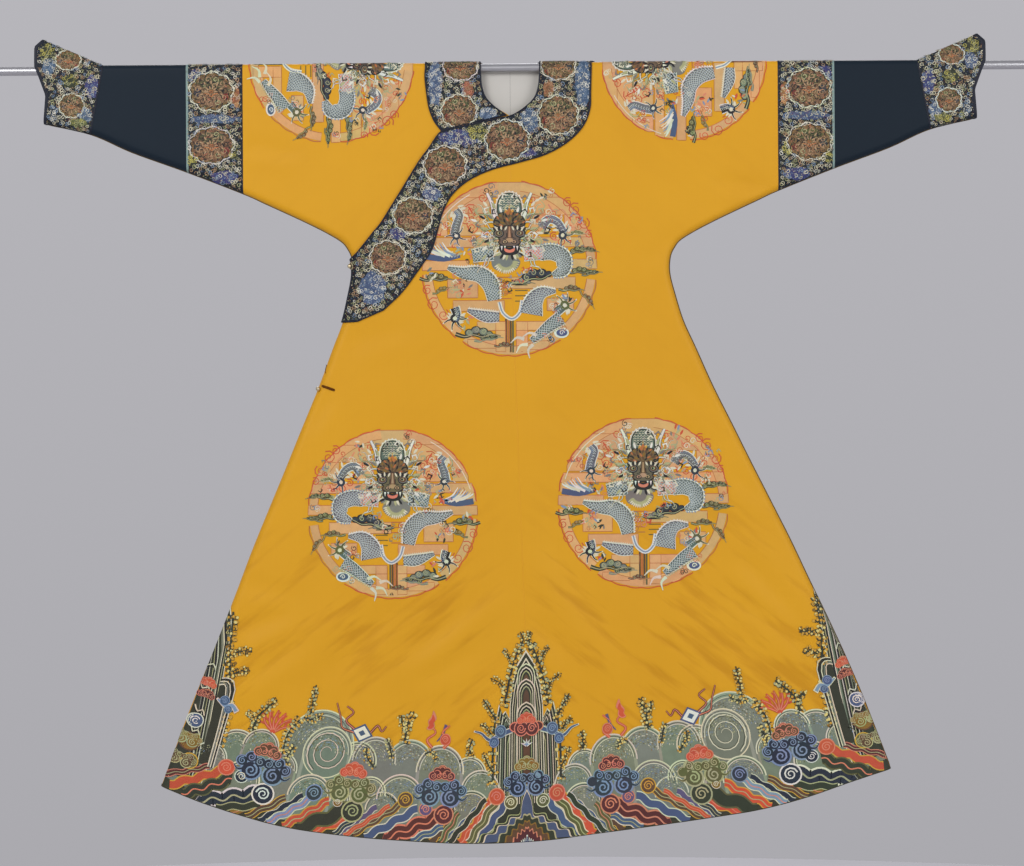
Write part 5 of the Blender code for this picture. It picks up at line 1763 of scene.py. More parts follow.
# Waves from back to front: place along the hem, height of the top and radius.
WAVES = (
    (0.2320, 0.1840, 0.047), (0.3020, 0.1850, 0.042), (0.1706, 0.1770, 0.046),
    (0.1125, 0.1570, 0.033), (0.4150, 0.2240, 0.069), (0.5230, 0.1690, 0.034),
    (0.5650, 0.1560, 0.038), (0.3350, 0.1740, 0.038), (0.0900, 0.1330, 0.036),
    (0.4750, 0.1350, 0.030), (0.2420, 0.1200, 0.043), (0.6050, 0.1180, 0.030),
    (0.1060, 0.0960, 0.036), (0.3000, 0.1120, 0.030), (0.4106, 0.1040, 0.040),
    (0.2720, 0.0860, 0.031), (0.3600, 0.0880, 0.026), (0.5400, 0.1000, 0.034),
)
WOUND_WAVE = (0.395, 0.1950, 0.047)     # the one with a wound line, and the one in front of it
FRONT_WAVE = (0.4106, 0.1040, 0.040)
# Flowing stripes: start, end, width, waves, colour and edging.
STRIPES = (
    ((0.036, 0.080), (0.092, 0.000), 0.0130, 3, BLUE, CREAM),
    ((0.046, 0.096), (0.108, 0.000), 0.0140, 3, OLIVE, CREAM),
    ((0.060, 0.082), (0.124, 0.000), 0.0170, 3, CORAL, GOLD),
    ((0.078, 0.080), (0.144, 0.000), 0.0100, 3, MOSS, CREAM),
    ((0.094, 0.064), (0.152, 0.000), 0.0090, 3, BLUE, CREAM),
    ((0.128, 0.056), (0.158, 0.000), 0.0110, 2, OLIVE, LIME),
    ((0.140, 0.034), (0.178, 0.000), 0.0120, 2, BROWN, GOLD),
    ((0.155, 0.030), (0.212, 0.000), 0.0130, 2, BLUE, CREAM),
    ((0.160, 0.050), (0.262, 0.000), 0.0230, 3, MAROON, SALMON),
    ((0.206, 0.060), (0.297, 0.000), 0.0150, 3, BLUE, CREAM),
    ((0.232, 0.070), (0.318, 0.006), 0.0120, 3, BROWN, GOLD),
    ((0.258, 0.062), (0.334, 0.000), 0.0090, 3, CORAL, LIME),
    ((0.282, 0.058), (0.346, 0.000), 0.0110, 3, VIOLET, CREAM),
    ((0.308, 0.046), (0.352, 0.000), 0.0110, 2, SLATE, CREAM),
    ((0.330, 0.034), (0.392, 0.000), 0.0150, 2, CORAL, GOLD),
    ((0.335, 0.050), (0.420, 0.000), 0.0240, 2, MOSS, OLIVE),
    ((0.372, 0.060), (0.446, 0.000), 0.0150, 3, CORAL, GOLD),
    ((0.403, 0.064), (0.474, 0.000), 0.0130, 3, SKY, CREAM),
    ((0.422, 0.064), (0.488, 0.000), 0.0100, 3, NAVY, CREAM),
    ((0.452, 0.054), (0.512, 0.000), 0.0120, 2, BROWN, GOLD),
    ((0.474, 0.038), (0.540, 0.000), 0.0110, 2, OLD_GOLD, BROWN),
    ((0.492, 0.030), (0.566, 0.000), 0.0130, 2, MOSS, LIME),
    ((0.500, 0.050), (0.600, 0.000), 0.0260, 3, NAVY, WHITE),
    ((0.555, 0.062), (0.628, 0.002), 0.0200, 3, MOSS, OLIVE),
    ((0.571, 0.076), (0.652, 0.010), 0.0160, 3, CORAL, GOLD),
    ((0.600, 0.072), (0.668, 0.024), 0.0100, 3, MAROON, SALMON),
)
# Round curls at the heads of the stripes: place, height, radius, colour and edging.
SWIRLS = (
    (0.0576, 0.0850, 0.016, CORAL, SALMON), (0.0306, 0.0738, 0.013, OLIVE, CREAM),
    (0.1560, 0.0515, 0.019, MAROON, SALMON), (0.1905, 0.0600, 0.013, VIOLET, SALMON),
    (0.2304, 0.0750, 0.015, BROWN, GOLD), (0.3256, 0.0465, 0.021, MOSS, LIME),
    (0.3560, 0.0600, 0.009, OLD_GOLD, CREAM), (0.4029, 0.0715, 0.016, SLATE, SKY),
    (0.4936, 0.0510, 0.021, NAVY, WHITE), (0.5400, 0.0720, 0.013, NAVY, WHITE),
    (0.5710, 0.0800, 0.016, CORAL, SALMON), (0.6370, 0.0680, 0.016, OLIVE, GOLD),
    (0.6500, 0.1040, 0.019, OLD_GOLD, BROWN),
)
# Cloud heads over them: place, height, half width of head and scroll, their colours and edging.
CLOUD_HEADS = (
    (0.1655, 0.1240, 0.027, 0.0470, MAROON, SLATE, SALMON, SKY),
    (0.3370, 0.1190, 0.028, 0.0450, CORAL, OLIVE, SALMON, LIME),
    (0.5070, 0.1300, 0.028, 0.0490, BROWN, NAVY, SALMON, SKY),
)


WAVE_MIX = ((PALE_SEA, 0.32), (LIME, 0.22), (OLIVE, 0.14), (OLD_GOLD, 0.06), (SKY, 0.14),
            (CREAM, 0.12))


STITCH_ROWS = 0.0036      # spacing of the rows of stitches on a wave,
STITCH_STEP = 0.0052      # of the stitches in a row
STITCH_SIZE = 0.0042      # and their length


def wave(pen, x, top, radius, wound=False):
    """One wave: a rounded hill with double pale lines and rows of small stitches."""
    centre = top - radius
    angle = np.radians(np.linspace(180, 0, 19))
    for share, colour in ((1.0, PALE_SEA), (0.86, SEA)):
        crest = around(angle, share * radius, share * radius) + (x, centre)
        foot = [(x + share * radius, centre * 0.2), (x - share * radius, centre * 0.2)]
        pen.fill(np.vstack([crest, foot]), colour)
        pen = pen.up()
    for share, width, colour, past, corners in ((1.0, 0.0024, CREAM, 6, 24),
                                                (0.92, 0.0010, MOSS, 3, 20),
                                                (0.86, 0.0014, CREAM, 0, 20)):
        pen.ring(x, centre, radius * share, width, colour, -past, 180 + past, corners)
    for share in np.arange(0.78, 0.25, -STITCH_ROWS / radius):
        count = max(int(share * radius * math.pi / STITCH_STEP), 3)
        turn = np.linspace(5, 175, count) + chance.uniform(-4, 4, count)
        spots = around(np.radians(turn), share * radius, share * radius) + (x, centre)
        pen.stamp("leaf", spots, STITCH_SIZE, mixed(WAVE_MIX, count), turn + 90, 1)
    if wound:
        pen.up().ring(x, centre, radius, 0.0022, CREAM, 0, 360, 34)
        for share, width, colour in ((0.88, 0.0022, CREAM), (0.82, 0.0010, MOSS)):
            pen.up().curl(x, centre, radius * share, width, colour, 2.6, -60, 1, 16)


def mixed(mix, count):
    """Floss colours drawn from a mix."""
    shares = np.array([share for _, share in mix])
    picks = chance.choice(len(mix), count, p=shares / shares.sum())
    shades = np.array([colour[:3] for colour, _ in mix])[picks]
    return shades * chance.uniform(0.82, 1.12, (count, 1))


def chevron(half, top, shoulder, foot):
    """Outline of a mountain with straight sides and a pointed top."""
    rise = top - shoulder
    return np.array(((-half, foot), (-half, shoulder), (-half * 0.86, shoulder + rise * 0.38),
                     (-half * 0.56, shoulder + rise * 0.74), (0.0, top),
                     (half * 0.56, shoulder + rise * 0.74), (half * 0.86, shoulder + rise * 0.38),
                     (half, shoulder), (half, foot)))


# Bands of the mountains from their edge inwards: colour and width.
CORE_BANDS = ((CREAM, 0.0017), (MOSS, 0.0032), (CREAM, 0.0015), (INK, 0.0028), (LIME, 0.0015),
              (MOSS, 0.0030), (CREAM, 0.0015))
NEST_BANDS = ((CREAM, 0.0016), (MOSS, 0.0026), (CREAM, 0.0014), (INK, 0.0026), (LIME, 0.0014),
              (MOSS, 0.0030))
FLANK_BANDS = ((CREAM, 0.0017), (MOSS, 0.0034), (LIME, 0.0015), (INK, 0.0034), (CREAM, 0.0016),
               (MOSS, 0.0036), (SEA, 0.0015), (INK, 0.0038), (CREAM, 0.0016), (MOSS, 0.0040),
               (LIME, 0.0015))
SIDE_BANDS = ((CREAM, 0.0018), (MOSS, 0.0040), (LIME, 0.0016), (INK, 0.0044), (CREAM, 0.0016),
              (SEA, 0.0034), (MOSS, 0.0040), (CREAM, 0.0016), (INK, 0.0040), (LIME, 0.0014),
              (MOSS, 0.0050), (CREAM, 0.0014), (INK, 0.0050), (SEA, 0.0016))


def banded(pen, outline, bands, heart):
    """Bands side by side round a heart, from the outline that outline() gives at each depth."""
    depths = np.concatenate([[0.0], np.cumsum([width for _, width in bands])])
    edges = [np.asarray(outline(depth)) for depth in depths]
    for before, after, (colour, _) in zip(edges, edges[1:], bands):
        pen.strip(before, after, colour)
    pen.fill(edges[-1], heart)


def core_outline(depth):
    """Edge of the middle mountain at this depth."""
    return chevron(0.0350 - depth, 0.3490 - 2.9 * depth, 0.252 - 1.5 * depth, 0.07)


def nest_outline(top, depth):
    """Edge at this depth of a narrow peak on the middle mountain."""
    return chevron(0.0190 - depth, top - 1.6 * depth, top - 0.018 - 1.3 * depth, 0.07)


def flank_outline(depth):
    """Edge of the lower peaks on one side of the middle mountain, at this depth."""
    return ((0.026, 0.070), (0.026, 0.236 - depth), (0.036, 0.226 - depth),
            (0.044 - 0.2 * depth, 0.240 - 1.4 * depth), (0.050 - 0.5 * depth, 0.234 - 1.5 * depth),
            (0.058 - 0.9 * depth, 0.252 - 2.0 * depth), (0.062 - 0.9 * depth, 0.232 - 1.9 * depth),
            (0.062 - 0.9 * depth, 0.070))


def side_outline(depth):
    """Edge of the side mountain at this depth, closed beyond the seam."""
    foot, tip, top = 0.602 + 0.94 * depth, 0.662 + 0.70 * depth, 0.340 - 3.0 * depth
    return ((foot, 0.030), (foot + 0.001, 0.075), (foot + (tip - foot) * (top - 0.06) / 0.285, top),
            (0.720, top + 0.02), (0.720, 0.030))


def centre_mountain(pen):
    """Finely striped mountain at the middle of the border."""
    for half in pen.halves():
        banded(half, flank_outline, FLANK_BANDS, MOSS)
    core = pen.up(2)
    banded(core, core_outline, CORE_BANDS, BROWN)
    for level, top in enumerate((0.325, 0.297, 0.255)):
        banded(core.up(1 + level), partial(nest_outline, top), NEST_BANDS, BROWN)


# Tents of waves, one in another: half width, height, colour and edging.
TENTS = ((0.100, 0.106, MOSS, LIME), (0.090, 0.096, BLUE, CREAM), (0.060, 0.050, MOSS, LIME),
         (0.046, 0.038, BROWN, OLD_GOLD), (0.030, 0.026, MAROON, SALMON),
         (0.013, 0.013, BLUE, WHITE))
TENT_EDGE = 0.0030        # width of their edging
TENT_STEP = 0.0028        # height of the rounded steps down their sides
TENT_BULGE = 0.030        # and how far these stand out, as a share of the half width


def centre_clouds(pen):
    """Clouds on the middle mountain, and the tent of waves at its foot."""
    for side in pen.halves():
        side.line(((0.030, 0.205), (0.055, 0.196), (0.075, 0.188), (0.092, 0.200), (0.108, 0.204)),
                  0.012, CREAM, 0.003, 4)
        side.up().line(((0.030, 0.205), (0.055, 0.196), (0.075, 0.188), (0.092, 0.200),
                        (0.106, 0.204)), 0.008, BLUE, 0.002, 4)
        swirl(side.at(0.053, 0.203, 0.012, rise=1), BLUE, SKY)
        swirl(side.at(0.066, 0.184, 0.010, rise=1), BLUE, SKY, -1)
    head = pen.at(0.0, 0.207, 0.037, rise=2)
    for hand in (1, -1):
        head.oval(hand * 0.62, 0.08, 0.34, 0.26, SALMON)
        head.up().oval(hand * 0.62, 0.08, 0.28, 0.20, MAROON)
        swirl(head.at(hand * 0.30, 0.0, 0.40, rise=2), MAROON, SALMON, hand)
    cloud_head(head.at(0, 0.44, 0.56, rise=5), CORAL, SALMON)
    lotus = pen.at(0.0, 0.176, 0.013, rise=2)
    for angle in (-70, -35, 0, 35, 70):
        lotus.at(0, 0, 1, angle).fill(((-0.24, 0.0), (0.0, 1.0), (0.24, 0.0)), WHITE)
        lotus.at(0, 0, 1, angle, rise=1).fill(((-0.10, 0.0), (0.0, 0.7), (0.10, 0.0)), SKY)
    cloud_head(pen.at(0.0, 0.140, 0.026, rise=3), OLD_GOLD, LIME)
    scroll_cloud(pen.at(0.0, 0.106, 0.042, rise=2), NAVY, SKY)
    for half, top, colour, edge in TENTS:
        pen.fill(tent_outline(half, top), edge)
        pen.up().fill(tent_outline(half - TENT_EDGE, top - TENT_EDGE), colour)
        pen = pen.up(2)


def tent_outline(half, top):
    """Outline of a tent of waves whose sides come down in rounded steps."""
    share = np.linspace(0.0, 1.0, 33)
    necked = 0.42 * np.minimum(share / 0.12, 1.0) + 0.58 * share ** 1.3
    fall = necked if top > half * 0.95 else share ** 1.6
    steps = np.sin(share * 8 * math.pi)
    reach = half * (share + TENT_BULGE * steps)
    high = top * (1.0 - fall) + TENT_STEP * steps
    right = np.stack([reach, high], 1)
    left = right[:0:-1] * (-1, 1)
    return np.vstack([left, right])


def side_mountain(pen):
    """Finely striped mountain at the side seam: pale lines between dark bands."""
    banded(pen, side_outline, SIDE_BANDS, MOSS)
    for base in (0.12, 0.16, 0.205, 0.25):
        x = 0.628 + (base - 0.06) * 0.16
        for step, colour in ((0.0, CREAM), (0.0035, INK)):
            pen.up(9).line(((x, base - step), (x + 0.007, base + 0.010 - step),
                            (x + 0.015, base + 0.004 - step), (x + 0.022, base + 0.015 - step)),
                           0.0022, colour, steps=2)
    pen.up().fill(((0.5935, 0.070), (0.600, 0.150), (0.607, 0.226), (0.624, 0.243), (0.640, 0.239),
                   (0.620, 0.070)), MOSS)
    for step, colour in ((0.0, CREAM), (0.0035, INK), (0.0070, CREAM), (0.0110, SEA),
                         (0.0140, CREAM)):
        pen.up(9).line(((0.5935 + step * 0.7, 0.070), (0.600 + step * 0.8, 0.150),
                        (0.607 + step, 0.226 - step), (0.624 + step * 0.4, 0.243 - step),
                        (0.640, 0.239 - step)), 0.0020, colour, steps=2)
    ribbon = pen.up(10)
    ribbon.line(((0.588, 0.186), (0.602, 0.196), (0.614, 0.190), (0.634, 0.200)), 0.011, CREAM,
                0.005, 4)
    ribbon.up().line(((0.590, 0.187), (0.602, 0.196), (0.614, 0.190), (0.632, 0.199)), 0.007, SKY,
                     0.003, 4)
    swirl(ribbon.at(0.618, 0.200, 0.010, rise=1), BLUE, SKY)
    swirl(ribbon.at(0.606, 0.186, 0.008, rise=1), BLUE, SKY)
    cloud_head(ribbon.at(0.661, 0.222, 0.019, rise=1), CORAL, SALMON)
    cloud_head(ribbon.at(0.655, 0.200, 0.018, rise=1), MAROON, SALMON)
    swirl(ribbon.at(0.655, 0.146, 0.015, rise=1), BLUE, WHITE)
    scroll_cloud(ribbon.at(0.656, 0.108, 0.026, rise=1), OLD_GOLD, LIME)
    scroll_cloud(ribbon.at(0.652, 0.066, 0.026, rise=1), BROWN, LIME)


GOLD_LEAVES = (GOLD, BUD, GOLD, OLD_GOLD, GOLD, BUD)
HEM_LEAVES = (BUD, LIME, GOLD, BUD, GOLD, LIME)
MOUNTAIN_START = 0.59     # twigs past here stand on the side mountain
# Twigs of the border: points, width and leaves.
TWIGS = (
    (((0.066, 0.110), (0.068, 0.180), (0.064, 0.235)), 0.0034, 12),
    (((0.046, 0.250), (0.038, 0.290), (0.026, 0.330), (0.010, 0.362)), 0.0038, 15),
    (((0.046, 0.275), (0.056, 0.290), (0.078, 0.300)), 0.0024, 5),
    (((0.064, 0.225), (0.078, 0.244), (0.092, 0.262)), 0.0026, 6),
    (((0.068, 0.190), (0.082, 0.210), (0.096, 0.216)), 0.0024, 5),
    (((0.068, 0.130), (0.080, 0.150), (0.086, 0.166)), 0.0024, 5),
    (((0.034, 0.330), (0.044, 0.345), (0.052, 0.350)), 0.0022, 4),
    (((0.012, 0.350), (0.006, 0.368), (0.012, 0.382)), 0.0026, 4),
    (((0.112, 0.158), (0.114, 0.176), (0.110, 0.190)), 0.0030, 5),
    (((0.247, 0.180), (0.245, 0.212), (0.236, 0.236)), 0.0036, 8),
    (((0.247, 0.200), (0.258, 0.216), (0.260, 0.228)), 0.0026, 5),
    (((0.180, 0.150), (0.190, 0.164), (0.204, 0.160)), 0.0024, 6),
    (((0.268, 0.150), (0.276, 0.172), (0.284, 0.184)), 0.0026, 6),
    (((0.300, 0.130), (0.318, 0.150), (0.320, 0.166)), 0.0026, 6),
    (((0.446, 0.212), (0.448, 0.240), (0.450, 0.268)), 0.0030, 8),
    (((0.422, 0.214), (0.440, 0.204), (0.458, 0.206)), 0.0026, 8),
    (((0.466, 0.200), (0.480, 0.170), (0.480, 0.130)), 0.0034, 13),
    (((0.462, 0.150), (0.470, 0.126), (0.464, 0.104)), 0.0030, 8),
    (((0.548, 0.160), (0.546, 0.190), (0.530, 0.216), (0.520, 0.228)), 0.0034, 9),
    (((0.550, 0.180), (0.562, 0.190), (0.568, 0.186)), 0.0026, 5),
    (((0.596, 0.116), (0.601, 0.160), (0.609, 0.215)), 0.0036, 12),
    (((0.622, 0.236), (0.640, 0.280), (0.656, 0.325), (0.668, 0.366)), 0.0038, 16),
    (((0.640, 0.290), (0.622, 0.300), (0.602, 0.304)), 0.0030, 7),
    (((0.622, 0.252), (0.608, 0.264), (0.594, 0.262)), 0.0030, 6),
)


def border_twigs(pen):
    """Dotted twigs beside the mountains and on the waves, a flame, coral and ribbons."""
    for spots, width, leaves in TWIGS:
        leafy_twig(pen, spots, width, leaves, GOLD_LEAVES if spots[0][0] > MOUNTAIN_START else HEM_LEAVES)
    for hand, base in ((1, 0.190), (-1, 0.168)):
        pen.braid(((base, 0.172), (base + hand * 0.012, 0.186), (base - hand * 0.004, 0.200),
                   (base + hand * 0.010, 0.214)), (0.0060, CORAL, 0.003), (0.0024, SALMON, 0.001))
    flame_lick(pen.at(0.197, 0.204, 0.036, rise=1), CORAL, SALMON)
    pen.line(((0.166, 0.215), (0.172, 0.196), (0.182, 0.184)), 0.006, VIOLET, 0.002, 3)
    swirl(pen.at(0.165, 0.188, 0.011, rise=1), CORAL, SALMON)
    for angle in (-62, -40, -18, 4, 26, 48):
        branch = pen.at(0.510, 0.168, 0.050, -angle)
        branch.line(((0, 0), (0.05, 0.45), (-0.05, 0.85)), 0.13, CORAL, 0.07, 3)
        branch.line(((0.02, 0.4), (0.18, 0.62), (0.16, 0.78)), 0.09, CORAL, 0.05, 3)
        branch.up().line(((0, 0.1), (0.05, 0.45), (-0.04, 0.8)), 0.04, SALMON, 0.02, 3)
    box = pen.at(0.335, 0.190, 0.021, 10, rise=2)
    for rise, (wide, high, colour) in enumerate(((1.1, 0.85, BLUE), (0.86, 0.66, WHITE),
                                                 (0.36, 0.28, BLUE))):
        box.up(rise).fill(((-wide, 0.0), (0.0, high), (wide, 0.0), (0.0, -high)), colour)
    for spots in (((0.352, 0.196), (0.372, 0.210), (0.360, 0.226), (0.376, 0.236)),
                  ((0.352, 0.190), (0.376, 0.196), (0.384, 0.214), (0.398, 0.240)),
                  ((0.318, 0.192), (0.306, 0.206), (0.296, 0.196), (0.288, 0.206))):
        pen.up(2).braid(spots, (0.0052, MAROON, 0.003), (0.0018, SALMON, 0.001))


HEM_HALF = 0.668          # the border reaches this far to each side, along the hem


def level_band(pen, along, low, high, colour):
    """Plain band between two heights over the hem."""
    pen.strip(np.column_stack([along, np.full(len(along), low)]),
              np.column_stack([along, np.full(len(along), high)]), colour)


def hem_border(pen):
    """Whole border: mountains, waves, flowing stripes, clouds and twigs."""
    level_band(pen.up(), np.linspace(-0.11, 0.11, 23), 0.02, 0.10, MOSS)
    for half in pen.halves():
        along = np.linspace(0.0, HEM_HALF, 68)
        level_band(half, along, 0.0, 0.02, MOSS)
        level_band(half, along, 0.02, 0.06, SEA)
        for index, (x, top, radius) in enumerate(WAVES):
            wave(half.up(1 + index % 3 + 3 * (index > 8)), x, top, radius)
        wave(half.up(5), *WOUND_WAVE, wound=True)
        wave(half.up(8), *FRONT_WAVE)
        side_mountain(half.up(8))
        border_twigs(half.up(9))
        for index, (start, end, width, waves, colour, edge) in enumerate(STRIPES):
            stripe(half.up(11 + 2 * (index % 2)), wavy(start, end, waves, width * 0.17),
                   width * 1.16, colour, edge, core=(None, LIME, SALMON)[index % 3])
        for x, high, radius, colour, edge in SWIRLS:
            swirl(half.at(x, high, radius, rise=15), colour, edge)
        for x, high, small, large, head, scroll, head_edge, scroll_edge in CLOUD_HEADS:
            scroll_cloud(half.at(x, high - 0.034, large, rise=16), scroll, scroll_edge)
            cloud_head(half.at(x, high, small, rise=19), head, head_edge)
    centre_mountain(pen.up(3))
    centre_clouds(pen.up(34))


# --- brocade of the bands and cuffs ---------------------------------------------------------------
FIELD = linear(122, 96, 68)
FIELD_GREEN = linear(96, 94, 62)
FIELD_ROSE = linear(138, 108, 78)
RED_PATCH = linear(124, 54, 48)
DUSK = linear(146, 98, 72)
STRAW = linear(196, 186, 96)
INDIGO = linear(62, 66, 112)
# Shares of the floss colours in a part of the brocade.
PLAIN_MIX = ((CREAM, 0.14), (OLIVE, 0.20), (TAN, 0.14), (SEA, 0.10), (SLATE, 0.14), (BLUE, 0.12),
             (MAROON, 0.09), (LIME, 0.07))
SCROLL_MIX = ((CREAM, 0.40), (LIME, 0.16), (WHITE, 0.08), (SKY, 0.16), (TAN, 0.20))
FLOWER_MIX = ((INK, 0.34), (BROWN, 0.22), (TAN, 0.22), (OLIVE, 0.12), (SALMON, 0.06), (LIME, 0.04))
BLUE_MIX = ((WHITE, 0.42), (SKY, 0.40), (BLUE, 0.18))
DUSK_MIX = ((TAN, 0.36), (SALMON, 0.18), (LIME, 0.16), (BROWN, 0.16), (CREAM, 0.08), (OLIVE, 0.06))
LEAF_MIX = ((STRAW, 0.46), (LIME, 0.34), (MOSS, 0.20))
VIOLET_MIX = ((CREAM, 0.35), (SKY, 0.30), (VIOLET, 0.20), (INDIGO, 0.15))
ROSE_MIX = ((PEACH, 0.42), (OLD_GOLD, 0.22), (SALMON, 0.12), (CREAM, 0.24))

# Grounds: x, height over the rod, half width, half height, ground colour and floss mix.
NECK_GROUNDS = (
    (-0.136, -0.028, 0.013, 0.040, BLUE, BLUE_MIX), (0.132, -0.028, 0.014, 0.044, BLUE, BLUE_MIX),
    (0.034, -0.098, 0.016, 0.022, BLUE, BLUE_MIX), (-0.040, -0.084, 0.016, 0.011, BLUE, BLUE_MIX),
    (-0.092, -0.127, 0.040, 0.014, INDIGO, VIOLET_MIX), (-0.060, -0.116, 0.018, 0.016, MOSS, LEAF_MIX),
    (-0.144, -0.229, 0.017, 0.013, BLUE, BLUE_MIX), (-0.252, -0.400, 0.024, 0.030, BLUE, BLUE_MIX),
    (0.030, -0.155, 0.018, 0.008, INDIGO, VIOLET_MIX), (-0.205, -0.300, 0.016, 0.012, INDIGO,
                                                       VIOLET_MIX),
    (-0.076, -0.040, 0.010, 0.016, DUSK, DUSK_MIX), (0.070, -0.040, 0.010, 0.016, DUSK, DUSK_MIX),
)
NECK_MEDALLIONS = (
    (-0.093, -0.079, 0.031, 0.029), (0.087, -0.087, 0.035, 0.034), (-0.006, -0.132, 0.038, 0.035),
    (-0.119, -0.177, 0.037, 0.033), (-0.178, -0.268, 0.034, 0.031), (-0.224, -0.344, 0.031, 0.029),
    (-0.090, 0.002, 0.030, 0.024), (0.088, 0.002, 0.030, 0.024),
)
BACK_NECK_GROUNDS = (
    (-0.130, -0.024, 0.014, 0.034, BLUE, BLUE_MIX), (0.130, -0.024, 0.014, 0.034, BLUE, BLUE_MIX),
    (-0.050, -0.062, 0.016, 0.014, BLUE, BLUE_MIX), (0.050, -0.062, 0.016, 0.014, MOSS, LEAF_MIX),
)
BACK_NECK_MEDALLIONS = ((0.0, -0.062, 0.034, 0.032), (-0.095, -0.066, 0.028, 0.026),
                        (0.095, -0.066, 0.028, 0.026))
SLEEVE_BAND_GROUNDS = (
    (0.5375, -0.090, 0.044, 0.008, BLUE, VIOLET_MIX), (0.572, -0.012, 0.012, 0.012, INDIGO, VIOLET_MIX),
    (0.505, -0.150, 0.010, 0.014, MOSS, LEAF_MIX), (0.520, -0.196, 0.024, 0.012, INDIGO, VIOLET_MIX),
    (0.498, -0.050, 0.007, 0.020, DUSK, ROSE_MIX), (0.578, -0.165, 0.008, 0.012, MOSS, LEAF_MIX),
)
SLEEVE_BAND_MEDALLIONS = ((0.543, -0.040, 0.038, 0.034), (0.543, -0.138, 0.039, 0.032))
CUFF_GROUNDS = (
    (0.840, 0.030, 0.014, 0.020, MOSS, LEAF_MIX), (0.838, 0.008, 0.012, 0.016, BLUE, BLUE_MIX),
    (0.760, -0.030, 0.012, 0.022, INDIGO, VIOLET_MIX), (0.772, -0.082, 0.012, 0.014, BLUE, BLUE_MIX),
    (0.785, -0.095, 0.016, 0.008, OLIVE, LEAF_MIX), (0.800, -0.020, 0.016, 0.012, MOSS, LEAF_MIX),
    (0.830, -0.078, 0.008, 0.016, NAVY, BLUE_MIX),
)
CUFF_MEDALLIONS = ((0.803, 0.020, 0.022, 0.018), (0.797, -0.064, 0.022, 0.021))


def on_lapel(row):
    """True for a ground or medallion of the neck that lies on the lapel, not on the collar."""
    x, high = row[:2]
    return x > 0.05 or high < -0.082 - 0.2 * max(-x - 0.02, 0.0)


LUMPS = 5                 # soft lumps round a patch, which has this many corners
LUMPY_CORNERS = 22


def lumpy(wide, high):
    """Outline of a patch with a few soft lumps, by its half sizes."""
    angle = np.arange(LUMPY_CORNERS) * 2 * math.pi / LUMPY_CORNERS
    first, second = chance.uniform(0, 2 * math.pi, 2)
    reach = 1.0 + 0.10 * np.sin(LUMPS * angle + first) + 0.07 * np.sin((LUMPS + 3) * angle + second)
    return around(angle, wide * reach, high * reach)


def medallion(pen, wide, high):
    """Round flower field with a scalloped pale outline of small curls, petals and a heart."""
    unit = min(wide, high)
    angle = np.radians(np.linspace(0, 360, 65))
    ripple = 0.98 + 0.13 * np.abs(np.sin(angle * 4.5 + 0.4))
    edge = around(angle, wide, high) * ripple[:, None]
    pen.fill(edge[:-1] * 1.06, INK)
    pen.up().fill(edge[:-1] * 0.90, FIELD)
    pen.up(2).at(0, 0.42 * high).fill(lumpy(0.60 * wide, 0.34 * high), FIELD_GREEN)
    pen.up(2).at(0, -0.46 * high).fill(lumpy(0.56 * wide, 0.30 * high), FIELD_ROSE)
    pen.up(3).at(-0.70 * wide, -0.01).fill(lumpy(0.13 * wide, 0.20 * high), RED_PATCH)
    pen.up(3).at(0.66 * wide, -0.002).fill(lumpy(0.16 * wide, 0.22 * high), SLATE)
    for share, width, colour in ((0.98, 0.0017, WHITE), (0.87, 0.0009, OLD_GOLD)):
        ring = edge * share
        side = sideways(ring) * width / 2
        pen.up(4).strip(ring + side, ring - side, colour)
    for count, share, size, colours in (
            (18, 1.05, 0.26, (WHITE, CREAM, WHITE)), (11, 0.66, 0.38, (TAN, INK, TAN, LIME)),
            (7, 0.34, 0.36, (TAN, INK))):
        turn = np.arange(count) / count * 360 + 11
        spots = around(np.radians(turn), share * wide, share * high)
        shades = np.array(colours)[np.arange(count) % len(colours)]
        pen.stamp("curl", spots, size * unit, shades, turn + 90, rise=6)
        pen.stamp("leaf", spots * 0.80, size * unit * 0.8, INK, turn + 60, rise=5)
    for reach, size, colour in ((0.50, 0.26, TAN), (0.42, 0.20, BROWN), (0.22, 0.22, TAN)):
        turn = np.arange(10) * 36 + 18 * (reach > 0.3)
        spots = around(np.radians(turn), reach * wide, reach * high)
        pen.stamp("leaf", spots, size * unit, colour, turn, rise=7)
    pen.stamp("leaf", around(np.arange(6), 0.07 * wide, 0.07 * high),
              0.10 * unit, RUST, np.degrees(np.arange(6)), rise=8)
    for hand in (1, -1):
        pen.up(8).line(((0.0, -0.30 * high), (hand * 0.12 * wide, -0.16 * high),
                        (hand * 0.32 * wide, -0.10 * high)), 0.0014, RUST, steps=3)


def view_warp(side, facing, crest):
    """Place points given as x and height over the rod, seen from the front (1) or back (-1)."""
    def warp(flat):
        x, high = flat[:, 0] * side, flat[:, 1]
        top = crest(x, np.zeros(len(x)))
        angle = np.arccos(np.clip(high / top, 0.0, 1.0))
        run = np.where(high > 0, angle * DRAPE_RADIUS, QUARTER - high)
        return np.stack([x, -facing * run], 1)
    return warp


def plain_crest(x, run):
    """Crest of the fold on the rod."""
    return np.full(np.shape(x), DRAPE_RADIUS)


def cuff_crest(x, run):
    """Crest of the fold in a cuff, which stands up past the rod."""
    start = CUFF_START_TOP + GAP
    angle = np.minimum(np.abs(run) / DRAPE_RADIUS, math.pi / 2)
    free = read_table(CUFF_EDGE, -CUFF_CREST * np.cos(angle))
    share = np.clip((np.abs(x) - start) / (free - start), 0.0, 1.0)
    return DRAPE_RADIUS + (CUFF_CREST - DRAPE_RADIUS) * share


# Strides and starts that spread places evenly over a cell, down it and across it.
EVEN_STRIDES = ((0.7548777, 0.13), (0.5698403, 0.71))


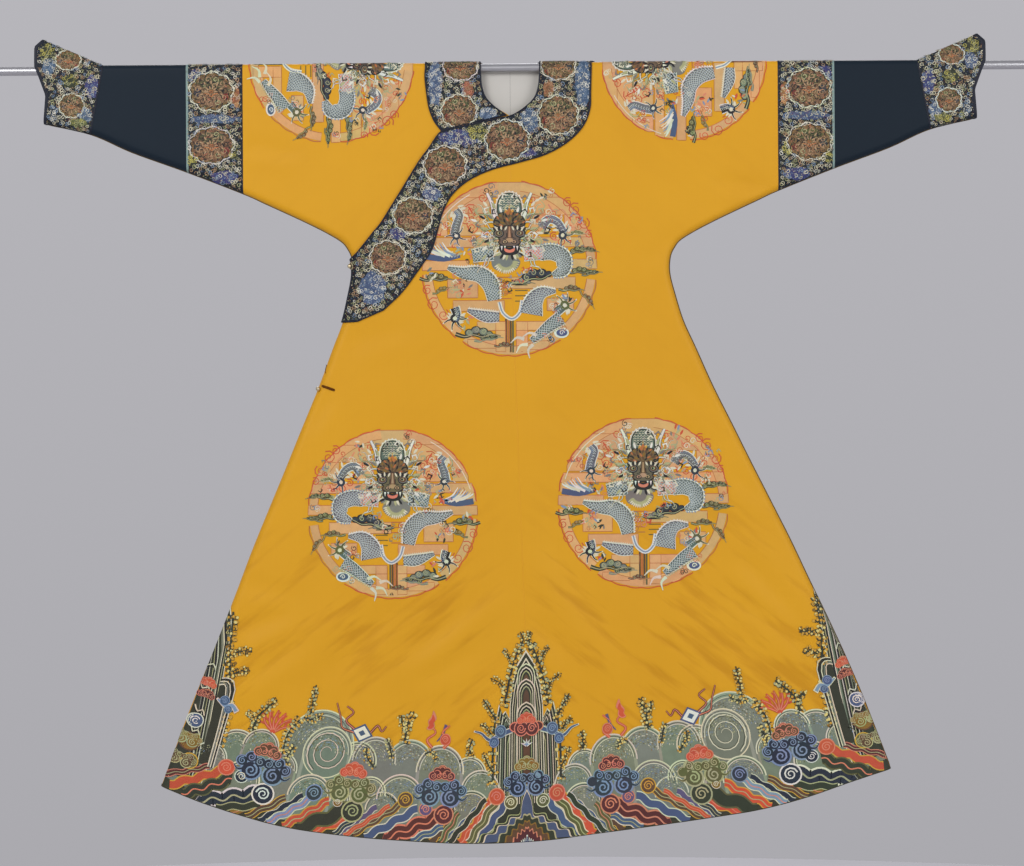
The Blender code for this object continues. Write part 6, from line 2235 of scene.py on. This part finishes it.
def scattered(cut, lift, crest, pitch):
    """Evenly scattered flat points of a cut, one for each pitch squared of hung cloth."""
    rows, columns = cut.shape[:2]
    x, run = cut[..., 0].ravel(), cut[..., 1].ravel()
    places = hang(x, run, lift(x, run), crest(x, run))[0].reshape(rows, columns, 3)
    spread = np.cross(places[1:, 1:] - places[:-1, :-1], places[1:, :-1] - places[:-1, 1:])
    share = np.linalg.norm(spread, axis=2).ravel() / 2 / pitch ** 2
    count = np.floor(share + chance.random(len(share))).astype(int)
    cell = np.repeat(np.arange(len(count)), count)
    row, column = np.divmod(cell, columns - 1)
    step = np.arange(len(cell))
    u, v = (((step * stride + start) % 1.0)[:, None] for stride, start in EVEN_STRIDES)
    corners = [cut[row + a, column + b, :2] for a, b in ((0, 0), (0, 1), (1, 0), (1, 1))]
    return (corners[0] * (1 - u) * (1 - v) + corners[1] * (1 - u) * v
            + corners[2] * u * (1 - v) + corners[3] * u * v)


EDGE_BLOCK = 2000         # flat points measured together


def edge_distance(flat, cut):
    """Distance of flat points from the edge of a cut."""
    edge = np.concatenate([cut[0], cut[1:, -1], cut[-1, -2::-1], cut[-2:0:-1, 0]])
    span = np.roll(edge, -1, axis=0) - edge
    length = np.maximum((span ** 2).sum(1), 1e-12)
    nearest = np.empty(len(flat))
    for part in np.array_split(np.arange(len(flat)), len(flat) // EDGE_BLOCK + 1):
        off = flat[part][:, None] - edge[None]
        share = np.clip((off * span).sum(2) / length, 0.0, 1.0)
        nearest[part] = np.linalg.norm(off - share[..., None] * span, axis=2).min(1)
    return nearest


def ground_at(flat, fields, side, facing, crest):
    """Mix number of the ground that each flat point lies on, -1 on the plain ground."""
    x, run = flat[:, 0] * side, flat[:, 1] * facing
    top = crest(flat[:, 0], flat[:, 1])
    high = np.where(run > QUARTER, QUARTER - run, top * np.cos(run / DRAPE_RADIUS))
    found = np.full(len(flat), -1)
    for number, (middle_x, middle, wide, tall) in enumerate(fields):
        inside = ((x - middle_x) / wide) ** 2 + ((high - middle) / tall) ** 2 < 1.0
        found[inside & (run >= 0)] = number
    return found


EDGE_CLEAR = 0.62         # stitches keep this share of their size off the edge of a band


def brocade(name, cut, lift, views, crest=plain_crest):
    """Brocade of a band: grounds and medallions, with small curls and stitches all over."""
    work = Needlework()
    layouts = []
    for side, facing, grounds, flowers in views:
        pen = Pen(work, warp=view_warp(side, facing, crest))
        for x, high, wide, tall, colour, _ in grounds:
            pen.at(x, high).fill(lumpy(wide, tall), colour)
        for x, high, wide, tall in flowers:
            medallion(pen.at(x, high, rise=1), wide, tall)
        fields = [row[:4] for row in grounds] + [(*row[:2], *(1.02 * r for r in row[2:]))
                                                 for row in flowers]
        mixes = [row[5] for row in grounds] + [FLOWER_MIX] * len(flowers)
        layouts.append((side, facing, fields, mixes, len(grounds)))
    for kind, pitch, size, layer in (("comma", 0.0038, 0.0034, 8), ("curl", 0.0074, 0.0076, 10)):
        flat = scattered(cut, lift, crest, pitch)
        flat = flat[edge_distance(flat, cut) > size * EDGE_CLEAR]
        for side, facing, fields, mixes, ground_count in layouts:
            mine = flat[flat[:, 1] * facing >= 0]
            number = ground_at(mine, fields, side, facing, crest)
            if kind == "curl":
                mine, number = mine[number < ground_count], number[number < ground_count]
            colours = mixed(PLAIN_MIX if kind == "comma" else SCROLL_MIX, len(mine))
            for k, mix in enumerate(mixes):
                colours[number == k] = mixed(mix, int((number == k).sum()))
            work.stamp(kind, mine * (1, -1), mine * (1, -1) + chance.normal(0, 0.01, mine.shape),
                       size * chance.uniform(0.8, 1.25, len(mine)), colours, layer)
    return [work.piece(name + "_patches", lift, thread, crest),
            work.stamps(name + "_stitches", lift, thread, crest)]


WRAP = 0.0006             # how far a binding stands out past the edge that it covers


def bound(name, lines, lift, width, height, material, crest=plain_crest):
    """Raised binding along flat lines; each line comes with the line beside it, inwards."""
    points, faces = [], []
    profile = np.array((-WRAP / width, -WRAP / width, 0.0, 0.25, 0.5, 0.75, 1.0))
    swell = RELIEF + height * np.sin(np.clip(0.12 + 0.88 * profile, 0.0, 1.0) * math.pi)
    swell[0] = -TRIM
    for line, beside in lines:
        inward = beside - line
        inward /= np.linalg.norm(inward, axis=1)[:, None]
        flat = (line[:, None] + inward[:, None] * (profile * width)[None, :, None]).reshape(-1, 2)
        x, run = flat[:, 0], flat[:, 1]
        places, out = hang(x, run, lift(x, run) + np.tile(swell, len(line)), crest(x, run))
        made = turned_out(places, grid_faces(len(line), len(profile)), out)
        faces.append(made + sum(len(part) for part in points))
        points.append(places)
    return add_mesh(name, np.vstack(points), np.vstack(faces), [material])


# --- where everything is sewn --------------------------------------------------------------------
FRONT_ROUNDELS = ((-0.003, 0.365, 0.161), (-0.218, 0.809, 0.156), (0.237, 0.792, 0.157))
BACK_ROUNDELS = ((0.003, 0.345, 0.161), (-0.225, 0.805, 0.157), (0.232, 0.800, 0.157))
SHOULDER_ROUNDELS = ((0.316, 90.0), (-0.324, -90.0))
SHOULDER_SIZE = 0.152

front_work = Needlework()
for x, drop, size in FRONT_ROUNDELS:
    roundel(Pen(front_work, (x, -to_run(drop)), size).at(0, 0, mirror=x < -0.1))
back_work = Needlework()
for x, drop, size in BACK_ROUNDELS:
    roundel(Pen(back_work, (x, to_run(drop)), size, 180).at(0, 0, mirror=x > 0.1))
shoulder_work = Needlework()
for x, turn in SHOULDER_ROUNDELS:
    roundel(Pen(shoulder_work, (x, 0.0), SHOULDER_SIZE, turn))
hem_border(Pen(front_work, warp=border_warp(1)))
hem_border(Pen(back_work, warp=border_warp(-1)))


# --- finishes ------------------------------------------------------------------------------------
# the last 1.0 gives the soft folds: both their bump and the painted shade in their troughs
yellow_satin = silk_satin("yellow satin", (215, 156, 25), (227, 172, 37), (190, 131, 13), 0.05, 1.0)
dark_satin = silk_satin("dark satin", (21, 33, 44), (30, 43, 55), (14, 23, 32), 0.02, shine=0.14)
lining_silk = silk_satin("plain lining", (196, 193, 186), (208, 205, 199), (180, 176, 168), 0.05)
dark_brocade = silk_satin("dark brocade", (32, 38, 46), (48, 54, 60), (22, 27, 34), 0.03, shine=0.14)
thread = needlework_thread("silk floss")


def brushed_metal(name):
    """Plain rod: lines drawn along it, with a few handling marks."""
    recipe = Recipe(name, Metallic=1.0)
    drawn = recipe.noise(recipe.places("Object", (3.0, 900.0, 900.0)), 1.0, 3.0, 0.6)
    marks = recipe.noise(recipe.places("Object", (14.0, 60.0, 60.0)), 1.0, 3.0, 0.6)
    colour = recipe.blend(drawn * 0.6 + marks * 0.4, linear(160, 160, 163), linear(200, 200, 203))
    recipe.bump(drawn, 0.15, 0.0002)
    return recipe.paint(Base_Color=colour, Roughness=0.22 + marks * 0.14 + drawn * 0.08)


# --- pieces of cloth -----------------------------------------------------------------------------
def flat_area(grid):
    """Area of a flat cut, from its grid of points."""
    diagonal = grid[1:, 1:] - grid[:-1, :-1]
    other = grid[1:, :-1] - grid[:-1, 1:]
    return float(np.abs(diagonal[..., 0] * other[..., 1] - diagonal[..., 1] * other[..., 0]).sum() / 2)


def blank_size(grid, curved):
    """Width and length of the blank a piece is cut from; a curved band is measured along its middle."""
    if not curved:
        return [float(value) for value in np.ptp(grid.reshape(-1, 2), axis=0)]
    width = np.linalg.norm(grid[:, -1] - grid[:, 0], axis=1).max()
    middle = grid[:, grid.shape[1] // 2]
    return float(width), float(np.linalg.norm(np.diff(middle, axis=0), axis=1).sum())


def finish_cloth(piece, node, grid, curved=False):
    """Ride and replace a piece of cloth, and work out the size and area of its flat cut."""
    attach(piece, "root")
    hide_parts(node)
    blank_size(grid, curved)
    flat_area(grid)


silk_materials = [yellow_satin, lining_silk, yellow_satin]
right_cut = cut_body(-1, INNER_FLAP_EDGE)
body_right = cloth_wall("silk_right_length", right_cut, 0.0, CLOTH, silk_materials)
left_cut = cut_body(1, GAP / 2)
left_lift = np.where(left_cut[..., 1] > 0, flap_lift(left_cut[..., 0], left_cut[..., 1]), 0.0)
body_left = cloth_wall("silk_left_length", left_cut, left_lift, CLOTH, silk_materials)
flap_cut = cut_flap()
outer_flap = cloth_wall("silk_overlap", flap_cut, flap_lift(flap_cut[..., 0], flap_cut[..., 1]),
                        CLOTH, silk_materials)

band_materials = [dark_brocade, dark_brocade, dark_brocade]
collar_cut = cut_band(collar_corners())
collar = cloth_wall("collar_brocade", collar_cut, LAYER_GAP + TRIM, TRIM, band_materials)
lapel_cut = cut_lapel()
lapel_lift = flap_lift(lapel_cut[..., 0], lapel_cut[..., 1]) + LAYER_GAP + TRIM
lapel = cloth_wall("lapel_brocade", lapel_cut, lapel_lift, TRIM, band_materials)

finish_cloth(body_right, "body_right", right_cut)
finish_cloth(body_left, "body_left", left_cut)
finish_cloth(outer_flap, "outer_flap", flap_cut)
finish_cloth(collar, "collar_band", collar_cut,
             curved=True)
finish_cloth(lapel, "lapel_band", lapel_cut,
             curved=True)

tube_cuts = {}
for side, name in SIDES:
    band_line = np.linspace(BAND_START + GAP, BAND_END, SLEEVE_COLUMNS)
    band_cut = tube_cut([sleeve_ring(side, x, x) for x in band_line])
    sleeve_line = smooth_line(((BAND_END + GAP, BAND_END + GAP), (0.6400, 0.6450),
                               (0.6900, 0.7040), (CUFF_START_TOP, CUFF_START_LOW)), 6)
    sleeve_cut = tube_cut([sleeve_ring(side, *row) for row in sleeve_line])
    cuff_cut = tube_cut([cuff_ring(side, share) for share in np.linspace(0, 1, SLEEVE_COLUMNS)])
    for cut, node, piece_name, slot, materials in (
            (band_cut, "sleeve_band_", "sleeve_brocade_", "patterned_trim", band_materials),
            (sleeve_cut, "sleeve_", "dark_sleeve_", "dark_silk",
             [dark_satin, lining_silk, dark_satin]),
            (cuff_cut, "cuff_", "cuff_brocade_", "patterned_trim",
             [dark_brocade, lining_silk, dark_brocade])):
        piece = cloth_wall(piece_name + name, cut[..., :2], 0.0, CLOTH, materials, cut[..., 2])
        tube_cuts[node + name] = cut[..., :2]
        finish_cloth(piece, node + name, cut[..., :2])

frame["nodes"]["rod"].data.materials.clear()
frame["nodes"]["rod"].data.materials.append(brushed_metal("brushed rod"))


# --- needlework ----------------------------------------------------------------------------------
def lapel_face(x, run):
    """Lift of the lapel band's outer face."""
    return flap_lift(x, run) + LAYER_GAP + TRIM


def collar_face(x, run):
    """Lift of the collar band's outer face."""
    return np.full(np.shape(x), LAYER_GAP + TRIM)


def silk_face(x, run):
    """Lift of the sleeves' and cuffs' outer face."""
    return np.zeros(np.shape(x))


def sew_on(sewn):
    """Ride the pieces that are sewn on the cloth."""
    for piece in sewn:
        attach(piece, "root")


for work, name in ((front_work, "needlework_front"), (back_work, "needlework_back"),
                   (shoulder_work, "needlework_shoulders")):
    sew_on([work.piece(name, silk_lift, thread), work.stamps(name + "_stitches", silk_lift, thread)])

lapel_rows, collar_rows = ([[row for row in table if on_lapel(row) == wanted]
                            for table in (NECK_GROUNDS, NECK_MEDALLIONS)]
                           for wanted in (True, False))
sew_on(brocade("lapel", lapel_cut, lapel_face, [(1, 1, *lapel_rows)]))
sew_on(brocade("collar", collar_cut, collar_face, [(1, 1, *collar_rows),
                                                   (1, -1, BACK_NECK_GROUNDS,
                                                    BACK_NECK_MEDALLIONS)]))
for side, name in SIDES:
    sew_on(brocade("sleeve_band_" + name, tube_cuts["sleeve_band_" + name], silk_face,
                   [(side, facing, SLEEVE_BAND_GROUNDS, SLEEVE_BAND_MEDALLIONS)
                    for facing in (1, -1)]))
    sew_on(brocade("cuff_" + name, tube_cuts["cuff_" + name], silk_face,
                   [(side, facing, CUFF_GROUNDS, CUFF_MEDALLIONS) for facing in (1, -1)],
                   cuff_crest))

for made in list(stamp_tray.objects):
    bpy.data.objects.remove(made, do_unlink=True)
bpy.data.collections.remove(stamp_tray)


# --- bindings ------------------------------------------------------------------------------------
def grid_edges(cut, wanted):
    """Edges of a cut, each with the line beside it: its two long sides and its two ends."""
    edges = {"first": (cut[:, 0], cut[:, 1]), "last": (cut[:, -1], cut[:, -2]),
             "start": (cut[0], cut[1]), "end": (cut[-1], cut[-2])}
    return [edges[key] for key in wanted]


navy_binding = silk_satin("binding silk", (28, 32, 44), (40, 44, 56), (18, 21, 30), 0.03)
selvedge = silk_satin("pale selvedge", (128, 150, 146), (150, 168, 160), (100, 124, 120), 0.03)
NECK_BINDING = (0.0028, 0.0008)     # width and height
# Edgings of the sleeves: name, the tube it is sewn on, edge, width, height, silk and crest.
SLEEVE_EDGINGS = (
    ("band_binding_", "sleeve_band_", "first", 0.0024, 0.0005, navy_binding, plain_crest),
    ("band_selvedge_", "sleeve_band_", "last", 0.0036, 0.0004, selvedge, plain_crest),
    ("cuff_binding_", "cuff_", "last", 0.0070, 0.0009, navy_binding, cuff_crest),
    ("cuff_seam_", "cuff_", "first", 0.0030, 0.0006, navy_binding, cuff_crest),
)
sew_on([bound("lapel_binding", grid_edges(lapel_cut, ("first", "last", "end")), lapel_face,
              *NECK_BINDING, navy_binding),
        bound("collar_binding", grid_edges(collar_cut, ("first", "last", "start")), collar_face,
              *NECK_BINDING, navy_binding)])
for _, side_name in SIDES:
    sew_on([bound(start + side_name, grid_edges(tube_cuts[sewn_on + side_name], (edge,)), silk_face,
                  width, height, silk, crest)
            for start, sewn_on, edge, width, height, silk, crest in SLEEVE_EDGINGS])


# --- seams, hems and fastenings -------------------------------------------------------------------
STRIP = 0.0016            # width of the sewn ridge down the middle seams
STRIP_HEIGHT = 0.0002
STRIP_SINK = 0.8          # the ridge lies this share of the needlework's relief lower than it,
STRIP_STOP = 0.001        # and stops this far over the hem
STRIP_ROWS = 120
PIPING = 0.0012           # radius of the cord along the side and under-sleeve seams
HEM_BINDING = 0.0042      # width of the binding along the hem
HEM_HEIGHT = 0.0004
KNOB_RADIUS = 0.0042
CORD_RADIUS = 0.0013
KNOB_CORE = 0.95          # shares of the knob's radius: its plain ball,
PETAL_HEIGHT = 0.045      # and the petals on it
PETALS = 8
KNOB_RINGS = ((0.55, 0.09, 0.05), (0.32, 0.08, -0.05))      # angle from the top, width and height
KNOB_SIDES = 48
KNOB_ROWS = 25
LOOP_POINTS = 97
STRAND_SHARE = 0.22       # depth between a cord's strands, as a share of its radius
LAY = 0.006               # the strands of a cord turn once around it in this length
TWISTED_SIDES = 12
PLAIN_SIDES = 6
CORD_TIP = 0.05           # a cord's ends close to this share of its radius
UNDERARM_KNOB = (-0.2855, 0.3580)
WAIST_KNOB = (-0.3475, 0.5835)
WAIST_LOOP = (-0.3338, 0.5800)
WAIST_TILT = math.radians(-20.0)
WAIST_REACH = (0.0118, 0.0012)      # half length and half width of the waist loop's middle line
WAIST_CORD = 0.0011
HOOK = ((-0.3352, 0.5385), (-0.3342, 0.5402), (-0.3350, 0.5425), (-0.3362, 0.5470),
        (-0.3368, 0.5515), (-0.3360, 0.5545))


def middle_seam(first_drop, facing):
    """Flat line of the middle seam of one face, with the line beside it."""
    drop = np.linspace(first_drop, HEM_MIDDLE - STRIP_STOP, STRIP_ROWS)
    line = np.stack([lean(drop) - STRIP / 2, facing * to_run(drop)], 1)
    return line, line + (STRIP, 0.0)


def seam_lift(x, run):
    """Lift of the middle seams' ridge, which stays under the needlework."""
    return silk_lift(x, run) - STRIP_SINK * RELIEF


def tube(name, rings, material):
    """Mesh through rings of places."""
    corner = np.arange(rings.shape[0] * rings.shape[1]).reshape(rings.shape[:2])
    faces = np.stack([corner[:-1], corner[1:], np.roll(corner[1:], -1, 1),
                      np.roll(corner[:-1], -1, 1)], -1)
    return add_mesh(name, rings.reshape(-1, 3), faces.reshape(-1, 4), [material])


def cord(name, path, outs, radius, material, strands=0):
    """Cord along a path of places, plain or twisted from strands."""
    sides = TWISTED_SIDES if strands else PLAIN_SIDES
    path = np.asarray(path, float)
    along = np.gradient(path, axis=0)
    along /= np.linalg.norm(along, axis=1)[:, None]
    outs = np.broadcast_to(outs, path.shape)
    outs = outs - along * (outs * along).sum(1)[:, None]
    outs /= np.linalg.norm(outs, axis=1)[:, None]
    across = np.cross(along, outs)
    run = np.concatenate([[0.0], np.cumsum(np.linalg.norm(np.diff(path, axis=0), axis=1))])
    turn = np.arange(sides) * 2 * math.pi / sides
    reach = np.full((len(path), sides), radius)
    if strands:
        ridge = np.cos(strands / 2 * (turn[None] - 2 * math.pi * run[:, None] / LAY))
        reach *= 1.0 - STRAND_SHARE + STRAND_SHARE * np.abs(ridge)
    reach[[0, -1]] *= CORD_TIP
    rings = (path[:, None] + outs[:, None] * (reach * np.cos(turn))[..., None]
             + across[:, None] * (reach * np.sin(turn))[..., None])
    return tube(name, rings, material)


def on_cloth(x, drop, lift):
    """Place on the front, its outward direction, and the directions along and down the cloth."""
    places, out = hang(x, to_run(drop), lift)
    along = np.array((1.0, 0.0, 0.0)) - out[0] * out[0, 0]
    along /= np.linalg.norm(along)
    return places[0], out[0], along, np.cross(out[0], along)


def knob(name, x, drop, lift, material):
    """Round knob with petals drawn round it, a collar ring and a flat heart."""
    middle, out, along, across = on_cloth(x, drop, lift + GAP + KNOB_RADIUS)
    share = np.linspace(0.0, math.pi, KNOB_ROWS)[:, None]
    turn = np.linspace(0.0, 2 * math.pi, KNOB_SIDES, endpoint=False)[None]
    petals = PETAL_HEIGHT * np.abs(np.cos(PETALS / 2 * turn)) * np.sin(share) ** 2
    rings = sum(height * np.exp(-((share - place) / width) ** 2)
                for place, width, height in KNOB_RINGS)
    reach = KNOB_RADIUS * (KNOB_CORE + petals + rings)
    points = (middle + (reach * np.cos(share))[..., None] * out
              + (reach * np.sin(share) * np.cos(turn))[..., None] * along
              + (reach * np.sin(share) * np.sin(turn))[..., None] * across)
    return tube(name, points, material)


def loop_path(x, drop, lift, half_length, half_width, tilt):
    """Middle line of a closed cord loop that lies on the cloth, started at one end of its seam."""
    middle, out, along, across = on_cloth(x, drop, lift + GAP + CORD_RADIUS)
    along, across = (along * math.cos(tilt) + across * math.sin(tilt),
                     across * math.cos(tilt) - along * math.sin(tilt))
    angle = np.linspace(0.0, 2 * math.pi, LOOP_POINTS)
    shift = (half_length - half_width) * np.clip(4.0 * np.cos(angle), -1.0, 1.0)
    path = (middle + (shift + half_width * np.cos(angle))[:, None] * along
            + (half_width * np.sin(angle))[:, None] * across)
    return path, out


def fasten(piece, node):
    """Ride and replace one knob or loop."""
    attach(piece, "root")
    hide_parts(node)


ochre_ridge = silk_satin("middle seam silk", (214, 154, 26), (224, 166, 34), (194, 134, 16), 0.05)
dark_piping = silk_satin("seam piping", (96, 78, 46), (118, 96, 60), (70, 56, 34), 0.02)
hem_silk = silk_satin("hem binding", (58, 56, 40), (76, 72, 52), (40, 40, 30), 0.02)
brown_cord = silk_satin("waist cord", (98, 52, 8), (122, 68, 16), (64, 34, 6), 0.02, shine=0.14)
pale_cord = silk_satin("knot cord", (158, 148, 118), (184, 174, 146), (122, 112, 86), 0.04)


def gilt(name):
    """Worn gilt brass: brighter on the high parts, with brown tarnish between."""
    recipe = Recipe(name, Metallic=1.0)
    wear = recipe.noise(recipe.places("Object", (700.0, 700.0, 700.0)), 1.0, 3.0, 0.6)
    colour = recipe.blend(wear, linear(168, 146, 104), linear(234, 222, 190))
    recipe.bump(wear, 0.2, 0.0002)
    return recipe.paint(Base_Color=colour, Roughness=0.26 + wear * 0.2)


worn_gilt = gilt("worn gilt")
# Faces of the robe: name, direction, top of the middle seam, and the hem's cuts and their end.
FACES = (("front", 1, 0.150, (flap_cut, left_cut), "end"),
         ("back", -1, 0.100, (right_cut, left_cut), "start"))
sew_on([bound("middle_seam_" + face, [middle_seam(seam_top, facing)], seam_lift, STRIP,
              STRIP_HEIGHT, ochre_ridge) for face, facing, seam_top, _, _ in FACES])
sew_on([bound("hem_binding_" + face, [grid_edges(cut, (end,))[0] for cut in cuts], silk_lift,
              HEM_BINDING, HEM_HEIGHT, hem_silk) for face, _, _, cuts, end in FACES])
for side, name in SIDES:
    seam = SEAM_LINES[side]
    path = np.stack([seam[:, 0] + side * PIPING / 2, np.zeros(len(seam)), -seam[:, 1]], 1)
    sew_on([cord("seam_piping_" + name, path, (0.0, -1.0, 0.0), PIPING, dark_piping)])

lapel_top = FLAP_LIFT + LAYER_GAP + TRIM
knob_ring = KNOB_RADIUS + GAP + CORD_RADIUS
fasten(knob("knob_underarm", *UNDERARM_KNOB, lapel_top, worn_gilt), "button_underarm")
fasten(cord("cord_underarm", *loop_path(*UNDERARM_KNOB, lapel_top, knob_ring, knob_ring, 0.0),
            CORD_RADIUS, pale_cord, 2), "loop_underarm")
waist_top = float(flap_lift(WAIST_KNOB[0], to_run(WAIST_KNOB[1])))
fasten(knob("knob_waist", *WAIST_KNOB, waist_top, worn_gilt), "button_waist")
loop_top = float(flap_lift(WAIST_LOOP[0], to_run(WAIST_LOOP[1])))
fasten(cord("cord_waist", *loop_path(*WAIST_LOOP, loop_top, *WAIST_REACH, WAIST_TILT),
            WAIST_CORD, brown_cord, 2), "loop_waist")
hook_line = smooth_line(HOOK, 4)
hook_places = [on_cloth(x, drop, float(flap_lift(x, to_run(drop))) + WAIST_CORD / 2)[0]
               for x, drop in hook_line]
hook = cord("thread_hook", hook_places, (0.0, -1.0, 0.0), WAIST_CORD / 2, brown_cord)
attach(hook, "root")


# --- camera, light and floor ---------------------------------------------------------------------
VIEW_WIDTH = 1.8637       # width of the view at the robe
VIEW_CENTRE = (-0.0007, -0.664)
VIEW_DISTANCE = 6.0
VIEW_ROLL = math.radians(0.379)
FLOOR_DROP = 1.95
FLOOR_RADIUS = 4.0
SENSOR_WIDTH = 36.0       # of the camera, in millimetres
# Lamps: name, place, the point it faces, width and power.
LAMPS = (
    ("key", (-2.2, -4.2, 1.6), (0.0, 0.0, -0.6), 2.2, 110.0),
    ("fill", (2.8, -4.0, 0.4), (0.0, 0.0, -0.7), 2.5, 70.0),
    ("back", (0.0, 3.6, 1.6), (0.0, 0.0, -0.6), 2.5, 70.0),
)


def place_camera():
    """Camera square in front of the robe, rolled a little as the rod is."""
    data = bpy.data.cameras.new("camera")
    data.sensor_width = SENSOR_WIDTH
    data.lens = SENSOR_WIDTH * VIEW_DISTANCE / VIEW_WIDTH
    camera = bpy.data.objects.new("camera", data)
    camera.location = (VIEW_CENTRE[0], -VIEW_DISTANCE, VIEW_CENTRE[1])
    camera.rotation_euler = (math.pi / 2, VIEW_ROLL, 0.0)
    bpy.context.scene.collection.objects.link(camera)
    bpy.context.scene.camera = camera


def place_light(name, place, aim, size, power):
    """Soft square lamp that faces a point."""
    data = bpy.data.lights.new(name, "AREA")
    data.shape = "SQUARE"
    data.size = size
    data.energy = power
    lamp = bpy.data.objects.new(name, data)
    lamp.location = place
    lamp.rotation_euler = (Vector(aim) - Vector(place)).to_track_quat("-Z", "Y").to_euler()
    bpy.context.scene.collection.objects.link(lamp)


def place_floor():
    """Round pale floor under the robe."""
    corners = 96
    points = np.column_stack([ellipse(FLOOR_RADIUS, FLOOR_RADIUS, corners),
                              np.full(corners, -FLOOR_DROP)])
    recipe = Recipe("pale floor")
    dust = recipe.noise(recipe.places("Object"), 2.5, 4.0, 0.6)
    pale = recipe.blend(dust, linear(196, 195, 200), linear(204, 203, 207))
    floor_paint = recipe.paint(Base_Color=pale, Roughness=0.8)
    add_mesh("floor", points, [list(range(corners))], [floor_paint])


def light_backdrop():
    """Pale grey surround, a little lighter at the top."""
    world = bpy.data.worlds.new("studio")
    bpy.context.scene.world = world
    world.use_nodes = True
    tree = world.node_tree
    place = tree.nodes.new("ShaderNodeTexCoord")
    split = tree.nodes.new("ShaderNodeSeparateXYZ")
    ramp = tree.nodes.new("ShaderNodeValToRGB")
    scale = tree.nodes.new("ShaderNodeMath")
    scale.operation = "MULTIPLY_ADD"
    scale.inputs[1].default_value = 0.5
    scale.inputs[2].default_value = 0.5
    set_stops(ramp.color_ramp, [(0.40, linear(167, 166, 171)), (0.58, linear(184, 183, 188))])
    tree.links.new(place.outputs["Generated"], split.inputs[0])
    tree.links.new(split.outputs["Z"], scale.inputs[0])
    tree.links.new(scale.outputs[0], ramp.inputs[0])
    tree.links.new(ramp.outputs[0], tree.nodes["Background"].inputs["Color"])


place_camera()
place_floor()
light_backdrop()
for lamp in LAMPS:
    place_light(*lamp)
bpy.context.scene.view_settings.view_transform = "Standard"
